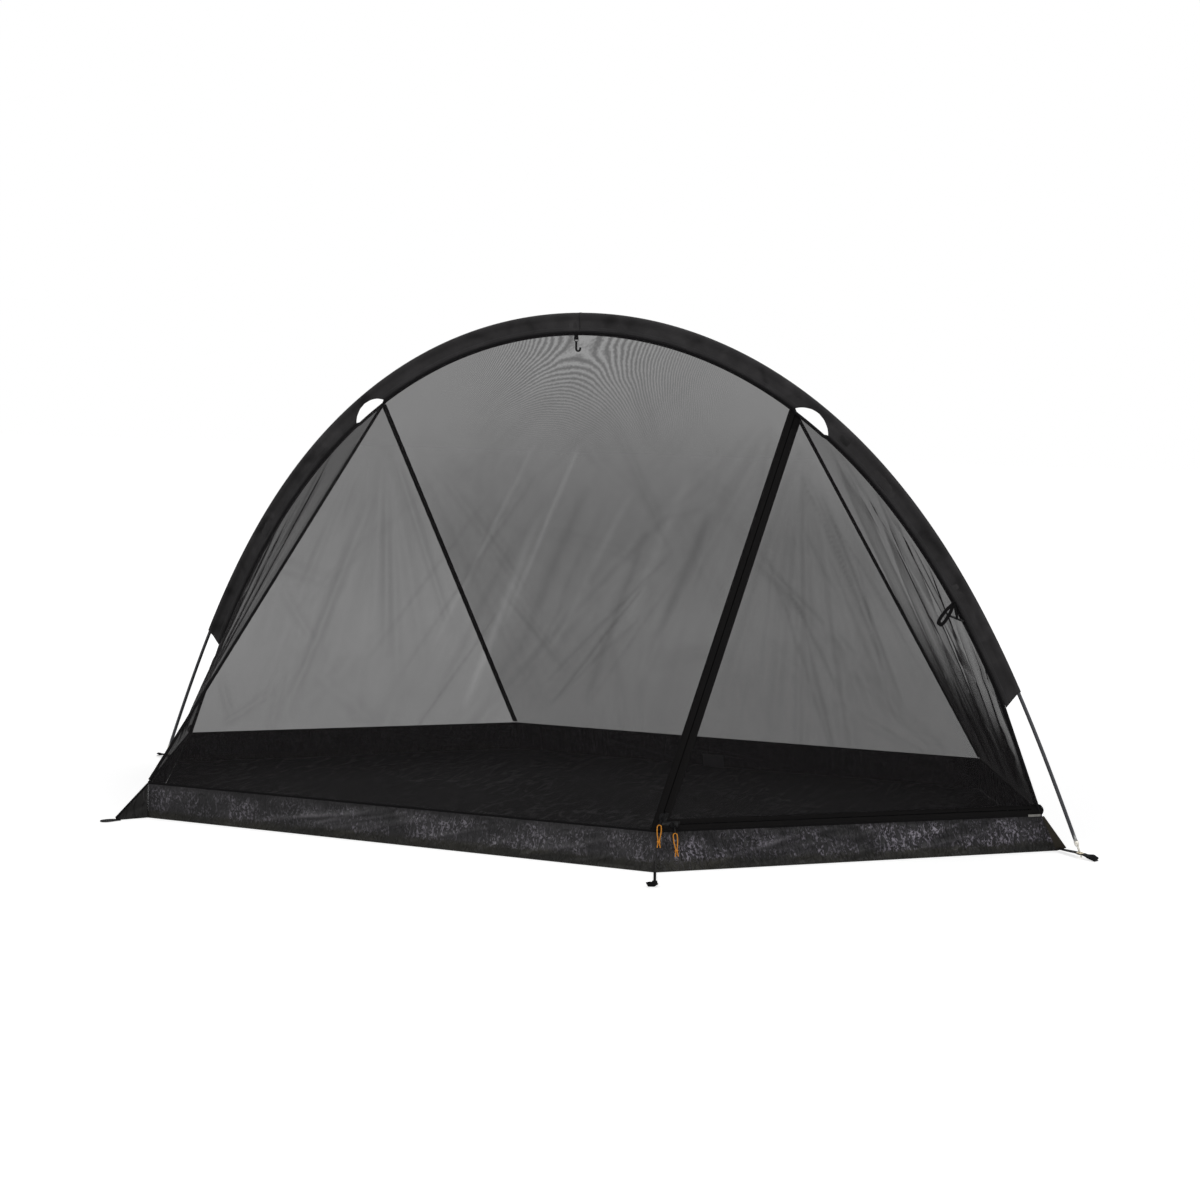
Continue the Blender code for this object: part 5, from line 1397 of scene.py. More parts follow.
@dataclass
class TentPlan:
    """The sizes and corners that every sub-assembly shares."""

    outline_height: float = 1.190
    half_span: float = 1.222
    pole_radius: float = 0.00425
    sleeve_radius: float = 0.00605
    sleeve_depth: float = 0.0425
    sleeve_end_height: float = 0.3575
    vent_length: float = 0.104
    vent_height: float = 0.024
    vent_offset: float = 0.044
    binding_depth: float = 0.0092
    binding_vent_depth: float = 0.0040
    binding_thickness: float = 0.0034
    fit: float = 0.0003
    cloth: float = 0.0010
    cloth_gap: float = 0.0006
    ridge_parting: float = 0.0009
    apex_half_x: float = 0.540
    foot: Vector = field(default_factory=lambda: Vector((1.160, 0.038, 0.0)))
    foot_top: Vector = field(default_factory=lambda: Vector((1.125, 0.027, 0.081)))
    door: Vector = field(default_factory=lambda: Vector((0.417, -0.519, 0.0)))
    door_top: Vector = field(default_factory=lambda: Vector((0.408, -0.482, 0.081)))
    end: Vector = field(default_factory=lambda: Vector((-0.853, -0.576, 0.0)))
    end_top: Vector = field(default_factory=lambda: Vector((-0.861, -0.562, 0.081)))
    zip_slot: float = 0.0018
    zip_tape: float = 0.0155
    zip_low_tape: float = 0.0110
    hoop: HoopLine = field(init=False)

    def __post_init__(self) -> None:
        """Work out the places that follow from the sizes."""
        self.hoop = HoopLine(self.outline_height - self.sleeve_radius, self.half_span)
        self.web_bottom = self.sleeve_radius - self.sleeve_depth
        self.binding_top = self.web_bottom - self.fit
        self.binding_bottom = self.binding_top - self.binding_depth
        self.ridge = self.binding_bottom - self.cloth_gap
        self.apex_s = self.hoop.find(lambda s: self.apex_half_x - self.hoop.point(s, self.ridge).x)
        self.end_s = self.hoop.find(lambda s: self.hoop.point(s).z - self.sleeve_end_height)
        self.vent_s = self.apex_s + self.vent_offset
        self.apex_right = self.hoop.point(self.apex_s, self.ridge)
        self.apex_left = self.hoop.point(-self.apex_s, self.ridge)
        self.edge_rise = UP * (self.cloth_gap + self.cloth / 2.0)
        self.zip_half = self.zip_slot / 2.0 + self.zip_tape
        self.front_along = unit(self.end_top, self.door_top)
        self.door_along = unit(self.door_top, self.foot_top)
        bisector = (self.front_along + self.door_along).normalized()
        inward = UP.cross(bisector)
        self.bisector = bisector
        self.zip_bottom = (self.door_top + self.edge_rise
                           + inward * (self.zip_half * self.front_along.cross(bisector).length))
        self.zip_line = unit(self.apex_right, self.zip_bottom)
        along = self.hoop.axes(self.apex_s)[0]
        self.apex_along = along
        self.zip_across = (along - self.zip_line * along.dot(self.zip_line)).normalized()
        self.zip_out = self.zip_line.cross(self.zip_across)
        drop = self.zip_line - self.door_along * self.zip_line.dot(self.door_along)
        self.low_up = -drop.normalized()
        self.low_out = self.door_along.cross(self.low_up)
        self.zip_reach = self.zip_half + self.cloth_gap + self.cloth / 2.0
        self.zip_foot = self.zip_bottom + bisector * (self.zip_reach
                                                      / bisector.dot(self.zip_across))
        self.zip_length = (self.apex_right - self.zip_bottom).length
        self.low_length = (self.foot_top - self.door_top).dot(self.door_along)

    def zip_point(self, along: float, across: float) -> Vector:
        """A point in the slanted zip's plane, from its lower end up."""
        return self.zip_bottom - self.zip_line * along + self.zip_across * across

    def low_point(self, along: float, rise: float) -> Vector:
        """A point in the lower zip's plane, from the door corner."""
        return self.door_top + self.edge_rise + self.door_along * along + self.low_up * rise

    def zip_level(self, rise: float, across: float) -> float:
        """How far up the slanted zip a rise of the lower zip lies."""
        return (rise * self.low_up.z - across * self.zip_across.z) / -self.zip_line.z

    def zip_corner(self, rise: float) -> float:
        """How far along the lower zip the slanted tape's outer edge lies."""
        foot = (self.zip_foot - self.door_top).dot(self.door_along)
        return foot + rise * self.zip_line.dot(self.door_along) / self.zip_line.dot(self.low_up)

    def door_spot(self, u: float, v: float) -> Vector:
        """A place on the door's cloth, as shares along the ridge and down."""
        side = self.cloth / 2.0 + self.ridge_parting
        shift = ((self.zip_reach + side * self.zip_across.y)
                 / self.apex_along.dot(self.zip_across))
        s = self.apex_s + shift + (self.end_s - self.apex_s - shift) * u
        rise = (2.0 * self.zip_low_tape + self.zip_slot + self.cloth_gap + self.cloth / 2.0)
        left = self.zip_foot + self.zip_line * (rise / self.zip_line.dot(self.low_up))
        climb = unit(self.foot_top, self.hoop.point(self.end_s, self.ridge))
        right = self.foot_top + self.edge_rise + climb * (rise / climb.dot(self.low_up))
        return self.hoop.point(s, self.ridge, -side).lerp(left.lerp(right, u), v)

    def corners(self) -> list[tuple[Vector, Vector]]:
        """The tub's six corners, low and top, from the right foot round by the door."""
        near = [(self.foot, self.foot_top), (self.door, self.door_top), (self.end, self.end_top)]
        return near + [(turned_half(low), turned_half(top)) for low, top in near]

    def web_edge(self, s: float) -> float:
        """Where the sleeve's web ends below the pole."""
        reach = self.vent_length / 2.0
        away = abs(abs(s) - self.vent_s)
        if away >= reach:
            return self.web_bottom
        radius = (reach ** 2 + self.vent_height ** 2) / (2.0 * self.vent_height)
        return self.web_bottom + math.sqrt(radius ** 2 - away ** 2) - (radius - self.vent_height)


# Sub-assemblies


@dataclass
class Studio:
    """The camera at the photograph's place, the pale floor and the soft lamps."""

    eye: tuple[float, float, float] = (1.988, -4.370, 1.127)
    yaw: float = -0.4164
    pitch: float = -0.1294
    roll: float = 0.0067
    lens: float = 60.03
    sensor: float = 36.0
    floor_half: float = 14.0
    world_light: float = 0.20
    floor_colour: float = 0.62
    floor_glow: Pair = (0.68, 0.885)
    glow_reach: Pair = (1.25, 3.6)
    floor_drop: float = 0.0006
    lit_spot: Colour = (0.1, 0.0, 0.4)
    white: tuple[float, ...] = (1.0, 1.0, 1.0, 1.0)
    lamps: tuple[tuple[str, Colour, Pair, float], ...] = (
        ("key_lamp", (-2.6, -3.6, 4.2), (2.6, 2.2), 92.0),
        ("right_lamp", (4.2, -1.6, 2.6), (2.2, 2.4), 52.0),
        ("top_lamp", (0.6, 1.4, 4.6), (3.2, 2.4), 52.0))

    def build(self) -> None:
        """Set the stage."""
        self._camera()
        self._floor()
        self._world()
        for name, place, size, power in self.lamps:
            self._lamp(name, place, size, power)
        bpy.context.scene.view_settings.view_transform = "Standard"

    def _camera(self) -> None:
        """Stand the camera where the photograph was taken from."""
        ahead = Vector((math.sin(self.yaw) * math.cos(self.pitch),
                        math.cos(self.yaw) * math.cos(self.pitch), math.sin(self.pitch)))
        right = Vector((math.cos(self.yaw), -math.sin(self.yaw), 0.0))
        above = right.cross(ahead)
        c, s = math.cos(self.roll), math.sin(self.roll)
        across, upwards = right * c + above * s, above * c - right * s
        data = bpy.data.cameras.new("photo_camera")
        data.lens, data.sensor_width = self.lens, self.sensor
        data.clip_start, data.clip_end = 0.1, 100.0
        camera = bpy.data.objects.new("photo_camera", data)
        bpy.context.scene.collection.objects.link(camera)
        camera.matrix_world = (Matrix.Translation(Vector(self.eye))
                               @ Matrix((across, upwards, -ahead)).transposed().to_4x4())
        bpy.context.scene.camera = camera

    def _floor(self) -> None:
        """Lay a plain pale floor that keeps a soft shadow."""
        floor = drawn("studio_floor", bpy.ops.mesh.primitive_plane_add,
                      size=2.0 * self.floor_half, location=(0.0, 0.0, -self.floor_drop))
        made = bpy.data.materials.new("studio_floor")
        made.use_nodes = True
        graph = Graph(made.node_tree)
        made.node_tree.nodes.clear()
        paper = graph.add("ShaderNodeBsdfDiffuse", Color=(self.floor_colour,) * 3 + (1.0,))
        away = graph.add("ShaderNodeVectorMath", operation="LENGTH")
        graph.feed(away.inputs[0], graph.add("ShaderNodeTexCoord").outputs["Object"])
        lift = graph.ramp(away.outputs["Value"], *self.glow_reach, *self.floor_glow)
        glow = graph.add("ShaderNodeEmission", Color=self.white,
                         Strength=graph.times(self._seen(graph), lift))
        both = graph.add("ShaderNodeAddShader")
        for socket, shader in zip(both.inputs, (paper, glow)):
            graph.feed(socket, shader.outputs[0])
        graph.add("ShaderNodeOutputMaterial", Surface=both.outputs[0])
        floor.data.materials.append(made)

    @staticmethod
    def _seen(graph: Graph) -> bpy.types.NodeSocket:
        """1 for rays by which the camera sees a place, 0 for those that light it."""
        ray = graph.add("ShaderNodeLightPath").outputs
        mirrored = graph.math("MAXIMUM", ray["Is Glossy Ray"], ray["Is Transmission Ray"])
        return graph.math("MAXIMUM", ray["Is Camera Ray"], mirrored)

    def _world(self) -> None:
        """Light from all round, with a white background for what is seen of it."""
        world = bpy.data.worlds.new("studio_world")
        world.use_nodes = True
        bpy.context.scene.world = world
        graph = Graph(world.node_tree)
        world.node_tree.nodes.clear()
        strength = graph.line(self._seen(graph), 1.0 - self.world_light, self.world_light)
        sky = graph.add("ShaderNodeBackground", Color=self.white, Strength=strength)
        graph.add("ShaderNodeOutputWorld", Surface=sky.outputs[0])

    def _lamp(self, name: str, place: tuple[float, float, float], size: Pair,
              power: float) -> None:
        """Hang a softbox that faces the tent.

        Args:
            name: the lamp's name.
            place: where it hangs.
            size: its width and height.
            power: its power in watts.
        """
        data = bpy.data.lights.new(name, "AREA")
        data.shape, data.size, data.size_y, data.energy = "RECTANGLE", *size, power
        lamp = bpy.data.objects.new(name, data)
        bpy.context.scene.collection.objects.link(lamp)
        lamp.location = place
        aim = Vector(self.lit_spot) - Vector(place)
        lamp.rotation_euler = aim.to_track_quat("-Z", "Y").to_euler()


@dataclass
class PoleSet:
    """Nine tube sections, what joins them, and the two turned tips."""

    plan: TentPlan
    sections: int = 9
    tip_stem: float = 0.020
    collar_length: float = 0.008
    collar_lip: float = 0.0008
    cone_length: float = 0.005
    pin_radius: float = 0.0023
    pin_length: float = 0.026
    worn_end: float = 0.010
    stations: int = 48
    tube_sides: int = 20
    tip_sides: int = 28
    stem_step: float = 0.0008
    collar_steps: tuple[Pair, ...] = ((0.0001, 0.94), (0.0006, 1.0), (0.0034, 1.0),
                                      (0.0038, 0.9), (0.0044, 0.9), (0.0048, 1.0))
    pin_share: float = 0.6
    sharpest: float = 35.0

    def build(self, roster: Roster) -> None:
        """Make the sections and tips, and dress what is hidden inside."""
        hoop = self.plan.hoop
        reach = self.pin_length + self.cone_length + self.collar_length
        length = 2.0 * hoop.half_length / self.sections
        for i in range(self.sections):
            start = -hoop.half_length + i * length + self.plan.fit / 2.0
            end = start + length - self.plan.fit
            if i == 0:
                start = -hoop.half_length + reach + self.plan.fit
            if i == self.sections - 1:
                end = hoop.half_length - reach - self.plan.fit
            node = f"pole_section_{i + 1}"
            roster.take(self._section(f"pole_tube_{i + 1}", start, end), "pole_metal",
                        Body.TENT, Slot.POLE, node)
            if i:
                roster.wardrobe.dress(frame["nodes"][f"ferrule_{i}"], "bare_tip_metal")
        roster.wardrobe.dress(frame["nodes"]["shock_cord"], "fitting_plastic")
        tip = self._tip(reach)
        for name, sign in (("right", 1.0), ("left", -1.0)):
            piece = tip.copy()
            piece.data = tip.data.copy()
            piece.name = f"turned_tip_{name}"
            bpy.context.scene.collection.objects.link(piece)
            foot = hoop.point(sign * hoop.half_length)
            along, out = hoop.axes(sign * hoop.half_length)
            put(piece, frame_of(foot, out, along * sign))
            roster.take(piece, "bare_tip_metal", Body.TENT, Slot.METAL, f"pole_tip_{name}")
        bpy.data.objects.remove(tip)

    def _section(self, name: str, start: float, end: float) -> bpy.types.Object:
        """One tube section, with its swaged ends marked.

        Args:
            name: the piece's name.
            start: arc length where it starts.
            end: arc length where it ends.

        Returns:
            The object.
        """
        hoop = self.plan.hoop
        stations = np.linspace(start, end, self.stations)
        points = [Vector(p) for p in hoop.at(stations).tolist()]
        tube = bar(name, points, self.plan.pole_radius, sides=self.tube_sides)
        s = hoop.length_at(spots(tube)[:, 0])
        near = np.minimum(np.abs(s - start), np.abs(s - end))
        marks = tube.data.attributes.new(WORN, "FLOAT", "POINT")
        marks.data.foreach_set("value", (1.0 - smooth(near / self.worn_end)).astype(np.float32))
        return tube

    def _tip(self, reach: float) -> bpy.types.Object:
        """A tip turned about local Z, with its pin's end just above the ground."""
        outward = self.plan.hoop.axes(self.plan.hoop.half_length)[1]
        end = -(self.pin_radius * self.pin_share * abs(outward.z) + self.plan.fit) / outward.x
        stem = self.plan.pole_radius - self.stem_step
        wide = self.plan.pole_radius + self.collar_lip
        cone = -reach + self.collar_length
        pin = self.pin_radius
        profile = [
            (-reach - self.tip_stem, stem * 0.9), (-reach - 0.001, stem), (-reach, stem),
            *[(-reach + rise, wide * share) for rise, share in self.collar_steps],
            (cone - 0.0005, wide), (cone, wide * 0.95),
            (cone + self.cone_length * 0.5, (wide + pin) * 0.52), (cone + self.cone_length, pin),
            (end - pin, pin), (end - pin * 0.5, pin * 0.9), (end, pin * 0.55),
        ]
        return shaded(turned("turned_tip", profile, self.tip_sides), self.sharpest)


@dataclass
class SleeveSet:
    """The pole sleeve: two halves of doubled cloth, sewn together over the top."""

    plan: TentPlan
    steps: int = 260
    web_half: float = 0.0015
    hem_half: float = 0.0010
    hem_lap: float = 0.0016
    pucker: float = 0.0014
    end_slant: float = 0.55
    end_reach: float = 0.060
    web_deep: float = 0.016
    vent_steps: int = 33
    wave_count: int = 26
    fine_wave: float = 0.00035
    fine_pitch: float = 0.021
    doubled: float = 0.0004
    web_lap: float = 0.002
    wrap_angle: float = 100.0
    seam_rise: float = 0.0007
    seam_reach: float = 0.0035
    fold_count: int = 26
    fold_tone: float = 1.2
    seed: int = 7

    def _soft_folds(self, sheet: Sheet, sign: float) -> None:
        """Paint shade and highlights of the sleeve's slack: short slanting bands between its tube
        and its hem, with no folds in the shape.
        """
        rng = np.random.default_rng(self.seed + (11 if sign > 0.0 else 23))
        for k in range(self.fold_count):
            u = (k + rng.uniform(0.2, 0.8)) / self.fold_count
            lean = rng.uniform(-0.030, 0.030)
            for low, high in ((0.02, 0.40), (0.60, 0.98)):
                start = (clipped(u - lean), low + rng.uniform(0.0, 0.10))
                end = (clipped(u + lean), high - rng.uniform(0.0, 0.12))
                # Depth 0: only painted shade or painted highlight.
                sheet.fold(start, end, rng.uniform(0.010, 0.030), 0.0,
                           rng.uniform(-self.fold_tone, self.fold_tone))

    def build(self, roster: Roster) -> None:
        """Make both halves and the raised seam between them."""
        for name, sign in (("right", 1.0), ("left", -1.0)):
            sheet = self._half(sign)
            self._soft_folds(sheet, sign)
            piece = sheet.build(f"sleeve_cloth_{name}", self.doubled)
            roster.take(piece, "sleeve_cloth", Body.TENT, Slot.SLEEVE, f"sleeve_{name}")
            flat, area = sheet.cut()

    def _section(self, s: float) -> list[Pair]:
        """Out and side distances round the folded strip at one arc length."""
        plan = self.plan
        edge = plan.web_edge(s) - self.hem_lap
        web = max(-self.web_deep, edge + self.web_lap)
        neck = -plan.sleeve_radius * 0.45
        half = float(np.interp(web, [-self.web_deep, neck],
                               [self.web_half, plan.sleeve_radius * 0.86]))
        hem = min(self.hem_half, half)
        side = [(plan.sleeve_radius * math.cos(t), plan.sleeve_radius * math.sin(t))
                for t in np.radians(np.linspace(0.0, self.wrap_angle, 9))]
        out, wide = side[-1]
        for t in np.linspace(0.18, 1.0, 5).tolist():
            ease = t * t * (3.0 - 2.0 * t)
            side.append((out + (web - out) * t, wide + (half - wide) * ease))
        for t in np.linspace(0.25, 1.0, 5).tolist():
            side.append((web + (edge - web) * t, half + (hem - half) * t))
        return [(a, -b) for a, b in side[:0:-1]] + side

    def _half(self, sign: float) -> Sheet:
        """One half of the sleeve as a sheet folded over the pole."""
        plan = self.plan
        reach = plan.vent_length / 2.0
        even = np.linspace(plan.fit / 2.0, plan.end_s, self.steps)
        vent = np.linspace(plan.vent_s - reach, plan.vent_s + reach, self.vent_steps)
        stations = np.unique(np.round(np.concatenate(
            [even[np.abs(even - plan.vent_s) > reach + self.web_lap], vent]), 6))
        rows = [self._section(float(s)) for s in stations]
        outs = np.array([[a for a, _ in row] for row in rows])
        sides = np.array([[b for _, b in row] for row in rows])
        rng = np.random.default_rng(self.seed + int(sign))
        late = smooth((stations - plan.end_s + self.end_reach) / self.end_reach)[:, None]
        arcs = stations[:, None] + self.end_slant * late * np.maximum(-outs, 0.0)
        points = plan.hoop.at(sign * arcs, outs, sides)
        steps = np.hypot(np.diff(outs, axis=1), np.diff(sides, axis=1))
        travel = np.concatenate([np.zeros((len(rows), 1)), np.cumsum(steps, axis=1)], axis=1)
        middle = travel.shape[1] // 2
        across = travel - travel[:, middle:middle + 1]
        along = stations[:, None] * np.ones_like(across)
        sheet = Sheet(points, np.stack([across, along], axis=-1))
        low = smooth((0.004 - outs) / 0.02) * smooth((outs - plan.web_bottom) / 0.008)
        waves = np.zeros_like(across)
        for _ in range(self.wave_count):
            centre = rng.uniform(0.0, plan.end_s)
            slant = rng.uniform(-1.6, 1.6)
            width = rng.uniform(0.010, 0.045)
            depth = rng.uniform(0.35, 1.0) * self.pucker * coin(rng, 0.45)
            lean = along - centre - slant * (outs - plan.web_bottom)
            waves += depth * np.exp(-((lean / width) ** 2))
        sheet.folds = waves * low
        sheet.folds += self.fine_wave * low * np.sin(along * math.tau / self.fine_pitch
                                                     + 3.0 * np.sin(along * 9.0))
        sheet.folds += np.exp(-((along / self.seam_reach) ** 2)) * self.seam_rise
        sheet.shade = 0.25 * np.exp(-((along - self.seam_reach) / 0.0012) ** 2)
        return sheet


@dataclass
class RidgeTape:
    """The binding along the sleeve's lower edge, and the tape that holds the hook."""

    plan: TentPlan
    step: float = 0.008
    lip: float = 0.0014
    vent_lip: float = 0.0036
    hook_x: float = -0.011
    hook_width: float = 0.0098
    hook_drop: float = 0.0115
    hook_half: float = 0.0026
    hook_wall: float = 0.0010
    hook_root: float = 0.004
    hook_neck: float = 0.0042
    hook_spread: float = 0.0022
    hook_corner: float = 0.001
    hook_pinch: float = 0.0006
    end_steps: int = 40
    vent_margin: float = 0.002
    vent_ease: float = 0.010
    waves: tuple[Pair, ...] = ((0.10, 190.0), (0.06, 470.0))

    def build(self, roster: Roster) -> None:
        """Make the binding and the hook's tape as one piece."""
        plan = self.plan
        hoop = plan.hoop
        count = int(2.0 * plan.end_s / self.step)
        stations = np.linspace(-plan.end_s, plan.end_s, count)
        reach = plan.vent_length / 2.0
        centres, depths = [], []
        for s in stations.tolist():
            away = abs(abs(s) - plan.vent_s)
            narrow = float(smooth((reach + self.vent_margin - away) / self.vent_ease))
            depth = plan.binding_depth + (plan.binding_vent_depth - plan.binding_depth) * narrow
            lip = self.lip + (self.vent_lip - self.lip) * narrow
            depths.append(depth + lip)
            centres.append(hoop.point(s, plan.binding_bottom + (depth - lip) / 2.0))
        ends = []
        for turn in (Turn.HALF, Turn.NONE):
            out = hoop.axes(turn.value * plan.end_s)[1]
            ends.append(turned_half(plan.foot_top, turn)
                        + UP * (plan.cloth_gap + plan.binding_depth * 0.25)
                        - out * (plan.binding_depth / 2.0))
        low = straight(ends[0], centres[0], self.end_steps, 0)
        high = straight(centres[-1], ends[1], self.end_steps)[1:]
        path = low + centres + high
        wide = [plan.binding_depth] * len(low) + depths + [plan.binding_depth] * len(high)
        travel = travelled(path)
        share = travel / travel[-1]

        def section(t: float) -> list[Pair]:
            """The tape's rounded section, a little uneven along its length."""
            depth = float(np.interp(t, share, wide))
            return oval(depth, plan.binding_thickness * swell(t, *self.waves), 14)

        tape = swept("ridge_tape", path, section, Vector((-1.0, 0.0, 0.3)))
        hook = self._hook_tape()
        piece = merged("ridge_tape", [tape, hook])
        roster.take(piece, "binding_webbing", Body.TENT, Slot.BINDING, "ridge_binding")

    def _hook_tape(self) -> bpy.types.Object:
        """A narrow tape folded into a loop that hangs from the binding."""
        bottom = self.plan.hoop.point(0.0, self.plan.binding_bottom).z
        half = self.hook_half - self.hook_wall / 2.0
        low, neck = bottom - self.hook_drop + self.hook_wall / 2.0, bottom - self.hook_neck
        side = [(self.hook_pinch, bottom + self.hook_root), (self.hook_pinch, neck),
                (half, neck - self.hook_spread), (half, low + self.hook_corner),
                (half * 0.6, low)]
        knots = [(-y, z) for y, z in side] + side[::-1]
        path = smooth_path([Vector((self.hook_x, y, z)) for y, z in knots], 5)
        return swept("hook_tape", path, lambda t: oval(self.hook_width, self.hook_wall, 12), ALONG)


@dataclass
class NettingSet:
    """The six panels of netting, the door's among them."""

    plan: TentPlan
    columns: int = 190
    rows: int = 120
    tuck: float = 0.0040
    parting: float = 0.0009
    zip_lap: float = 0.003
    seed: int = 21
    door_soft: Pair = (-0.035, 0.030)
    finishes: dict[str, str] = field(default_factory=lambda: {
        "front": "ridge_netting", "back": "back_netting", "right_end": "end_netting",
        "left_end": "left_netting"})
    pulls: tuple[tuple, ...] = (
        ("front", (
            ((0.98, 0.02), ((0.45, 1.0), (0.95, 1.0)), 8, (0.012, 0.030), (0.002, 0.005)),
            ((0.02, 0.02), ((0.05, 1.0), (0.35, 1.0)), 4, (0.014, 0.035), (0.002, 0.004)),
            ((0.99, 0.99), ((0.3, 0.1), (0.9, 0.05)), 6, (0.008, 0.022), (0.001, 0.004))),
         (26, (0.15, 0.5), (0.008, 0.030), (0.001, 0.004))),
        ("back", (
            ((0.02, 0.02), ((0.05, 1.0), (0.45, 1.0)), 6, (0.012, 0.035), (0.002, 0.005)),
            ((0.98, 0.02), ((0.6, 1.0), (0.95, 1.0)), 5, (0.012, 0.035), (0.002, 0.004))),
         (24, (0.15, 0.5), (0.008, 0.030), (0.001, 0.004))),
        ("door", (
            ((0.02, 0.03), ((0.02, 1.0), (0.9, 0.95)), 12, (0.008, 0.026), (0.002, 0.005)),
            ((0.98, 0.97), ((0.1, 0.4), (0.6, 0.98)), 6, (0.008, 0.020), (0.001, 0.004))),
         (18, (0.2, 0.6), (0.006, 0.022), (0.001, 0.003))),
        ("back_left", (
            ((0.02, 0.03), ((0.05, 1.0), (0.9, 1.0)), 10, (0.010, 0.035), (0.002, 0.006)),),
         (14, (0.2, 0.6), (0.008, 0.028), (0.001, 0.004))))
    # Netting made denser, so darker, towards the bottom: panel, share down where it starts, share
    # over which it grows, and how much. On the right end this paints the shade of the tub behind
    # it.
    densities: tuple[tuple[str, float, float, float], ...] = (
        ("back", 0.0, 0.5, 0.18), ("right_end", 0.41, 0.45, 0.35), ("left_end", 0.50, 0.4, 0.10))
    rim_reach: float = 0.035
    rim_fade: float = 0.01
    steep_tone: float = 0.16
    steepest: float = 1.2
    least_tone: float = -0.2
    most_tone: float = 0.42
    gathers: tuple[tuple[str, int, float], ...] = (
        ("right_end", 13, 0.0075), ("left_end", 11, 0.0065))
    door_streaks: int = 9
    front_streaks: int = 7
    front_drapes: int = 15

    def build(self, roster: Roster) -> None:
        """Make every panel."""
        plan = self.plan
        hoop = plan.hoop
        edge = plan.ridge + self.tuck
        u = np.linspace(0.0, 1.0, self.columns + 1)
        zip_top = (plan.zip_half - self.zip_lap) / plan.apex_along.dot(plan.zip_across)
        zip_low = (plan.zip_half - self.zip_lap) / plan.bisector.dot(plan.zip_across)
        tub = {name: np.array(point) for name, point in (
            ("door", plan.door_top), ("end", plan.end_top), ("foot", plan.foot_top),
            ("far_door", turned_half(plan.door_top)), ("far_end", turned_half(plan.end_top)),
            ("far_foot", turned_half(plan.foot_top)))}

        def ridge(start: float, end: float, side: float) -> np.ndarray:
            """The hoop's ridge between two arc lengths."""
            return hoop.at(start + (end - start) * u, edge, side * self.parting)

        def low(start: np.ndarray, end: np.ndarray) -> np.ndarray:
            """A straight edge on the tub's top."""
            return start + (end - start) * u[:, None] + np.array(UP) * plan.cloth_gap

        apex, end_s = plan.apex_s, plan.end_s
        front_low = np.array(plan.zip_bottom - plan.bisector * zip_low)
        edges = (
            ("front", (-apex, apex - zip_top, -1.0), (tub["end"], front_low)),
            ("back", (apex, -apex, 1.0), (tub["far_end"], tub["far_door"])),
            ("back_left", (-apex, -end_s, 1.0), (tub["far_door"], tub["far_foot"])),
            ("right_end", (apex, end_s, 1.0), (tub["far_end"], tub["foot"])),
            ("left_end", (-apex, -end_s, -1.0), (tub["end"], tub["far_foot"])))
        cuts = {name: Sheet.ruled(ridge(*high), low(*foot), self.rows)
                for name, high, foot in edges}
        cuts["door"] = self._door(ridge, u)
        self._wrinkle(cuts)
        for name, sheet in cuts.items():
            piece = sheet.build(f"{name}_netting")
            flat, area = sheet.cut()
            if name == "door":
                self._hang_door(roster, piece)
            else:
                finish = self.finishes.get(name, "fine_netting")
                roster.take(piece, finish, Body.TENT, Slot.NETTING, f"{name}_panel")

    def _door(self, ridge: Callable[[float, float, float], np.ndarray], u: np.ndarray) -> Sheet:
        """The door's netting, tucked under the zip's tapes."""
        plan = self.plan
        inset = plan.zip_half - self.zip_lap
        shift = inset / plan.apex_along.dot(plan.zip_across)
        rise = 2.0 * plan.zip_low_tape + plan.zip_slot - self.zip_lap
        corner = plan.zip_bottom + plan.bisector * (inset / plan.bisector.dot(plan.zip_across))
        left = corner + plan.zip_line * (rise / plan.zip_line.dot(plan.low_up))
        climb = unit(plan.foot_top, plan.hoop.point(plan.end_s, plan.ridge))
        right = plan.foot_top + plan.edge_rise + climb * (rise / climb.dot(plan.low_up))
        bottom = np.array(left) + (np.array(right) - np.array(left)) * u[:, None]
        return Sheet.ruled(ridge(plan.apex_s + shift, plan.end_s, -1.0), bottom, self.rows)

    def _hang_door(self, roster: Roster, piece: bpy.types.Object) -> None:
        """Dress the door's netting, bake its place into its mesh and hide the solids that it stands
        for; it is not bent.
        """
        joint = next(j for j in frame["joints"] if j["name"] == "door_swing")
        axis, hinge = Vector(joint["axis"]), Vector(joint["pos_m"])
        inwards = axis.cross(self.plan.zip_out).normalized()
        if inwards.dot(self.plan.zip_bottom - hinge) < 0.0:
            inwards = -inwards
        roster.wardrobe.dress(piece, "fine_netting")
        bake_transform(piece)
        roster.note(piece, Slot.NETTING, "door_leaf", "door_edge_panel")

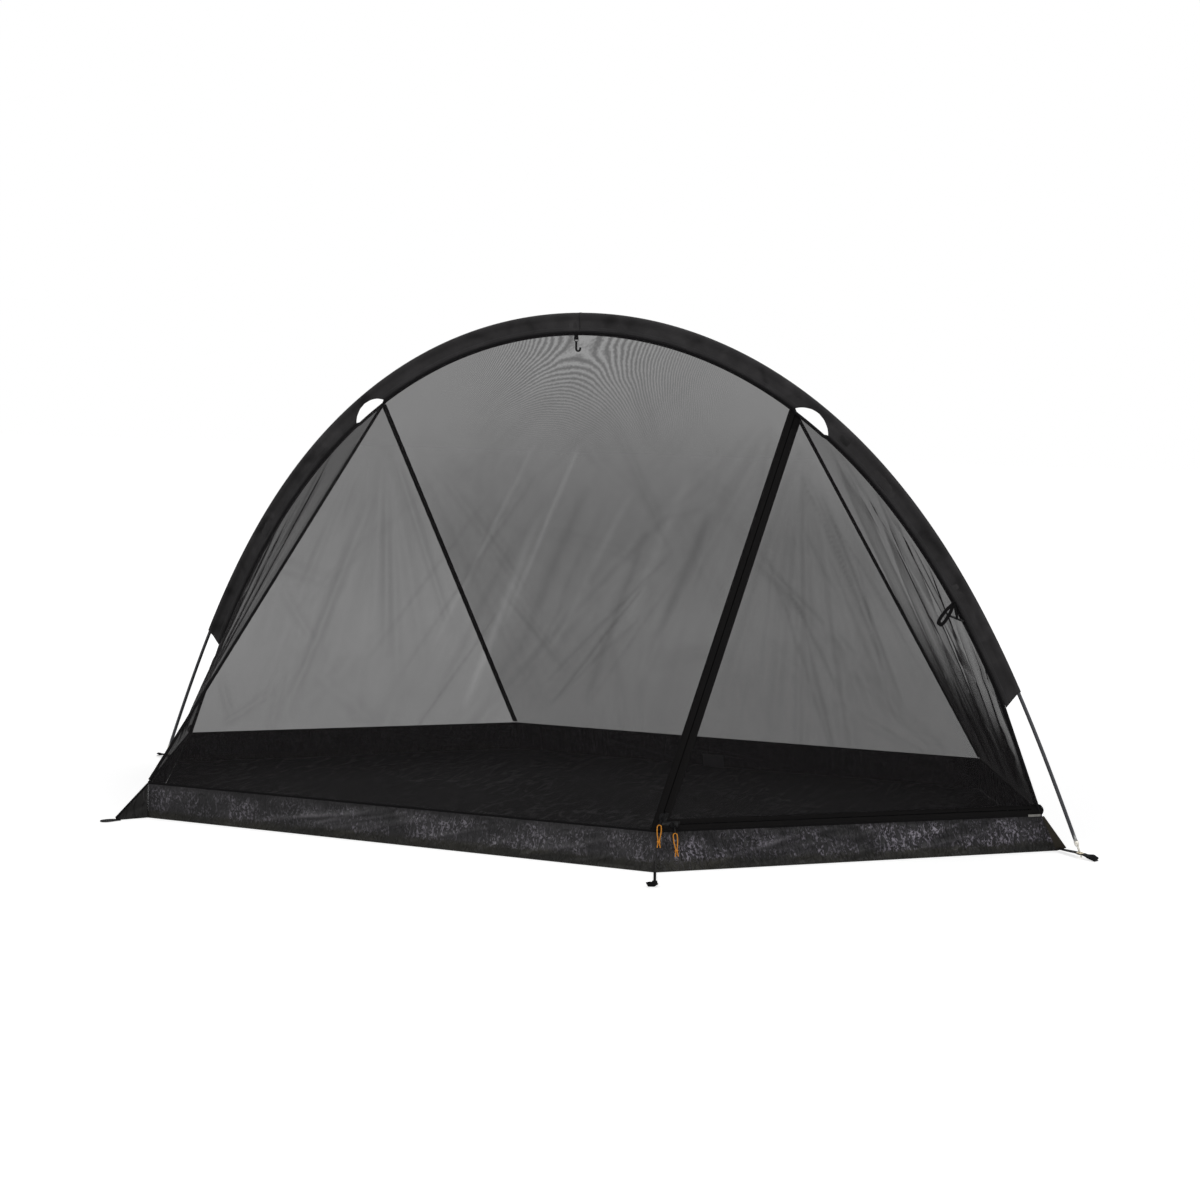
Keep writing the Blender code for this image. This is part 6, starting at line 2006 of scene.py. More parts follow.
    def _wrinkle(self, cuts: dict[str, Sheet]) -> None:
        """Lay each panel's pulls, hanging folds and loose gathers."""
        rng = np.random.default_rng(self.seed)
        for name, fans, loose in self.pulls:
            for pull in fans:
                cuts[name].fan(rng, *pull)
            cuts[name].loose(rng, *loose)
        front, door = cuts["front"], cuts["door"]
        for name, count, depth in self.gathers:
            self._gather(cuts[name], rng, count, depth)
        for _ in range(self.door_streaks):
            self._streak(door, rng, (rng.uniform(0.0, 0.3), rng.uniform(0.1, 0.5)), 0.35)
        for _ in range(self.front_streaks):
            self._streak(front, rng, (rng.uniform(0.45, 0.9), rng.uniform(0.3, 0.6)), -0.12)
        for k in range(self.front_drapes):
            u = 0.46 + 0.46 * (k + rng.uniform(0.1, 0.9)) / self.front_drapes
            v = rng.uniform(0.22, 0.5)
            end = (u - rng.uniform(0.0, 0.05), v + rng.uniform(0.3, 0.5))
            front.fold((u, v), end, rng.uniform(0.008, 0.024), rng.uniform(0.001, 0.003),
                       rng.uniform(-0.13, 0.09))
        for sheet in cuts.values():
            sheet.folds *= sheet.rim(self.rim_reach)
            slopes = [np.gradient(sheet.folds, axis=way) / np.maximum(
                np.abs(np.gradient(sheet.flat[..., way], axis=way)), 1e-4) for way in (0, 1)]
            steep = self.steep_tone * np.clip(np.hypot(*slopes), 0.0, self.steepest)
            sheet.shade = (np.clip(steep + sheet.shade, self.least_tone, self.most_tone)
                           * sheet.rim(self.rim_fade))
        down = np.linspace(0.0, 1.0, self.rows + 1)[None, :]
        # Denser and darker towards the bottom; on the right end this is painted shade.
        for name, start, span, darker in self.densities:
            cuts[name].shade += darker * smooth((down - start) / span)

    def _gather(self, sheet: Sheet, rng: np.random.Generator, count: int, depth: float) -> None:
        """Fill a slack end panel with long loose folds from the ridge to the tub."""
        for k in range(count):
            u = (k + rng.uniform(0.25, 0.75)) / count
            lean = rng.uniform(-0.06, 0.06)
            start = (clipped(u + lean), rng.uniform(0.0, 0.12))
            end = (clipped(u - lean), rng.uniform(0.75, 1.0))
            sign = 1.0 if k % 2 else -1.0
            sheet.fold(start, end, rng.uniform(0.009, 0.019), sign * depth * rng.uniform(0.5, 1.0),
                       rng.uniform(0.06, 0.19))
        sheet.loose(rng, 20, (0.2, 0.6), (0.005, 0.014), (0.001, 0.005))
        # Painted highlights: thin, less dense streaks low on the panel stand in for light caught by
        # loose folds.
        for _ in range(16):
            u, v = rng.uniform(0.05, 0.9), rng.uniform(0.5, 0.75)
            end = (clipped(u + rng.uniform(-0.12, 0.12)), v + rng.uniform(0.1, 0.25))
            sheet.fold((u, v), end, rng.uniform(0.002, 0.004), 0.0006, rng.uniform(-0.22, -0.08))

    def _streak(self, sheet: Sheet, rng: np.random.Generator, start: Pair, lean: float) -> None:
        """Lay one thin, long and sharp wrinkle, a little denser than the cloth round it."""
        end = (clipped(start[0] + lean * rng.uniform(0.6, 1.4)),
               clipped(start[1] + rng.uniform(0.25, 0.5)))
        sheet.fold(start, end, rng.uniform(0.003, 0.006), rng.uniform(0.001, 0.002),
                   rng.uniform(0.05, 0.12))


@dataclass
class SeamSet:
    """Bound seams between the panels and along the tub's top."""

    plan: TentPlan
    thickness: float = 0.0024
    thin: float = 0.0084
    wide: float = 0.0136
    rim_width: float = 0.0050
    stand_off: float = 0.0007
    waves: tuple[Pair, ...] = ((0.07, 160.0), (0.05, 410.0))
    width_share: float = 0.4
    top_gap: float = 0.001

    def build(self, roster: Roster) -> None:
        """Make the three seams and the rim's seams."""
        plan = self.plan
        seams = (
            ("seam_left_front", plan.apex_left, plan.end_top, self.thin, -1.0, 1.0),
            ("seam_right_back", plan.apex_right, turned_half(plan.end_top), self.thin, 1.0, -1.0),
            ("seam_left_back", plan.apex_left, turned_half(plan.door_top), self.wide, 1.0, 1.0),
        )
        for name, top, bottom, width, side, way in seams:
            start = top + SIDE * (side * (self.thickness / 2.0 + self.stand_off))
            end = bottom + plan.edge_rise
            line = unit(start, end)
            along = plan.front_along * way
            across = (along - line * along.dot(line)).normalized()
            path = [spot + line * self.top_gap for spot in straight(start, end, 150, 0)]
            piece = swept(f"bound_{name}", path, self._section(width), across)
            roster.take(piece, "seam_webbing", Body.TENT, Slot.BINDING, name)
        corners = plan.corners()
        for i, name in enumerate(WALLS):
            path = straight(corners[i][1], corners[(i + 1) % 6][1], 120)
            piece = swept(f"rim_seam_{name}", path, self._section(self.rim_width), UP)
            roster.take(piece, "seam_webbing", Body.TENT, Slot.BINDING)

    def _section(self, width: float) -> Callable[[float], list[Pair]]:
        """A tape's section that swells and narrows a little with its stitches."""
        def section(t: float) -> list[Pair]:
            """The section at a share of the length."""
            full = swell(t, *self.waves)
            return oval(width * (1.0 + (full - 1.0) * self.width_share), self.thickness * full)
        return section


@dataclass
class DoorZip:
    """The door's L-shaped zip: two tapes, their coils, two sliders and their pulls."""

    plan: TentPlan
    tape_thickness: float = 0.0014
    tooth_pitch: float = 0.0018
    tooth_radius: float = 0.00042
    tooth_length: float = 0.0030
    tooth_lap: float = 0.0001
    plate_gap: float = 0.0001
    backing: float = 0.0037
    crown_drop: float = 0.004
    crown_rise: float = 0.003
    guard_low: float = 0.012
    guard_sides: Pair = (0.003, 0.002)
    guard_gap: float = 0.0004
    tape_edge_round: float = 0.0004
    door_coil_gap: float = 0.001
    coil_ends: tuple[float, ...] = (0.004, 0.026, 0.028)
    door_coil_drop: float = 0.039
    corner_lap: float = 0.0015
    tape_edge: float = 0.0100
    corner_band: float = 0.0042
    corner_notch: float = 0.043
    low_notch: float = 0.022
    end_clearance: float = 0.038
    low_end: float = 0.024
    fold_end: float = 0.85
    door_low_clearance: float = 0.068
    foot_clearance: float = 0.004
    upper_lean: float = math.radians(6.0)
    upper_sway: float = math.radians(16.0)
    slider_length: float = 0.018
    slider_width: float = 0.0125
    plate: float = 0.0014
    upper_start: float = 0.030
    lower_start: float = 0.036
    bail_length: float = 0.009
    bail_tunnel: float = 0.0036
    bail_bar: float = 0.0013
    bail_wide: float = 0.0032
    post_length: float = 0.007
    bail_root: float = 0.0006
    bail_corner: Pair = (0.0009, 0.0003)
    bail_fall: float = 0.0016
    tab_length: float = 0.022
    tab_width: float = 0.0068
    tab_wire: float = 0.0012
    tab_slack: float = 0.0012
    tab_corner: float = 0.0009
    tab_shoulder: tuple[float, ...] = (0.0008, 0.0012, 0.0006)
    stem_gap: float = 0.002
    blade: float = 0.0052
    eye_bar: float = 0.0008
    eye_slack: float = 0.0004
    cord_radius: float = 0.0012
    loop_length: float = 0.036
    loop_half: float = 0.0042
    tail_length: float = 0.014
    strand_gap: float = 0.0006
    knot_drop: float = 0.002
    knot_size: tuple[float, float, float] = (0.0011, 0.0010, 0.0019)
    knot_steps: int = 48

    def build(self, roster: Roster) -> None:
        """Make the tapes, the coils, the sliders and what hangs from them."""
        self._tapes(roster)
        self._coils(roster)
        plan = self.plan
        tooth = plan.zip_low_tape + plan.zip_slot / 2.0
        hang = (plan.zip_line * math.cos(self.upper_lean)
                + plan.zip_out * math.sin(self.upper_lean))
        seats = (
            ("upper", plan.zip_point(self.upper_start, 0.0), plan.zip_line, plan.zip_across,
             True, -plan.zip_across, hang, Body.SLIDER_UPPER, Body.TAB_UPPER),
            ("lower", plan.low_point(self.lower_start, tooth), plan.door_along, plan.low_up,
             False, plan.door_along, self._wall_down(), Body.SLIDER_LOWER, Body.TAB_LOWER),
        )
        for name, origin, along, across, over, axis, down, body, tab_body in seats:
            out = along.cross(across)
            floor = self.tape_thickness / 2.0 + self.plate_gap + plan.fit + self.plate
            slider = self._slider(f"slider_{name}", over)
            put(slider, frame_of(origin, along, out))
            roster.take(slider, "zip_metal_black", body, Slot.ZIP_METAL, f"zip_slider_{name}")
            hinge = origin + out * (floor + self.bail_tunnel / 2.0)
            sway = self.upper_sway if name == "upper" else 0.0
            self._pull(roster, name, hinge, axis, down, tab_body, sway)

    def _wall_down(self) -> Vector:
        """The way down the tub's door wall, square to the lower zip."""
        wall = unit(self.plan.door_top, self.plan.door)
        return (wall - self.plan.door_along * wall.dot(self.plan.door_along)).normalized()

    def _flat(self, name: str, outline: Sequence[Pair],
              place: Callable[[float, float], Vector]) -> bpy.types.Object:
        """A flat piece of tape from its outline, in one of the zip's planes.

        Args:
            name: the piece's name.
            outline: corners as distances along and across.
            place: turns those into a point.

        Returns:
            The object, with its cut as a UV map.
        """
        bm = bmesh.new()
        layer = bm.loops.layers.uv.new(CLOTH_MAP)
        face = bm.faces.new([bm.verts.new(place(a, b)) for a, b in outline])
        for corner, (a, b) in zip(face.loops, outline):
            corner[layer].uv = (b, a)
        mesh = bpy.data.meshes.new(name)
        bm.to_mesh(mesh)
        bm.free()
        piece = link(name, mesh)
        with shaping(piece):
            bpy.ops.mesh.select_all(action="SELECT")
            bpy.ops.mesh.quads_convert_to_tris(quad_method="BEAUTY", ngon_method="BEAUTY")
            bpy.ops.mesh.normals_make_consistent(inside=False)
        finish_with(piece, "SOLIDIFY", thickness=self.tape_thickness, offset=0.0)
        return soften(piece, self.tape_edge_round)

    def _tapes(self, roster: Roster) -> None:
        """The tent's tape and the door's tape, each turning the door's corner."""
        plan = self.plan
        inner, outer = plan.zip_slot / 2.0, plan.zip_half
        lap = outer + self.corner_lap
        shelf = plan.zip_low_tape
        tilt = plan.apex_along.dot(-plan.zip_line) / plan.apex_along.dot(plan.zip_across)
        top = plan.zip_length - plan.cloth_gap * 3.0
        slant, level = plan.zip_point, plan.low_point
        tall = self._flat("tent_tape", [
            (plan.zip_level(0.0, -outer), -outer), (plan.zip_level(0.0, lap), lap),
            (plan.zip_level(shelf, lap), lap), (plan.zip_level(shelf, -inner), -inner),
            (top - inner * tilt, -inner), (top - outer * tilt, -outer)], slant)
        low = self._flat("tent_tape_low", [
            (plan.zip_corner(0.0) - self.corner_lap, 0.0), (plan.low_length - self.low_end, 0.0),
            (plan.low_length - self.low_end, shelf),
            (plan.zip_corner(shelf) - self.corner_lap, shelf)], level)
        roster.take(merged("zip_tape_sewn", [tall, low]), "zip_tape_cloth", Body.TENT,
                    Slot.ZIP_TAPE, "zip_tape_tent")
        edge = inner + self.tape_edge
        rise = shelf + plan.zip_slot
        high = rise + shelf
        step = high - self.corner_band
        end = plan.zip_length - self.end_clearance
        tall = self._flat("door_tape", [
            (plan.zip_level(step, edge), edge), (plan.zip_level(step, lap), lap),
            (plan.zip_level(high, lap), lap), (plan.zip_level(high, outer), outer), (end, outer),
            (end, inner), (self.corner_notch, inner), (self.corner_notch, edge)], slant)
        notch = plan.zip_corner(high) + self.low_notch
        end = plan.low_length * self.fold_end - self.door_low_clearance
        stop, foot = plan.low_length - self.low_end, plan.low_length - self.foot_clearance
        closed = self._flat("zip_tape_foot", [
            (end + self.corner_lap, rise), (stop, rise), (stop, 0.0), (foot, 0.0), (foot, high),
            (end + self.corner_lap, high)], level)
        roster.take(closed, "zip_tape_cloth", Body.TENT, Slot.ZIP_TAPE)
        low = self._flat("door_tape_low", [
            (plan.zip_corner(step) - self.corner_lap, step), (notch, step), (notch, rise),
            (end, rise), (end, high), (plan.zip_corner(high) - self.corner_lap, high)], level)
        roster.take(merged("zip_tape_swinging", [tall, low]), "zip_tape_cloth", Body.DOOR,
                    Slot.ZIP_TAPE, "zip_tape_door")
        start = plan.zip_length - self.end_clearance - self.crown_drop

        def behind(a: float, b: float) -> Vector:
            """A place in the slanted plane, inside the tapes and the slider."""
            return plan.zip_point(a, b) - plan.zip_out * self.backing

        crown = self._flat("zip_crown_patch", [
            (start, -outer), (start, outer), (top + outer * tilt + self.crown_rise, outer),
            (top - outer * tilt + self.crown_rise, -outer)], behind)
        left, right = -inner - self.guard_sides[0], inner + self.guard_sides[1]
        last = start - self.guard_gap
        guard = self._flat("zip_guard", [(self.guard_low, left), (last, left), (last, right),
                                         (self.guard_low, right)], behind)
        for piece in (guard, crown):
            roster.take(piece, "zip_tape_cloth", Body.TENT, Slot.ZIP_TAPE)

    def _coils(self, roster: Roster) -> None:
        """The zip's teeth, one shape copied along each side."""
        plan = self.plan
        inner = plan.zip_slot / 2.0
        shelf = plan.zip_low_tape
        drop, first, last = self.coil_ends
        runs = (
            ("sewn", Body.TENT, -1.0, self.guard_low, plan.zip_length - drop, first,
             plan.low_length - last),
            ("swinging", Body.DOOR, 1.0, self.corner_notch,
             plan.zip_length - self.door_coil_drop, plan.zip_corner(2.0 * shelf) + self.low_notch,
             plan.low_length * self.fold_end - self.door_low_clearance - self.door_coil_gap),
        )
        for name, body, sign, bottom, top, start, end in runs:
            shift = 0.0 if sign < 0.0 else self.tooth_pitch / 2.0
            off = sign * (inner - self.tooth_lap)
            seats = [frame_of(plan.zip_point(along, off), plan.zip_across * -sign, plan.zip_out)
                     for along in np.arange(bottom + shift, top, self.tooth_pitch).tolist()]
            seats += [frame_of(plan.low_point(along, shelf + inner + off), plan.low_up * -sign,
                               plan.low_out)
                      for along in np.arange(start + shift, end, self.tooth_pitch).tolist()]
            roster.take(self._teeth(f"zip_coil_{name}", seats), "coil_black", body,
                        Slot.ZIP_METAL)

    def _teeth(self, name: str, seats: Sequence[Matrix]) -> bpy.types.Object:
        """Copy one bent tooth to every seat.

        Args:
            name: the piece's name.
            seats: where each tooth goes.

        Returns:
            The object.
        """
        tooth = sized(drawn("tooth", bpy.ops.mesh.primitive_cylinder_add, vertices=6,
                            radius=self.tooth_radius, depth=self.tooth_length,
                            rotation=(0.0, math.pi / 2.0, 0.0)))
        with shaping(tooth) as bm:
            choose(bm, lambda p: p.x > self.tooth_length / 3.0)
            bpy.ops.transform.resize(value=(1.0, 1.5, 1.7))
        shape = spots(tooth)
        faces = [tuple(p.vertices) for p in tooth.data.polygons]
        bpy.data.objects.remove(tooth)
        points, polygons = [], []
        for k, seat in enumerate(seats):
            turn = np.array(seat)
            points.append(shape @ turn[:3, :3].T + turn[:3, 3])
            polygons += [tuple(i + k * len(shape) for i in face) for face in faces]
        mesh = bpy.data.meshes.new(name)
        mesh.from_pydata(np.concatenate(points).tolist(), [], polygons)
        mesh.shade_smooth()
        mesh.set_sharp_from_angle(angle=math.radians(65.0))
        return link(name, mesh)

    def _slider(self, name: str, over: bool) -> bpy.types.Object:
        """A slider with two rounded plates, a post and a bail, about its own middle.

        Args:
            name: the piece's name.
            over: whether the bail's tunnel runs across the zip.

        Returns:
            The object, with local X along the zip and Z out.
        """
        cube = bpy.ops.mesh.primitive_cube_add
        level = self.tape_thickness / 2.0 + self.plate_gap + self.plan.fit + self.plate / 2.0
        parts = []
        for sign in (1.0, -1.0):
            plate = sized(drawn("plate", cube, size=1.0, location=(0.0, 0.0, sign * level)),
                          self.slider_length, self.slider_width, self.plate)
            with shaping(plate) as bm:
                choose(bm, lambda p: abs(p.x) > 0.4 * self.slider_length
                       and abs(p.y) > 0.4 * self.slider_width, "edges")
                bpy.ops.mesh.bevel(offset=self.slider_width * 0.30, segments=4, affect="EDGES")
                choose(bm, lambda p: p.x < -0.30 * self.slider_length, "verts")
                bpy.ops.transform.resize(value=(1.0, 0.72, 1.0), center_override=(0, 0, 0))
            parts.append(soften(plate, 0.0003))
        post = sized(drawn("post", cube, size=1.0), self.post_length,
                     self.plan.zip_slot - 2.0 * self.plan.fit, 2.0 * level)
        parts.append(soften(post, 0.0002))
        floor = level + self.plate / 2.0
        reach = self.bail_length / 2.0 - self.bail_bar / 2.0
        top = floor + self.bail_tunnel + self.bail_bar / 2.0
        inset, sink = self.bail_corner
        side = [(reach, floor - self.bail_root), (reach, top - self.bail_fall),
                (reach - inset, top - sink), (reach * 0.5, top)]
        arch = [(-a, b) for a, b in side] + side[::-1]
        way, hint = (ALONG, SIDE) if over else (SIDE, ALONG)
        path = smooth_path(laid(Vector(), way, UP, arch), 4)
        parts.append(swept("bail", path, lambda t: oval(self.bail_wide, self.bail_bar, 12), hint))
        return merged(name, parts)

    def _pull(self, roster: Roster, side: str, hinge: Vector, axis: Vector, down: Vector,
              body: Body, sway: float) -> None:
        """A pull tab in the bail, and the knotted cord through its end.

        Args:
            roster: takes the pieces.
            side: "upper" or "lower".
            hinge: where the tab hangs.
            axis: what it turns about.
            down: the way it hangs.
            body: what it rides on.
            sway: how far the cord falls to the side of the tab.
        """
        out = axis.cross(down)
        reach = self.bail_length / 2.0 + self.tab_slack
        half = self.tab_width / 2.0 - self.tab_wire / 2.0
        corner, (sink, inset, lift) = self.tab_corner, self.tab_shoulder
        ring = [(-half, corner), (-half + corner, 0.0), (half - corner, 0.0), (half, corner),
                (half, reach - sink), (half - inset, reach + lift),
                (-half + inset, reach + lift), (-half, reach - sink)]
        wire = bar("pull_wire", laid(hinge, axis, down, ring), self.tab_wire / 2.0, 12,
                   closed=True)
        centre = self.tab_length - self.blade / 2.0
        stem = swept("stem", [hinge + down * (reach + lift + (centre - reach - self.stem_gap)
                                              * k / 8.0) for k in range(9)],
                     lambda t: oval(self.blade * (0.45 + 0.5 * t), self.tab_wire, 12), axis)
        ring = circle(self.cord_radius + self.eye_slack + self.eye_bar, 24)
        loop = bar("eye", laid(hinge, axis, down, [(a, centre + b) for a, b in ring]),
                   self.eye_bar, 12, closed=True)
        tab = merged(f"pull_grip_{side}", [wire, stem, loop])
        roster.take(tab, "zip_metal_black", body, Slot.ZIP_METAL, f"pull_tab_{side}")

        top = hinge + down * centre
        bend, length = self.loop_half, self.loop_length
        close = self.cord_radius + self.strand_gap / 2.0
        fall = down * math.cos(sway) - axis * math.sin(sway)
        level = axis * math.cos(sway) + down * math.sin(sway)
        knot = self._knot(f"cord_knot_{side}", top + fall * (length + self.knot_drop), level,
                          fall, out)
        roster.take(knot, "orange_braid", body, Slot.CORD)
        for number, sign in ((1, 1.0), (2, -1.0)):
            lean = 0.7 if sign > 0.0 else 0.9
            shape = [(0.0, 0.0), (sign * bend * 0.5, bend * 0.12),
                     (sign * bend * 0.87, bend * 0.5), (sign * bend, bend),
                     (sign * bend, length * 0.5), (sign * close, length),
                     (sign * bend * lean, length + self.tail_length)]
            path = smooth_path(laid(top, level, fall, shape), 6)
            cord = swept(f"pull_cord_{side}_{number}", path,
                         lambda t: circle(self.cord_radius, 12), out)
            nodes = (f"pull_cord_{side}",) if number == 1 else ()
            roster.take(cord, "orange_braid", body, Slot.CORD, *nodes)

    def _knot(self, name: str, middle: Vector, axis: Vector, down: Vector,
              out: Vector) -> bpy.types.Object:
        """An overhand knot drawn tight round both strands."""
        wide, deep, tall = self.knot_size
        points = []
        for k in range(self.knot_steps + 1):
            t = math.tau * k / self.knot_steps
            a = math.sin(t) + 1.6 * math.sin(2.0 * t)
            b = math.cos(t) - 1.6 * math.cos(2.0 * t)
            c = -math.sin(3.0 * t)
            points.append(middle + axis * (a * wide) + out * (b * deep) + down * (c * tall))
        return swept(name, points, lambda t: circle(self.cord_radius, 10), down)


@dataclass
class LanternHook:
    """The hook that hangs in the ridge tape's loop."""

    plan: TentPlan
    x: float = -0.011
    eye_wall: float = 0.0015
    body_length: float = 0.015
    rod: float = 0.0050
    bowl: float = 0.0052
    drop: float = 0.024
    tape_drop: float = 0.0115
    tape_wall: float = 0.0010
    eye_width: float = 0.0076
    eye_room: float = 0.0005
    eye_slack: float = 0.0012
    shoulder: float = 0.0022

    def build(self, roster: Roster) -> None:
        """Make the hook from its eye, its shank and its bowl."""
        plan = self.plan
        low = plan.hoop.point(0.0, plan.binding_bottom).z - self.tape_drop
        thick = self.eye_wall
        pivot = Vector((self.x, 0.0, low + self.tape_wall + plan.fit + plan.fit + thick / 2.0))
        half = self.eye_width / 2.0 + self.eye_room + thick / 2.0
        deep = self.tape_wall + plan.fit + plan.fit + self.eye_slack + thick
        ring = [(-half, 0.0), (half, 0.0), (half, deep), (half * 0.55, deep + self.shoulder),
                (-half * 0.55, deep + self.shoulder), (-half, deep)]
        eye = bar("eye", laid(pivot, ALONG, -UP, ring), thick / 2.0, 12, closed=True)
        shape = [(0.0, deep + self.eye_slack), (0.0, self.body_length), (0.0, self.drop)]
        shape += [(self.bowl - self.bowl * math.cos(t), self.drop + self.bowl * math.sin(t))
                  for t in (math.pi * k / 8.0 for k in range(1, 9))]
        shape.append((2.0 * self.bowl + 0.0006, self.drop - self.rod * 0.7))
        path = smooth_path(laid(pivot, ALONG, -UP, shape), 4)

        def section(t: float) -> list[Pair]:
            """Wider at the shoulder, thinner at the point."""
            wide = self.rod * (1.25 - 0.25 * min(t / 0.2, 1.0)) * (1.0 - 0.30 * max(t - 0.7, 0.0))
            return oval(wide, self.rod * 0.86, 14)

        rod = swept("shank", path, section, SIDE)
        hook = merged("hanging_hook", [eye, rod])
        roster.take(hook, "fitting_plastic", Body.HOOK, Slot.PLASTIC, "lantern_hook")


@dataclass
class TieBack:
    """The elastic loop and toggle that hold the rolled door."""

    plan: TentPlan
    root_height: float = 0.548
    tape_width: float = 0.0050
    tape_thickness: float = 0.0014
    loop_length: float = 0.063
    loop_half: float = 0.0100
    strand_width: float = 0.0076
    loop_lift: float = 0.0065
    loop_lean: Vector = field(default_factory=lambda: Vector((-0.57, 0.0, -0.82)))
    neck_length: float = 0.037
    neck_lean: Vector = field(default_factory=lambda: Vector((0.16, 0.0, -0.99)))
    neck_lift: float = 0.07
    toggle_length: float = 0.033
    toggle_radius: float = 0.0025
    waist_radius: float = 0.0014
    ring_wall: float = 0.0009
    toggle_aim: Vector = field(default_factory=lambda: Vector((0.97, 0.0, -0.24)))
    neck_thickness: float = 0.0010
    ring_sides: int = 28

    def build(self, roster: Roster) -> None:
        """Make the loop with its neck, and the toggle."""
        plan = self.plan
        hoop = plan.hoop
        root_s = hoop.find(lambda s: hoop.point(s, plan.ridge).z - self.root_height)
        u = (root_s - plan.apex_s) / (plan.end_s - plan.apex_s)
        out = self._door_normal(u, 0.1)
        down = (self.loop_lean - out * self.loop_lean.dot(out)).normalized()
        across = out.cross(down)
        root = hoop.point(root_s, (plan.binding_top + plan.binding_bottom) / 2.0,
                          -plan.binding_thickness / 2.0 - plan.fit)
        root = (root + out * (self.tape_thickness / 2.0)
                - SIDE * (abs(across.y) * self.tape_width * 0.8))
        self._loop(roster, root + out * self.loop_lift, across, down)
        drop = (self.neck_lean - out * self.neck_lean.dot(out)).normalized()
        drop = (drop + out * self.neck_lift).normalized()
        across = out.cross(drop).normalized()
        aim = self.toggle_aim
        bar_line = (across * aim.dot(across) + drop * aim.dot(drop)).normalized()
        square = bar_line.cross(across.cross(drop))
        if square.dot(drop) < 0.0:
            square = -square
        centre = root + drop * self.neck_length
        self._neck(roster, root, centre, across, square, bar_line)
        self._toggle(roster, centre, square, bar_line)

    def _door_normal(self, u: float, v: float) -> Vector:
        """The door cloth's outward normal at a share along and down."""
        spot = self.plan.door_spot
        side = spot(u + 0.01, v) - spot(u - 0.01, v)
        normal = side.cross(spot(u, v + 0.02) - spot(u, v - 0.02)).normalized()
        return -normal if normal.y > 0.0 else normal

    def _loop(self, roster: Roster, root: Vector, across: Vector, down: Vector) -> None:
        """The elastic tape, folded into a long loop with both ends in the binding."""
        half, length, wide = self.loop_half, self.loop_length, self.strand_width
        edge = half - wide / 2.0
        shape = [(-0.0008, -0.001), (-0.0012, length * 0.10), (-edge * 0.80, length * 0.38),
                 (-edge, length * 0.66), (-edge * 0.92, length * 0.84),
                 (-edge * 0.55, length * 0.95), (0.0, length - wide / 2.0)]
        shape += [(-a, b) for a, b in shape[-2::-1]]
        path = smooth_path(laid(root, across, down, shape), 6)
        loop = swept("tie_back_tape", path, lambda t: oval(self.tape_thickness, wide, 12),
                     across.cross(down))
        roster.take(loop, "seam_webbing", Body.TENT, Slot.ELASTIC, "tie_back_loop")

    def _neck(self, roster: Roster, root: Vector, centre: Vector, across: Vector,
              square: Vector, bar_line: Vector) -> None:
        """A short tape from the binding, sewn round the toggle's waist.

        Args:
            roster: takes the pieces.
            root: where the tape leaves the binding.
            centre: the toggle's middle.
            across: the way across the tape.
            square: the way from the tape's end to the toggle.
            bar_line: the way along the toggle.
        """
        bore = self.waist_radius + self.plan.fit
        end = centre - square * (bore + self.ring_wall / 2.0)
        strip = swept("neck_strip", straight(root, end, 12),
                      lambda t: oval(self.tape_width * 1.2, self.neck_thickness, 12),
                      across.lerp(bar_line, 0.5))
        path = laid(centre, square, bar_line.cross(square),
                    circle(bore + self.ring_wall / 2.0, self.ring_sides))
        ring = swept("neck_ring", path, lambda t: oval(self.tape_width, self.ring_wall, 10),
                     bar_line, closed=True)
        roster.take(merged("toggle_neck", [strip, ring]), "anchor_webbing", Body.TENT,
                    Slot.ELASTIC)

    def _toggle(self, roster: Roster, centre: Vector, square: Vector, bar_line: Vector) -> None:
        """The barrel toggle, turned with rounded ends, two grooves and a waist."""
        reach, full = self.toggle_length / 2.0, self.toggle_radius
        waist = self.tape_width / 2.0 + self.plan.fit
        half = [(reach, full * 0.42), (reach - 0.0004, full * 0.70), (reach - 0.0010, full * 0.90),
                (reach - 0.0019, full), (reach - 0.0042, full), (reach - 0.0045, full * 0.88),
                (reach - 0.0051, full * 0.88), (reach - 0.0054, full),
                (waist + 0.0016, full), (waist + 0.0007, full * 0.93),
                (waist + 0.0001, full * 0.72), (waist, self.waist_radius)]
        profile = [(-a, r) for a, r in half] + half[::-1]
        toggle = turned("toggle_bar", profile, self.ring_sides)
        shaded(put(toggle, frame_of(centre, square, bar_line)))
        roster.take(toggle, "fitting_plastic", Body.TOGGLE, Slot.PLASTIC, "tie_back_toggle")


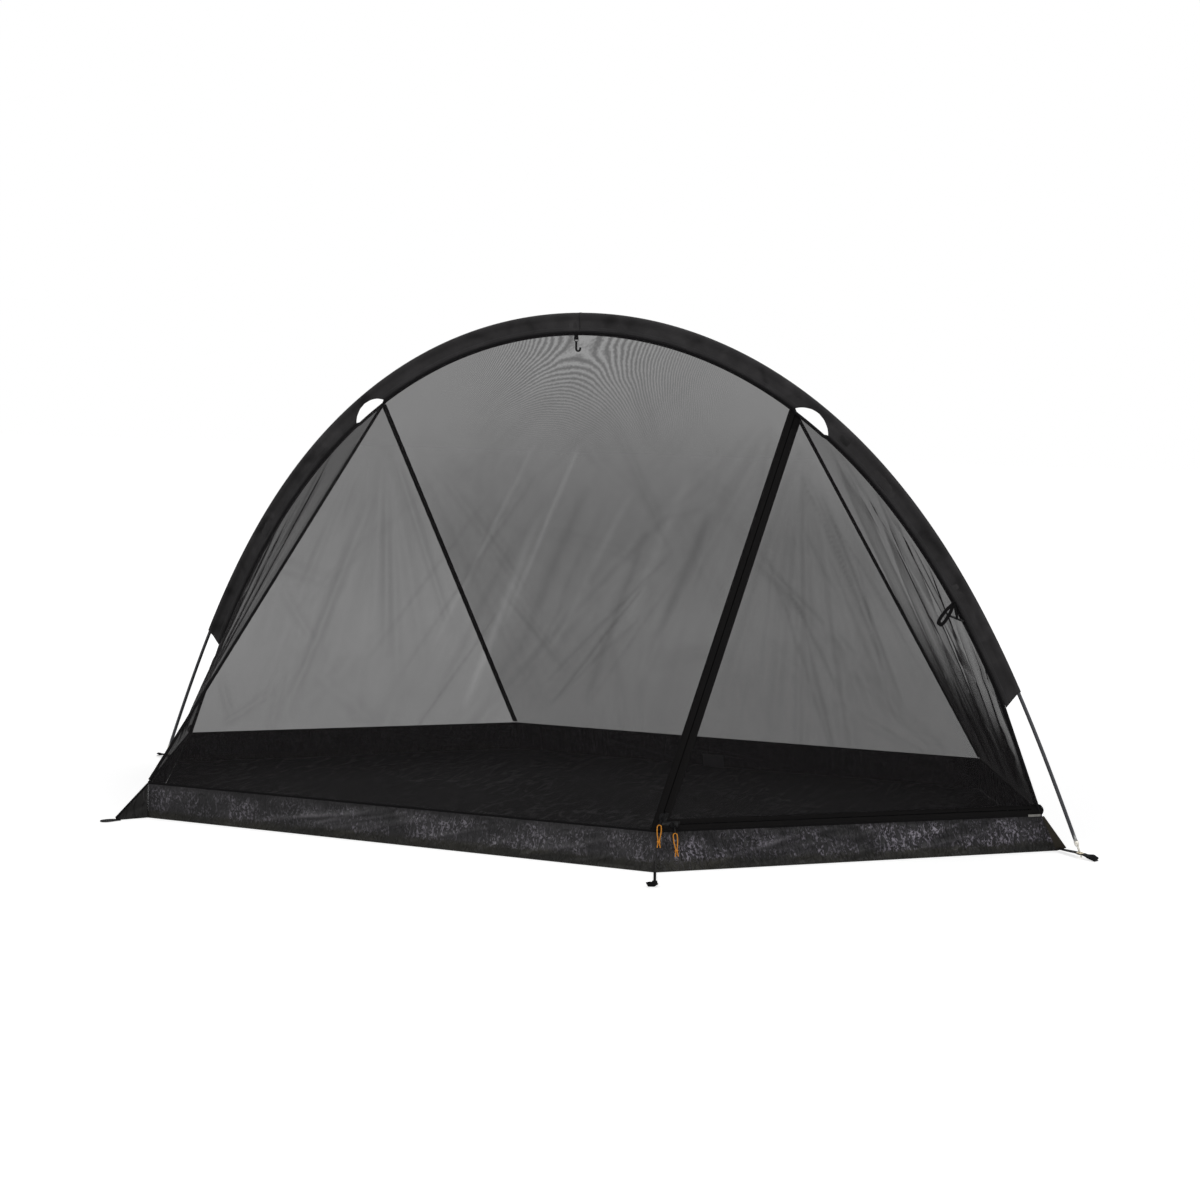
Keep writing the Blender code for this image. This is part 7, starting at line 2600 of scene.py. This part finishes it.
@dataclass
class CornerAnchors:
    """What pegs and carries the corners: straps with eyelets, fins, peg loops and edge tapes."""

    plan: TentPlan
    strap_width: float = 0.018
    strap_thickness: float = 0.0015
    tail_lap: float = 0.0022
    tail_tilt: float = 26.0
    bight_tilt: float = 76.0
    root_height: float = 0.0060
    ring_height: float = 0.0095
    tail: Vector = field(default_factory=lambda: Vector((1.257, -0.018, 0.0012)))
    hole: float = 0.0042
    barrel: float = 0.0007
    strap_inset: float = 0.0025
    eyelet_seat: float = 0.012
    tail_share: float = 0.68
    tail_lift: float = 0.0004
    flange: float = 0.0080
    flange_wall: float = 0.0009
    fin_tip: Vector = field(default_factory=lambda: Vector((-0.905, -0.630, 0.0)))
    fin_tip_height: float = 0.006
    fin_top_drop: float = 0.002
    fin_lift: float = 0.0008
    fin_gap: float = 0.0004
    fin_thickness: float = 0.0006
    fin_rim: float = 0.008
    loop_lap: float = 0.010
    strip_lap: float = 0.006
    strip_arch: float = 0.0012
    fin_creases: int = 12
    fin_seed: int = 77
    loop_length: float = 0.046
    loop_width: float = 0.026
    loop_band: float = 0.0118
    loop_thickness: float = 0.0022
    gusset_width: float = 0.024
    gusset_top: float = 0.005
    gusset_lap: float = 0.002
    tab_aim: Vector = field(default_factory=lambda: Vector((1.0, 0.12, 0.0)).normalized())
    tab_length: float = 0.026
    tab_sink: float = 0.003
    tab_inset: Pair = (0.0055, 0.002)
    tab_width: Pair = (0.004, 0.012)
    tab_thickness: float = 0.0030
    tape_proud: float = 0.0008
    tag_length: float = 0.029
    patch_x: float = 0.152
    patch_size: Pair = (0.058, 0.034)
    patch_rise: float = 0.020
    patch_inset: float = 0.0075
    webbing_length: float = 0.075
    webbing_width: float = 0.006
    webbing_aim: Vector = field(default_factory=lambda: Vector((0.378, -0.926, 0.0)).normalized())
    standing_shape: tuple[Pair, ...] = (
        (0.0, 0.0022), (0.3, 0.0026), (0.65, 0.0034), (0.92, 0.0032), (1.0, -0.0016),
        (1.0, -0.0092), (0.97, -0.0152), (0.86, -0.0142), (0.55, -0.0070), (0.25, -0.0036),
        (0.0, -0.0022))

    def build(self, roster: Roster) -> None:
        """Make every anchor and the small tapes at the corners."""
        self._straps(roster)
        for name, turn in (("front_left", Turn.NONE), ("back_right", Turn.HALF)):
            self._fin(roster, name, turn)
        for name, turn in (("front", Turn.NONE), ("back", Turn.HALF)):
            self._peg_loop(roster, name, turn)
        self._edge_tapes(roster)
        self._tags(roster)

    def _straps(self, roster: Roster) -> None:
        """The webbing under each pole tip, with its eyelet and its doubled tail."""
        plan = self.plan
        point = plan.hoop.point(plan.hoop.half_length)
        along = plan.hoop.axes(plan.hoop.half_length)[0]
        rise = self.ring_height
        ring = Vector((point.x - rise * along.x / -along.z, 0.0, rise))
        root = plan.foot + UP * self.root_height
        flow = unit(Vector((root.x, root.y, 0.0)), Vector((self.tail.x, self.tail.y, 0.0)))
        start = root + unit(plan.foot, Vector((ring.x, 0.0, 0.0))) * self.strap_inset
        seat = flow * self.eyelet_seat
        knots = [start, ring - seat, ring, ring + seat,
                 ring.lerp(self.tail, self.tail_share) + UP * self.tail_lift, self.tail]
        for name, turn in (("right", Turn.NONE), ("left", Turn.HALF)):
            path = smooth_path([turned_half(k, turn) for k in knots], 8)
            hint = turned_half(UP.cross(flow), turn)
            strap = swept("strap", path, lambda t: oval(
                self.strap_width * float(np.interp(t, [0.0, 0.35, 0.75, 1.0],
                                                   [0.7, 1.0, 1.0, 0.85])),
                self.strap_thickness, 14), hint)
            centre = turned_half(ring, turn)
            drill = drawn("drill", bpy.ops.mesh.primitive_cylinder_add, vertices=32, depth=0.02,
                          location=centre, radius=self.hole + self.barrel + plan.fit)
            finish_with(strap, "BOOLEAN", object=drill, operation="DIFFERENCE", solver="EXACT")
            bpy.data.objects.remove(drill)
            tail = swept("tail", path[-17:], self._tail_section, hint)
            roster.take(merged(f"foot_strap_{name}", [strap, tail]), "anchor_webbing", Body.TENT,
                        Slot.BINDING, f"corner_strap_{name}")
            eyelet = self._eyelet()
            put(eyelet, Matrix.Translation(centre))
            eyelet.name = f"eyelet_{name}"
            roster.take(eyelet, "grommet_metal", Body.TENT, Slot.METAL, f"grommet_{name}")

    def _tail_section(self, t: float) -> list[Pair]:
        """The doubled tail: thicker than the strap, and tilted up more towards its end."""
        tilt = math.radians(self.tail_tilt) * float(smooth(t * 1.4))
        wide = self.strap_width * float(np.interp(t, [0.0, 0.5, 1.0], [0.80, 1.0, 0.78]))
        thick = self.strap_thickness + self.tail_lap * float(smooth(t * 3.0))
        c, s = math.cos(tilt), math.sin(tilt)
        lift = wide / 2.0 * s
        return [(a * c - b * s, a * s + b * c + lift) for a, b in oval(wide, thick, 14)]

    def _eyelet(self) -> bpy.types.Object:
        """A rolled eyelet: a barrel with a rounded flange on each side of the webbing."""
        bore, outer = self.hole, self.flange
        inner = self.strap_thickness / 2.0 + self.plan.fit
        top = inner + self.flange_wall
        wall = bore + self.barrel
        half = [(bore, top * 0.55), (bore + 0.0003, top * 0.9), (bore + 0.0010, top + 0.0002),
                (bore + 0.0022, top), (outer - 0.0006, top - 0.0002), (outer, inner + 0.0004),
                (outer - 0.0003, inner), (wall, inner)]
        profile = half + [(r, -z) for r, z in half[::-1]]
        return spun("eyelet", profile, 44)

    def _ring_tape(self, name: str, origin: Vector, flow: Vector, across: Vector,
                   hint: Vector) -> bpy.types.Object:
        """A tape folded into a peg loop with both its ends sewn down.

        Args:
            name: the piece's name.
            origin: where both ends are sewn.
            flow: the way out along the loop.
            across: the way across it.
            hint: the way across the tape's face at its start.

        Returns:
            The object.
        """
        edge = (self.loop_width - self.loop_band) / 2.0
        length = self.loop_length - self.loop_band / 2.0
        side = [(0.0, 0.0022), (length * 0.22, 0.0026), (length * 0.50, edge * 0.80),
                (length * 0.72, edge), (length * 0.90, edge * 0.86), (length, edge * 0.45)]
        shape = [(a, -b) for a, b in side] + side[::-1]
        path = smooth_path(laid(origin, flow, across, shape), 5)
        return swept(name, path, lambda t: oval(self.loop_band, self.loop_thickness, 12), hint)

    def _fin(self, roster: Roster, name: str, turn: Turn) -> None:
        """A coated fin out from a tub corner, its edge tape and its peg loop."""
        plan = self.plan
        low, top = turned_half(plan.end, turn), turned_half(plan.end_top, turn)
        tip = turned_half(self.fin_tip, turn)
        flow = unit(low, tip)
        across = UP.cross(flow)
        base = UP * self.fin_lift
        start = top + flow * self.fin_gap - UP * self.fin_top_drop
        end = tip + UP * self.fin_tip_height
        share = np.linspace(0.0, 1.0, 61)[:, None]
        upper = np.array(start) + (np.array(end) - np.array(start)) * share
        lower = np.array(low + base) + (np.array(tip + base) - np.array(low + base)) * share
        sheet = Sheet.ruled(upper, lower, 36)
        rng = np.random.default_rng(self.fin_seed)
        sheet.fold((0.0, 0.62), (0.75, 0.35), 0.006, 0.0022)
        for _ in range(self.fin_creases):
            u0, v0 = rng.uniform(0.0, 0.7), rng.uniform(0.1, 0.9)
            sheet.fold((u0, v0), (min(u0 + rng.uniform(0.1, 0.3), 1.0), rng.uniform(0.1, 0.9)),
                       rng.uniform(0.002, 0.005), rng.uniform(-0.0008, 0.0008))
        sheet.folds *= sheet.rim(self.fin_rim)
        fin = sheet.build(f"fin_{name}", self.fin_thickness)
        roster.take(fin, "tub_fin_coat", Body.TENT, Slot.TUB, f"corner_fin_{name}")
        flat, area = sheet.cut()
        edge = swept("edge", straight(start, end, 30), lambda t: oval(0.0050, 0.0019, 12),
                     unit(top, low))
        origin = tip - flow * self.loop_lap + UP * (self.loop_thickness / 2.0 + self.fin_gap)
        loop = self._ring_tape("loop", origin, flow, across, across)
        roster.take(merged(f"fin_tapes_{name}", [edge, loop]), "anchor_webbing", Body.TENT,
                    Slot.BINDING)

    def _peg_loop(self, roster: Roster, name: str, turn: Turn) -> None:
        """A strip of webbing from a door corner, ending in a wide peg loop."""
        plan = self.plan
        low, flow = turned_half(plan.door, turn), turned_half(self.webbing_aim, turn)
        across = UP.cross(flow)
        origin = (low + flow * (plan.cloth / 2.0 + plan.fit)
                  + UP * (self.loop_thickness / 2.0 + plan.fit))
        path = [origin + flow * (self.webbing_length * k / 24.0)
                + UP * (self.strip_arch * math.sin(math.pi * k / 24.0)) for k in range(25)]
        strip = swept("strip", path, lambda t: oval(self.webbing_width,
                                                    self.loop_thickness * 0.8, 12), across)
        root = origin + flow * (self.webbing_length - self.strip_lap)
        shape = [(self.loop_length * a, b) for a, b in self.standing_shape]
        loop = swept("loop", smooth_path(laid(root, flow, across, shape), 5),
                     self._standing_section, across)
        roster.take(merged(f"peg_webbing_{name}", [strip, loop]), "anchor_webbing", Body.TENT,
                    Slot.BINDING, f"peg_loop_{name}")

    def _standing_section(self, t: float) -> list[Pair]:
        """The front loop's tape: flat where it is sewn, standing on its edge round the bight."""
        rise = float(smooth((t - 0.2) / 0.3) * smooth((0.72 - t) / 0.2))
        tilt = math.radians(self.bight_tilt) * rise
        c, s = math.cos(tilt), math.sin(tilt)
        wide = self.webbing_width + (self.loop_band - self.webbing_width) * rise
        return [(a * c - b * s, a * s + b * c + wide / 2.0 * s)
                for a, b in oval(wide, self.loop_thickness, 12)]

    def _gusset(self, t: float) -> list[Pair]:
        """The foot's edge tape: wide at the ground, narrow at the rim, out from the corner."""
        wide = self.gusset_width * (1.0 - t) + self.gusset_top * t
        return [(a + wide / 2.0 - self.gusset_lap, b) for a, b in oval(wide, 0.0014)]

    def _edge_tapes(self, roster: Roster) -> None:
        """The seams down the tub's corners, and the end tab over each foot corner."""
        plan = self.plan
        runs = (("foot", plan.foot, plan.foot_top, "corner_edge_cloth", 0.0080),
                ("door", plan.door, plan.door_top, "light_seam_webbing", 0.0022),
                ("end", plan.end, plan.end_top, "seam_webbing", 0.0026))
        for name, low, top, finish, width in runs:
            for side, turn in (("near", Turn.NONE), ("far", Turn.HALF)):
                start, end = turned_half(low, turn), turned_half(top, turn)
                away = Vector((start.x, start.y, 0.0)).normalized()
                path = [spot + away * self.tape_proud + UP * self.tape_proud
                        for spot in straight(start, end, 20, 0)]
                if name == "foot":
                    section, hint = self._gusset, away
                else:
                    section, hint = lambda t: oval(width, 0.0012, 10), UP.cross(away)
                tape = swept(f"corner_tape_{name}_{side}", path, section, hint)
                roster.take(tape, finish, Body.TENT, Slot.BINDING)
        for side, turn in (("right", Turn.NONE), ("left", Turn.HALF)):
            top = turned_half(plan.foot_top, turn)
            out = turned_half(self.tab_aim, turn)
            deep, bow = self.tab_inset
            path = [top + UP * (self.tab_length * k / 10.0 - self.tab_sink)
                    - out * (deep - bow * math.sin(math.pi * k / 10.0)) for k in range(11)]
            least, more = self.tab_width
            tab = swept(f"foot_tab_{side}", path, lambda t: oval(
                least + more * math.sin(math.pi * t), self.tab_thickness, 14), out)
            roster.take(tab, "seam_webbing", Body.TENT, Slot.BINDING)

    def _tags(self, roster: Roster) -> None:
        """A small blank tag on the rim by the right foot, and a blank patch on the far wall."""
        plan = self.plan
        back = -plan.door_along
        start = plan.foot_top + back * 0.0015 - SIDE * 0.0032
        path = [start + back * (self.tag_length * k / 12.0)
                - SIDE * (0.0006 * math.sin(math.pi * k / 12.0)) for k in range(13)]
        tag = swept("blank_tag", path, lambda t: oval(0.0052, 0.0009, 10), UP)
        roster.take(tag, "blank_tag_cloth", Body.TENT, Slot.BINDING)
        low, high = turned_half(plan.end), turned_half(plan.end_top)
        along = unit(low, turned_half(plan.door))
        rise = (high - low) - along * (high - low).dot(along)
        rise.normalize()
        inward = rise.cross(along)
        if inward.y > 0.0:
            inward = -inward
        middle = (low + along * ((low.x - self.patch_x) / -along.x) + rise * self.patch_rise
                  + inward * self.patch_inset)
        patch = sized(drawn("blank_patch", bpy.ops.mesh.primitive_grid_add, x_subdivisions=12,
                            y_subdivisions=8, size=1.0), *self.patch_size, 1.0)
        with shaping(patch) as bm:
            choose(bm, lambda p: p.x < -0.028 and p.y > 0.016, "verts")
            bpy.ops.transform.translate(value=(0.002, -0.001, 0.0))
        patch.data.uv_layers[0].name = CLOTH_MAP
        finish_with(patch, "SOLIDIFY", thickness=0.0006, offset=0.0)
        soften(patch, 0.0002, 1)
        put(patch, frame_of(middle, along, inward))
        roster.take(patch, "blank_patch_cloth", Body.TENT, Slot.TUB)


@dataclass
class TubFloor:
    """The bathtub floor: six crumpled walls and the floor between them."""

    plan: TentPlan
    columns: int = 400
    rows: int = 34
    floor_cell: float = 0.016
    lift: float = 0.0006
    floor_level: float = 0.0026
    ripple: float = 0.0006
    creases_per_metre: int = 110
    first_seed: int = 40
    # The inner walls take the darker copies of the coat, painted for the shade inside the tent; the
    # door wall takes painted highlights.
    finishes: dict[str, str] = field(default_factory=lambda: {
        "door": "tub_wall_shiny_coat", "back_left": "tub_far_coat",
        "back": "tub_back_coat", "right_end": "tub_back_coat", "left_end": "tub_back_coat"})

    def build(self, roster: Roster) -> None:
        """Make the walls and the floor."""
        corners = self.plan.corners()
        for i, name in enumerate(WALLS):
            sheet = self._wall(corners[i], corners[(i + 1) % 6], self.first_seed + i)
            piece = sheet.build(f"wall_{name}")
            finish = self.finishes.get(name, "tub_wall_coat")
            roster.take(piece, finish, Body.TENT, Slot.TUB, f"tub_wall_{name}")
            flat, area = sheet.cut()
        self._ground(roster)

    def _wall(self, first: tuple[Vector, Vector], second: tuple[Vector, Vector],
              seed: int) -> Sheet:
        """One wall, turning into the floor at its foot.

        Args:
            first: its low and top corner at one end.
            second: those at the other end.
            seed: the seed of its creases.

        Returns:
            The sheet.
        """
        lift = UP * self.lift
        u = np.linspace(0.0, 1.0, self.columns + 1)[:, None]
        top = np.array(first[1]) + (np.array(second[1]) - np.array(first[1])) * u
        low_a, low_b = np.array(first[0] + lift), np.array(second[0] + lift)
        sheet = Sheet.ruled(top, low_a + (low_b - low_a) * u, self.rows)
        rng = np.random.default_rng(seed)
        length = float((second[0] - first[0]).length)
        for _ in range(int(length * self.creases_per_metre)):
            u0, v0 = rng.uniform(0.0, 1.0), rng.uniform(0.0, 1.0)
            reach, turn = rng.uniform(0.02, 0.11) / length, rng.uniform(-1.0, 1.0)
            depth = rng.uniform(0.0004, 0.0013) * coin(rng)
            sheet.fold((u0, v0), (clipped(u0 + reach), clipped(v0 + turn)),
                       rng.uniform(0.0022, 0.0065), depth)
        # Long folds whose crease values paint lighter lines along them: painted highlights.
        for _ in range(9):
            u0 = rng.uniform(0.02, 0.7)
            end = (min(u0 + rng.uniform(0.15, 0.35), 1.0), rng.uniform(0.6, 1.0))
            start = (u0, rng.uniform(0.0, 0.3))
            sheet.fold(start, end, rng.uniform(0.004, 0.009), rng.uniform(0.001, 0.003),
                       rng.uniform(0.3, 0.9))
        sheet.folds *= sheet.rim(0.010)
        sheet.shade *= sheet.rim(0.012)
        return sheet

    def _ground(self, roster: Roster) -> None:
        """The floor cloth: a fine grid cut to the six corners, with low ripples."""
        corners = [low for low, _ in self.plan.corners()]
        width = 2.0 * max(abs(c.x) for c in corners)
        depth = 2.0 * max(abs(c.y) for c in corners)
        piece = sized(drawn("ground_floor", bpy.ops.mesh.primitive_grid_add, size=1.0,
                            x_subdivisions=int(width / self.floor_cell),
                            y_subdivisions=int(depth / self.floor_cell)),
                      width + 0.02, depth + 0.02, 1.0)
        with shaping(piece):
            for start, end in zip(corners, corners[1:] + corners[:1]):
                out = UP.cross(end - start).normalized()
                if out.dot(start) < 0.0:
                    out = -out
                bpy.ops.mesh.select_all(action="SELECT")
                bpy.ops.mesh.bisect(plane_co=start - out * 0.001, plane_no=out,
                                    clear_outer=True)
        places = spots(piece)
        x, y = places[:, 0], places[:, 1]
        waves = (np.sin(x * 11.0 + 3.0 * np.sin(y * 5.0))
                 + np.sin(y * 17.0 + 2.0 * np.sin(x * 7.0))
                 + 0.6 * np.sin((x + y) * 29.0 + 2.0 * np.sin(x * 13.0)))
        places[:, 2] = self.floor_level + self.ripple * waves
        piece.data.vertices.foreach_set("co", places.astype(np.float32).ravel())
        layer = piece.data.uv_layers[0]
        layer.name = CLOTH_MAP
        loops = np.zeros(len(piece.data.loops), np.int32)
        piece.data.loops.foreach_get("vertex_index", loops)
        layer.data.foreach_set("uv", places[loops, :2].astype(np.float32).ravel())
        piece.data.shade_smooth()
        roster.take(piece, "tub_floor_coat", Body.TENT, Slot.TUB, "tub_floor")


@dataclass
class Tent:
    """The whole tent, built sub-assembly by sub-assembly."""

    plan: TentPlan = field(default_factory=TentPlan)

    def build(self, roster: Roster) -> None:
        """Build every sub-assembly in order."""
        for part in (DoorZip, PoleSet, SleeveSet, RidgeTape, NettingSet, SeamSet, LanternHook,
                     TieBack, TubFloor, CornerAnchors):
            part(self.plan).build(roster)


def main() -> None:
    """Set the stage, build the tent and report its pieces."""
    logging.basicConfig(level=logging.INFO, format="%(name)s: %(message)s")
    Studio().build()
    roster = Roster(Wardrobe())
    Tent().build(roster)
    LOG.info("%d pieces", len(roster.names))


if __name__ == "__main__":
    main()
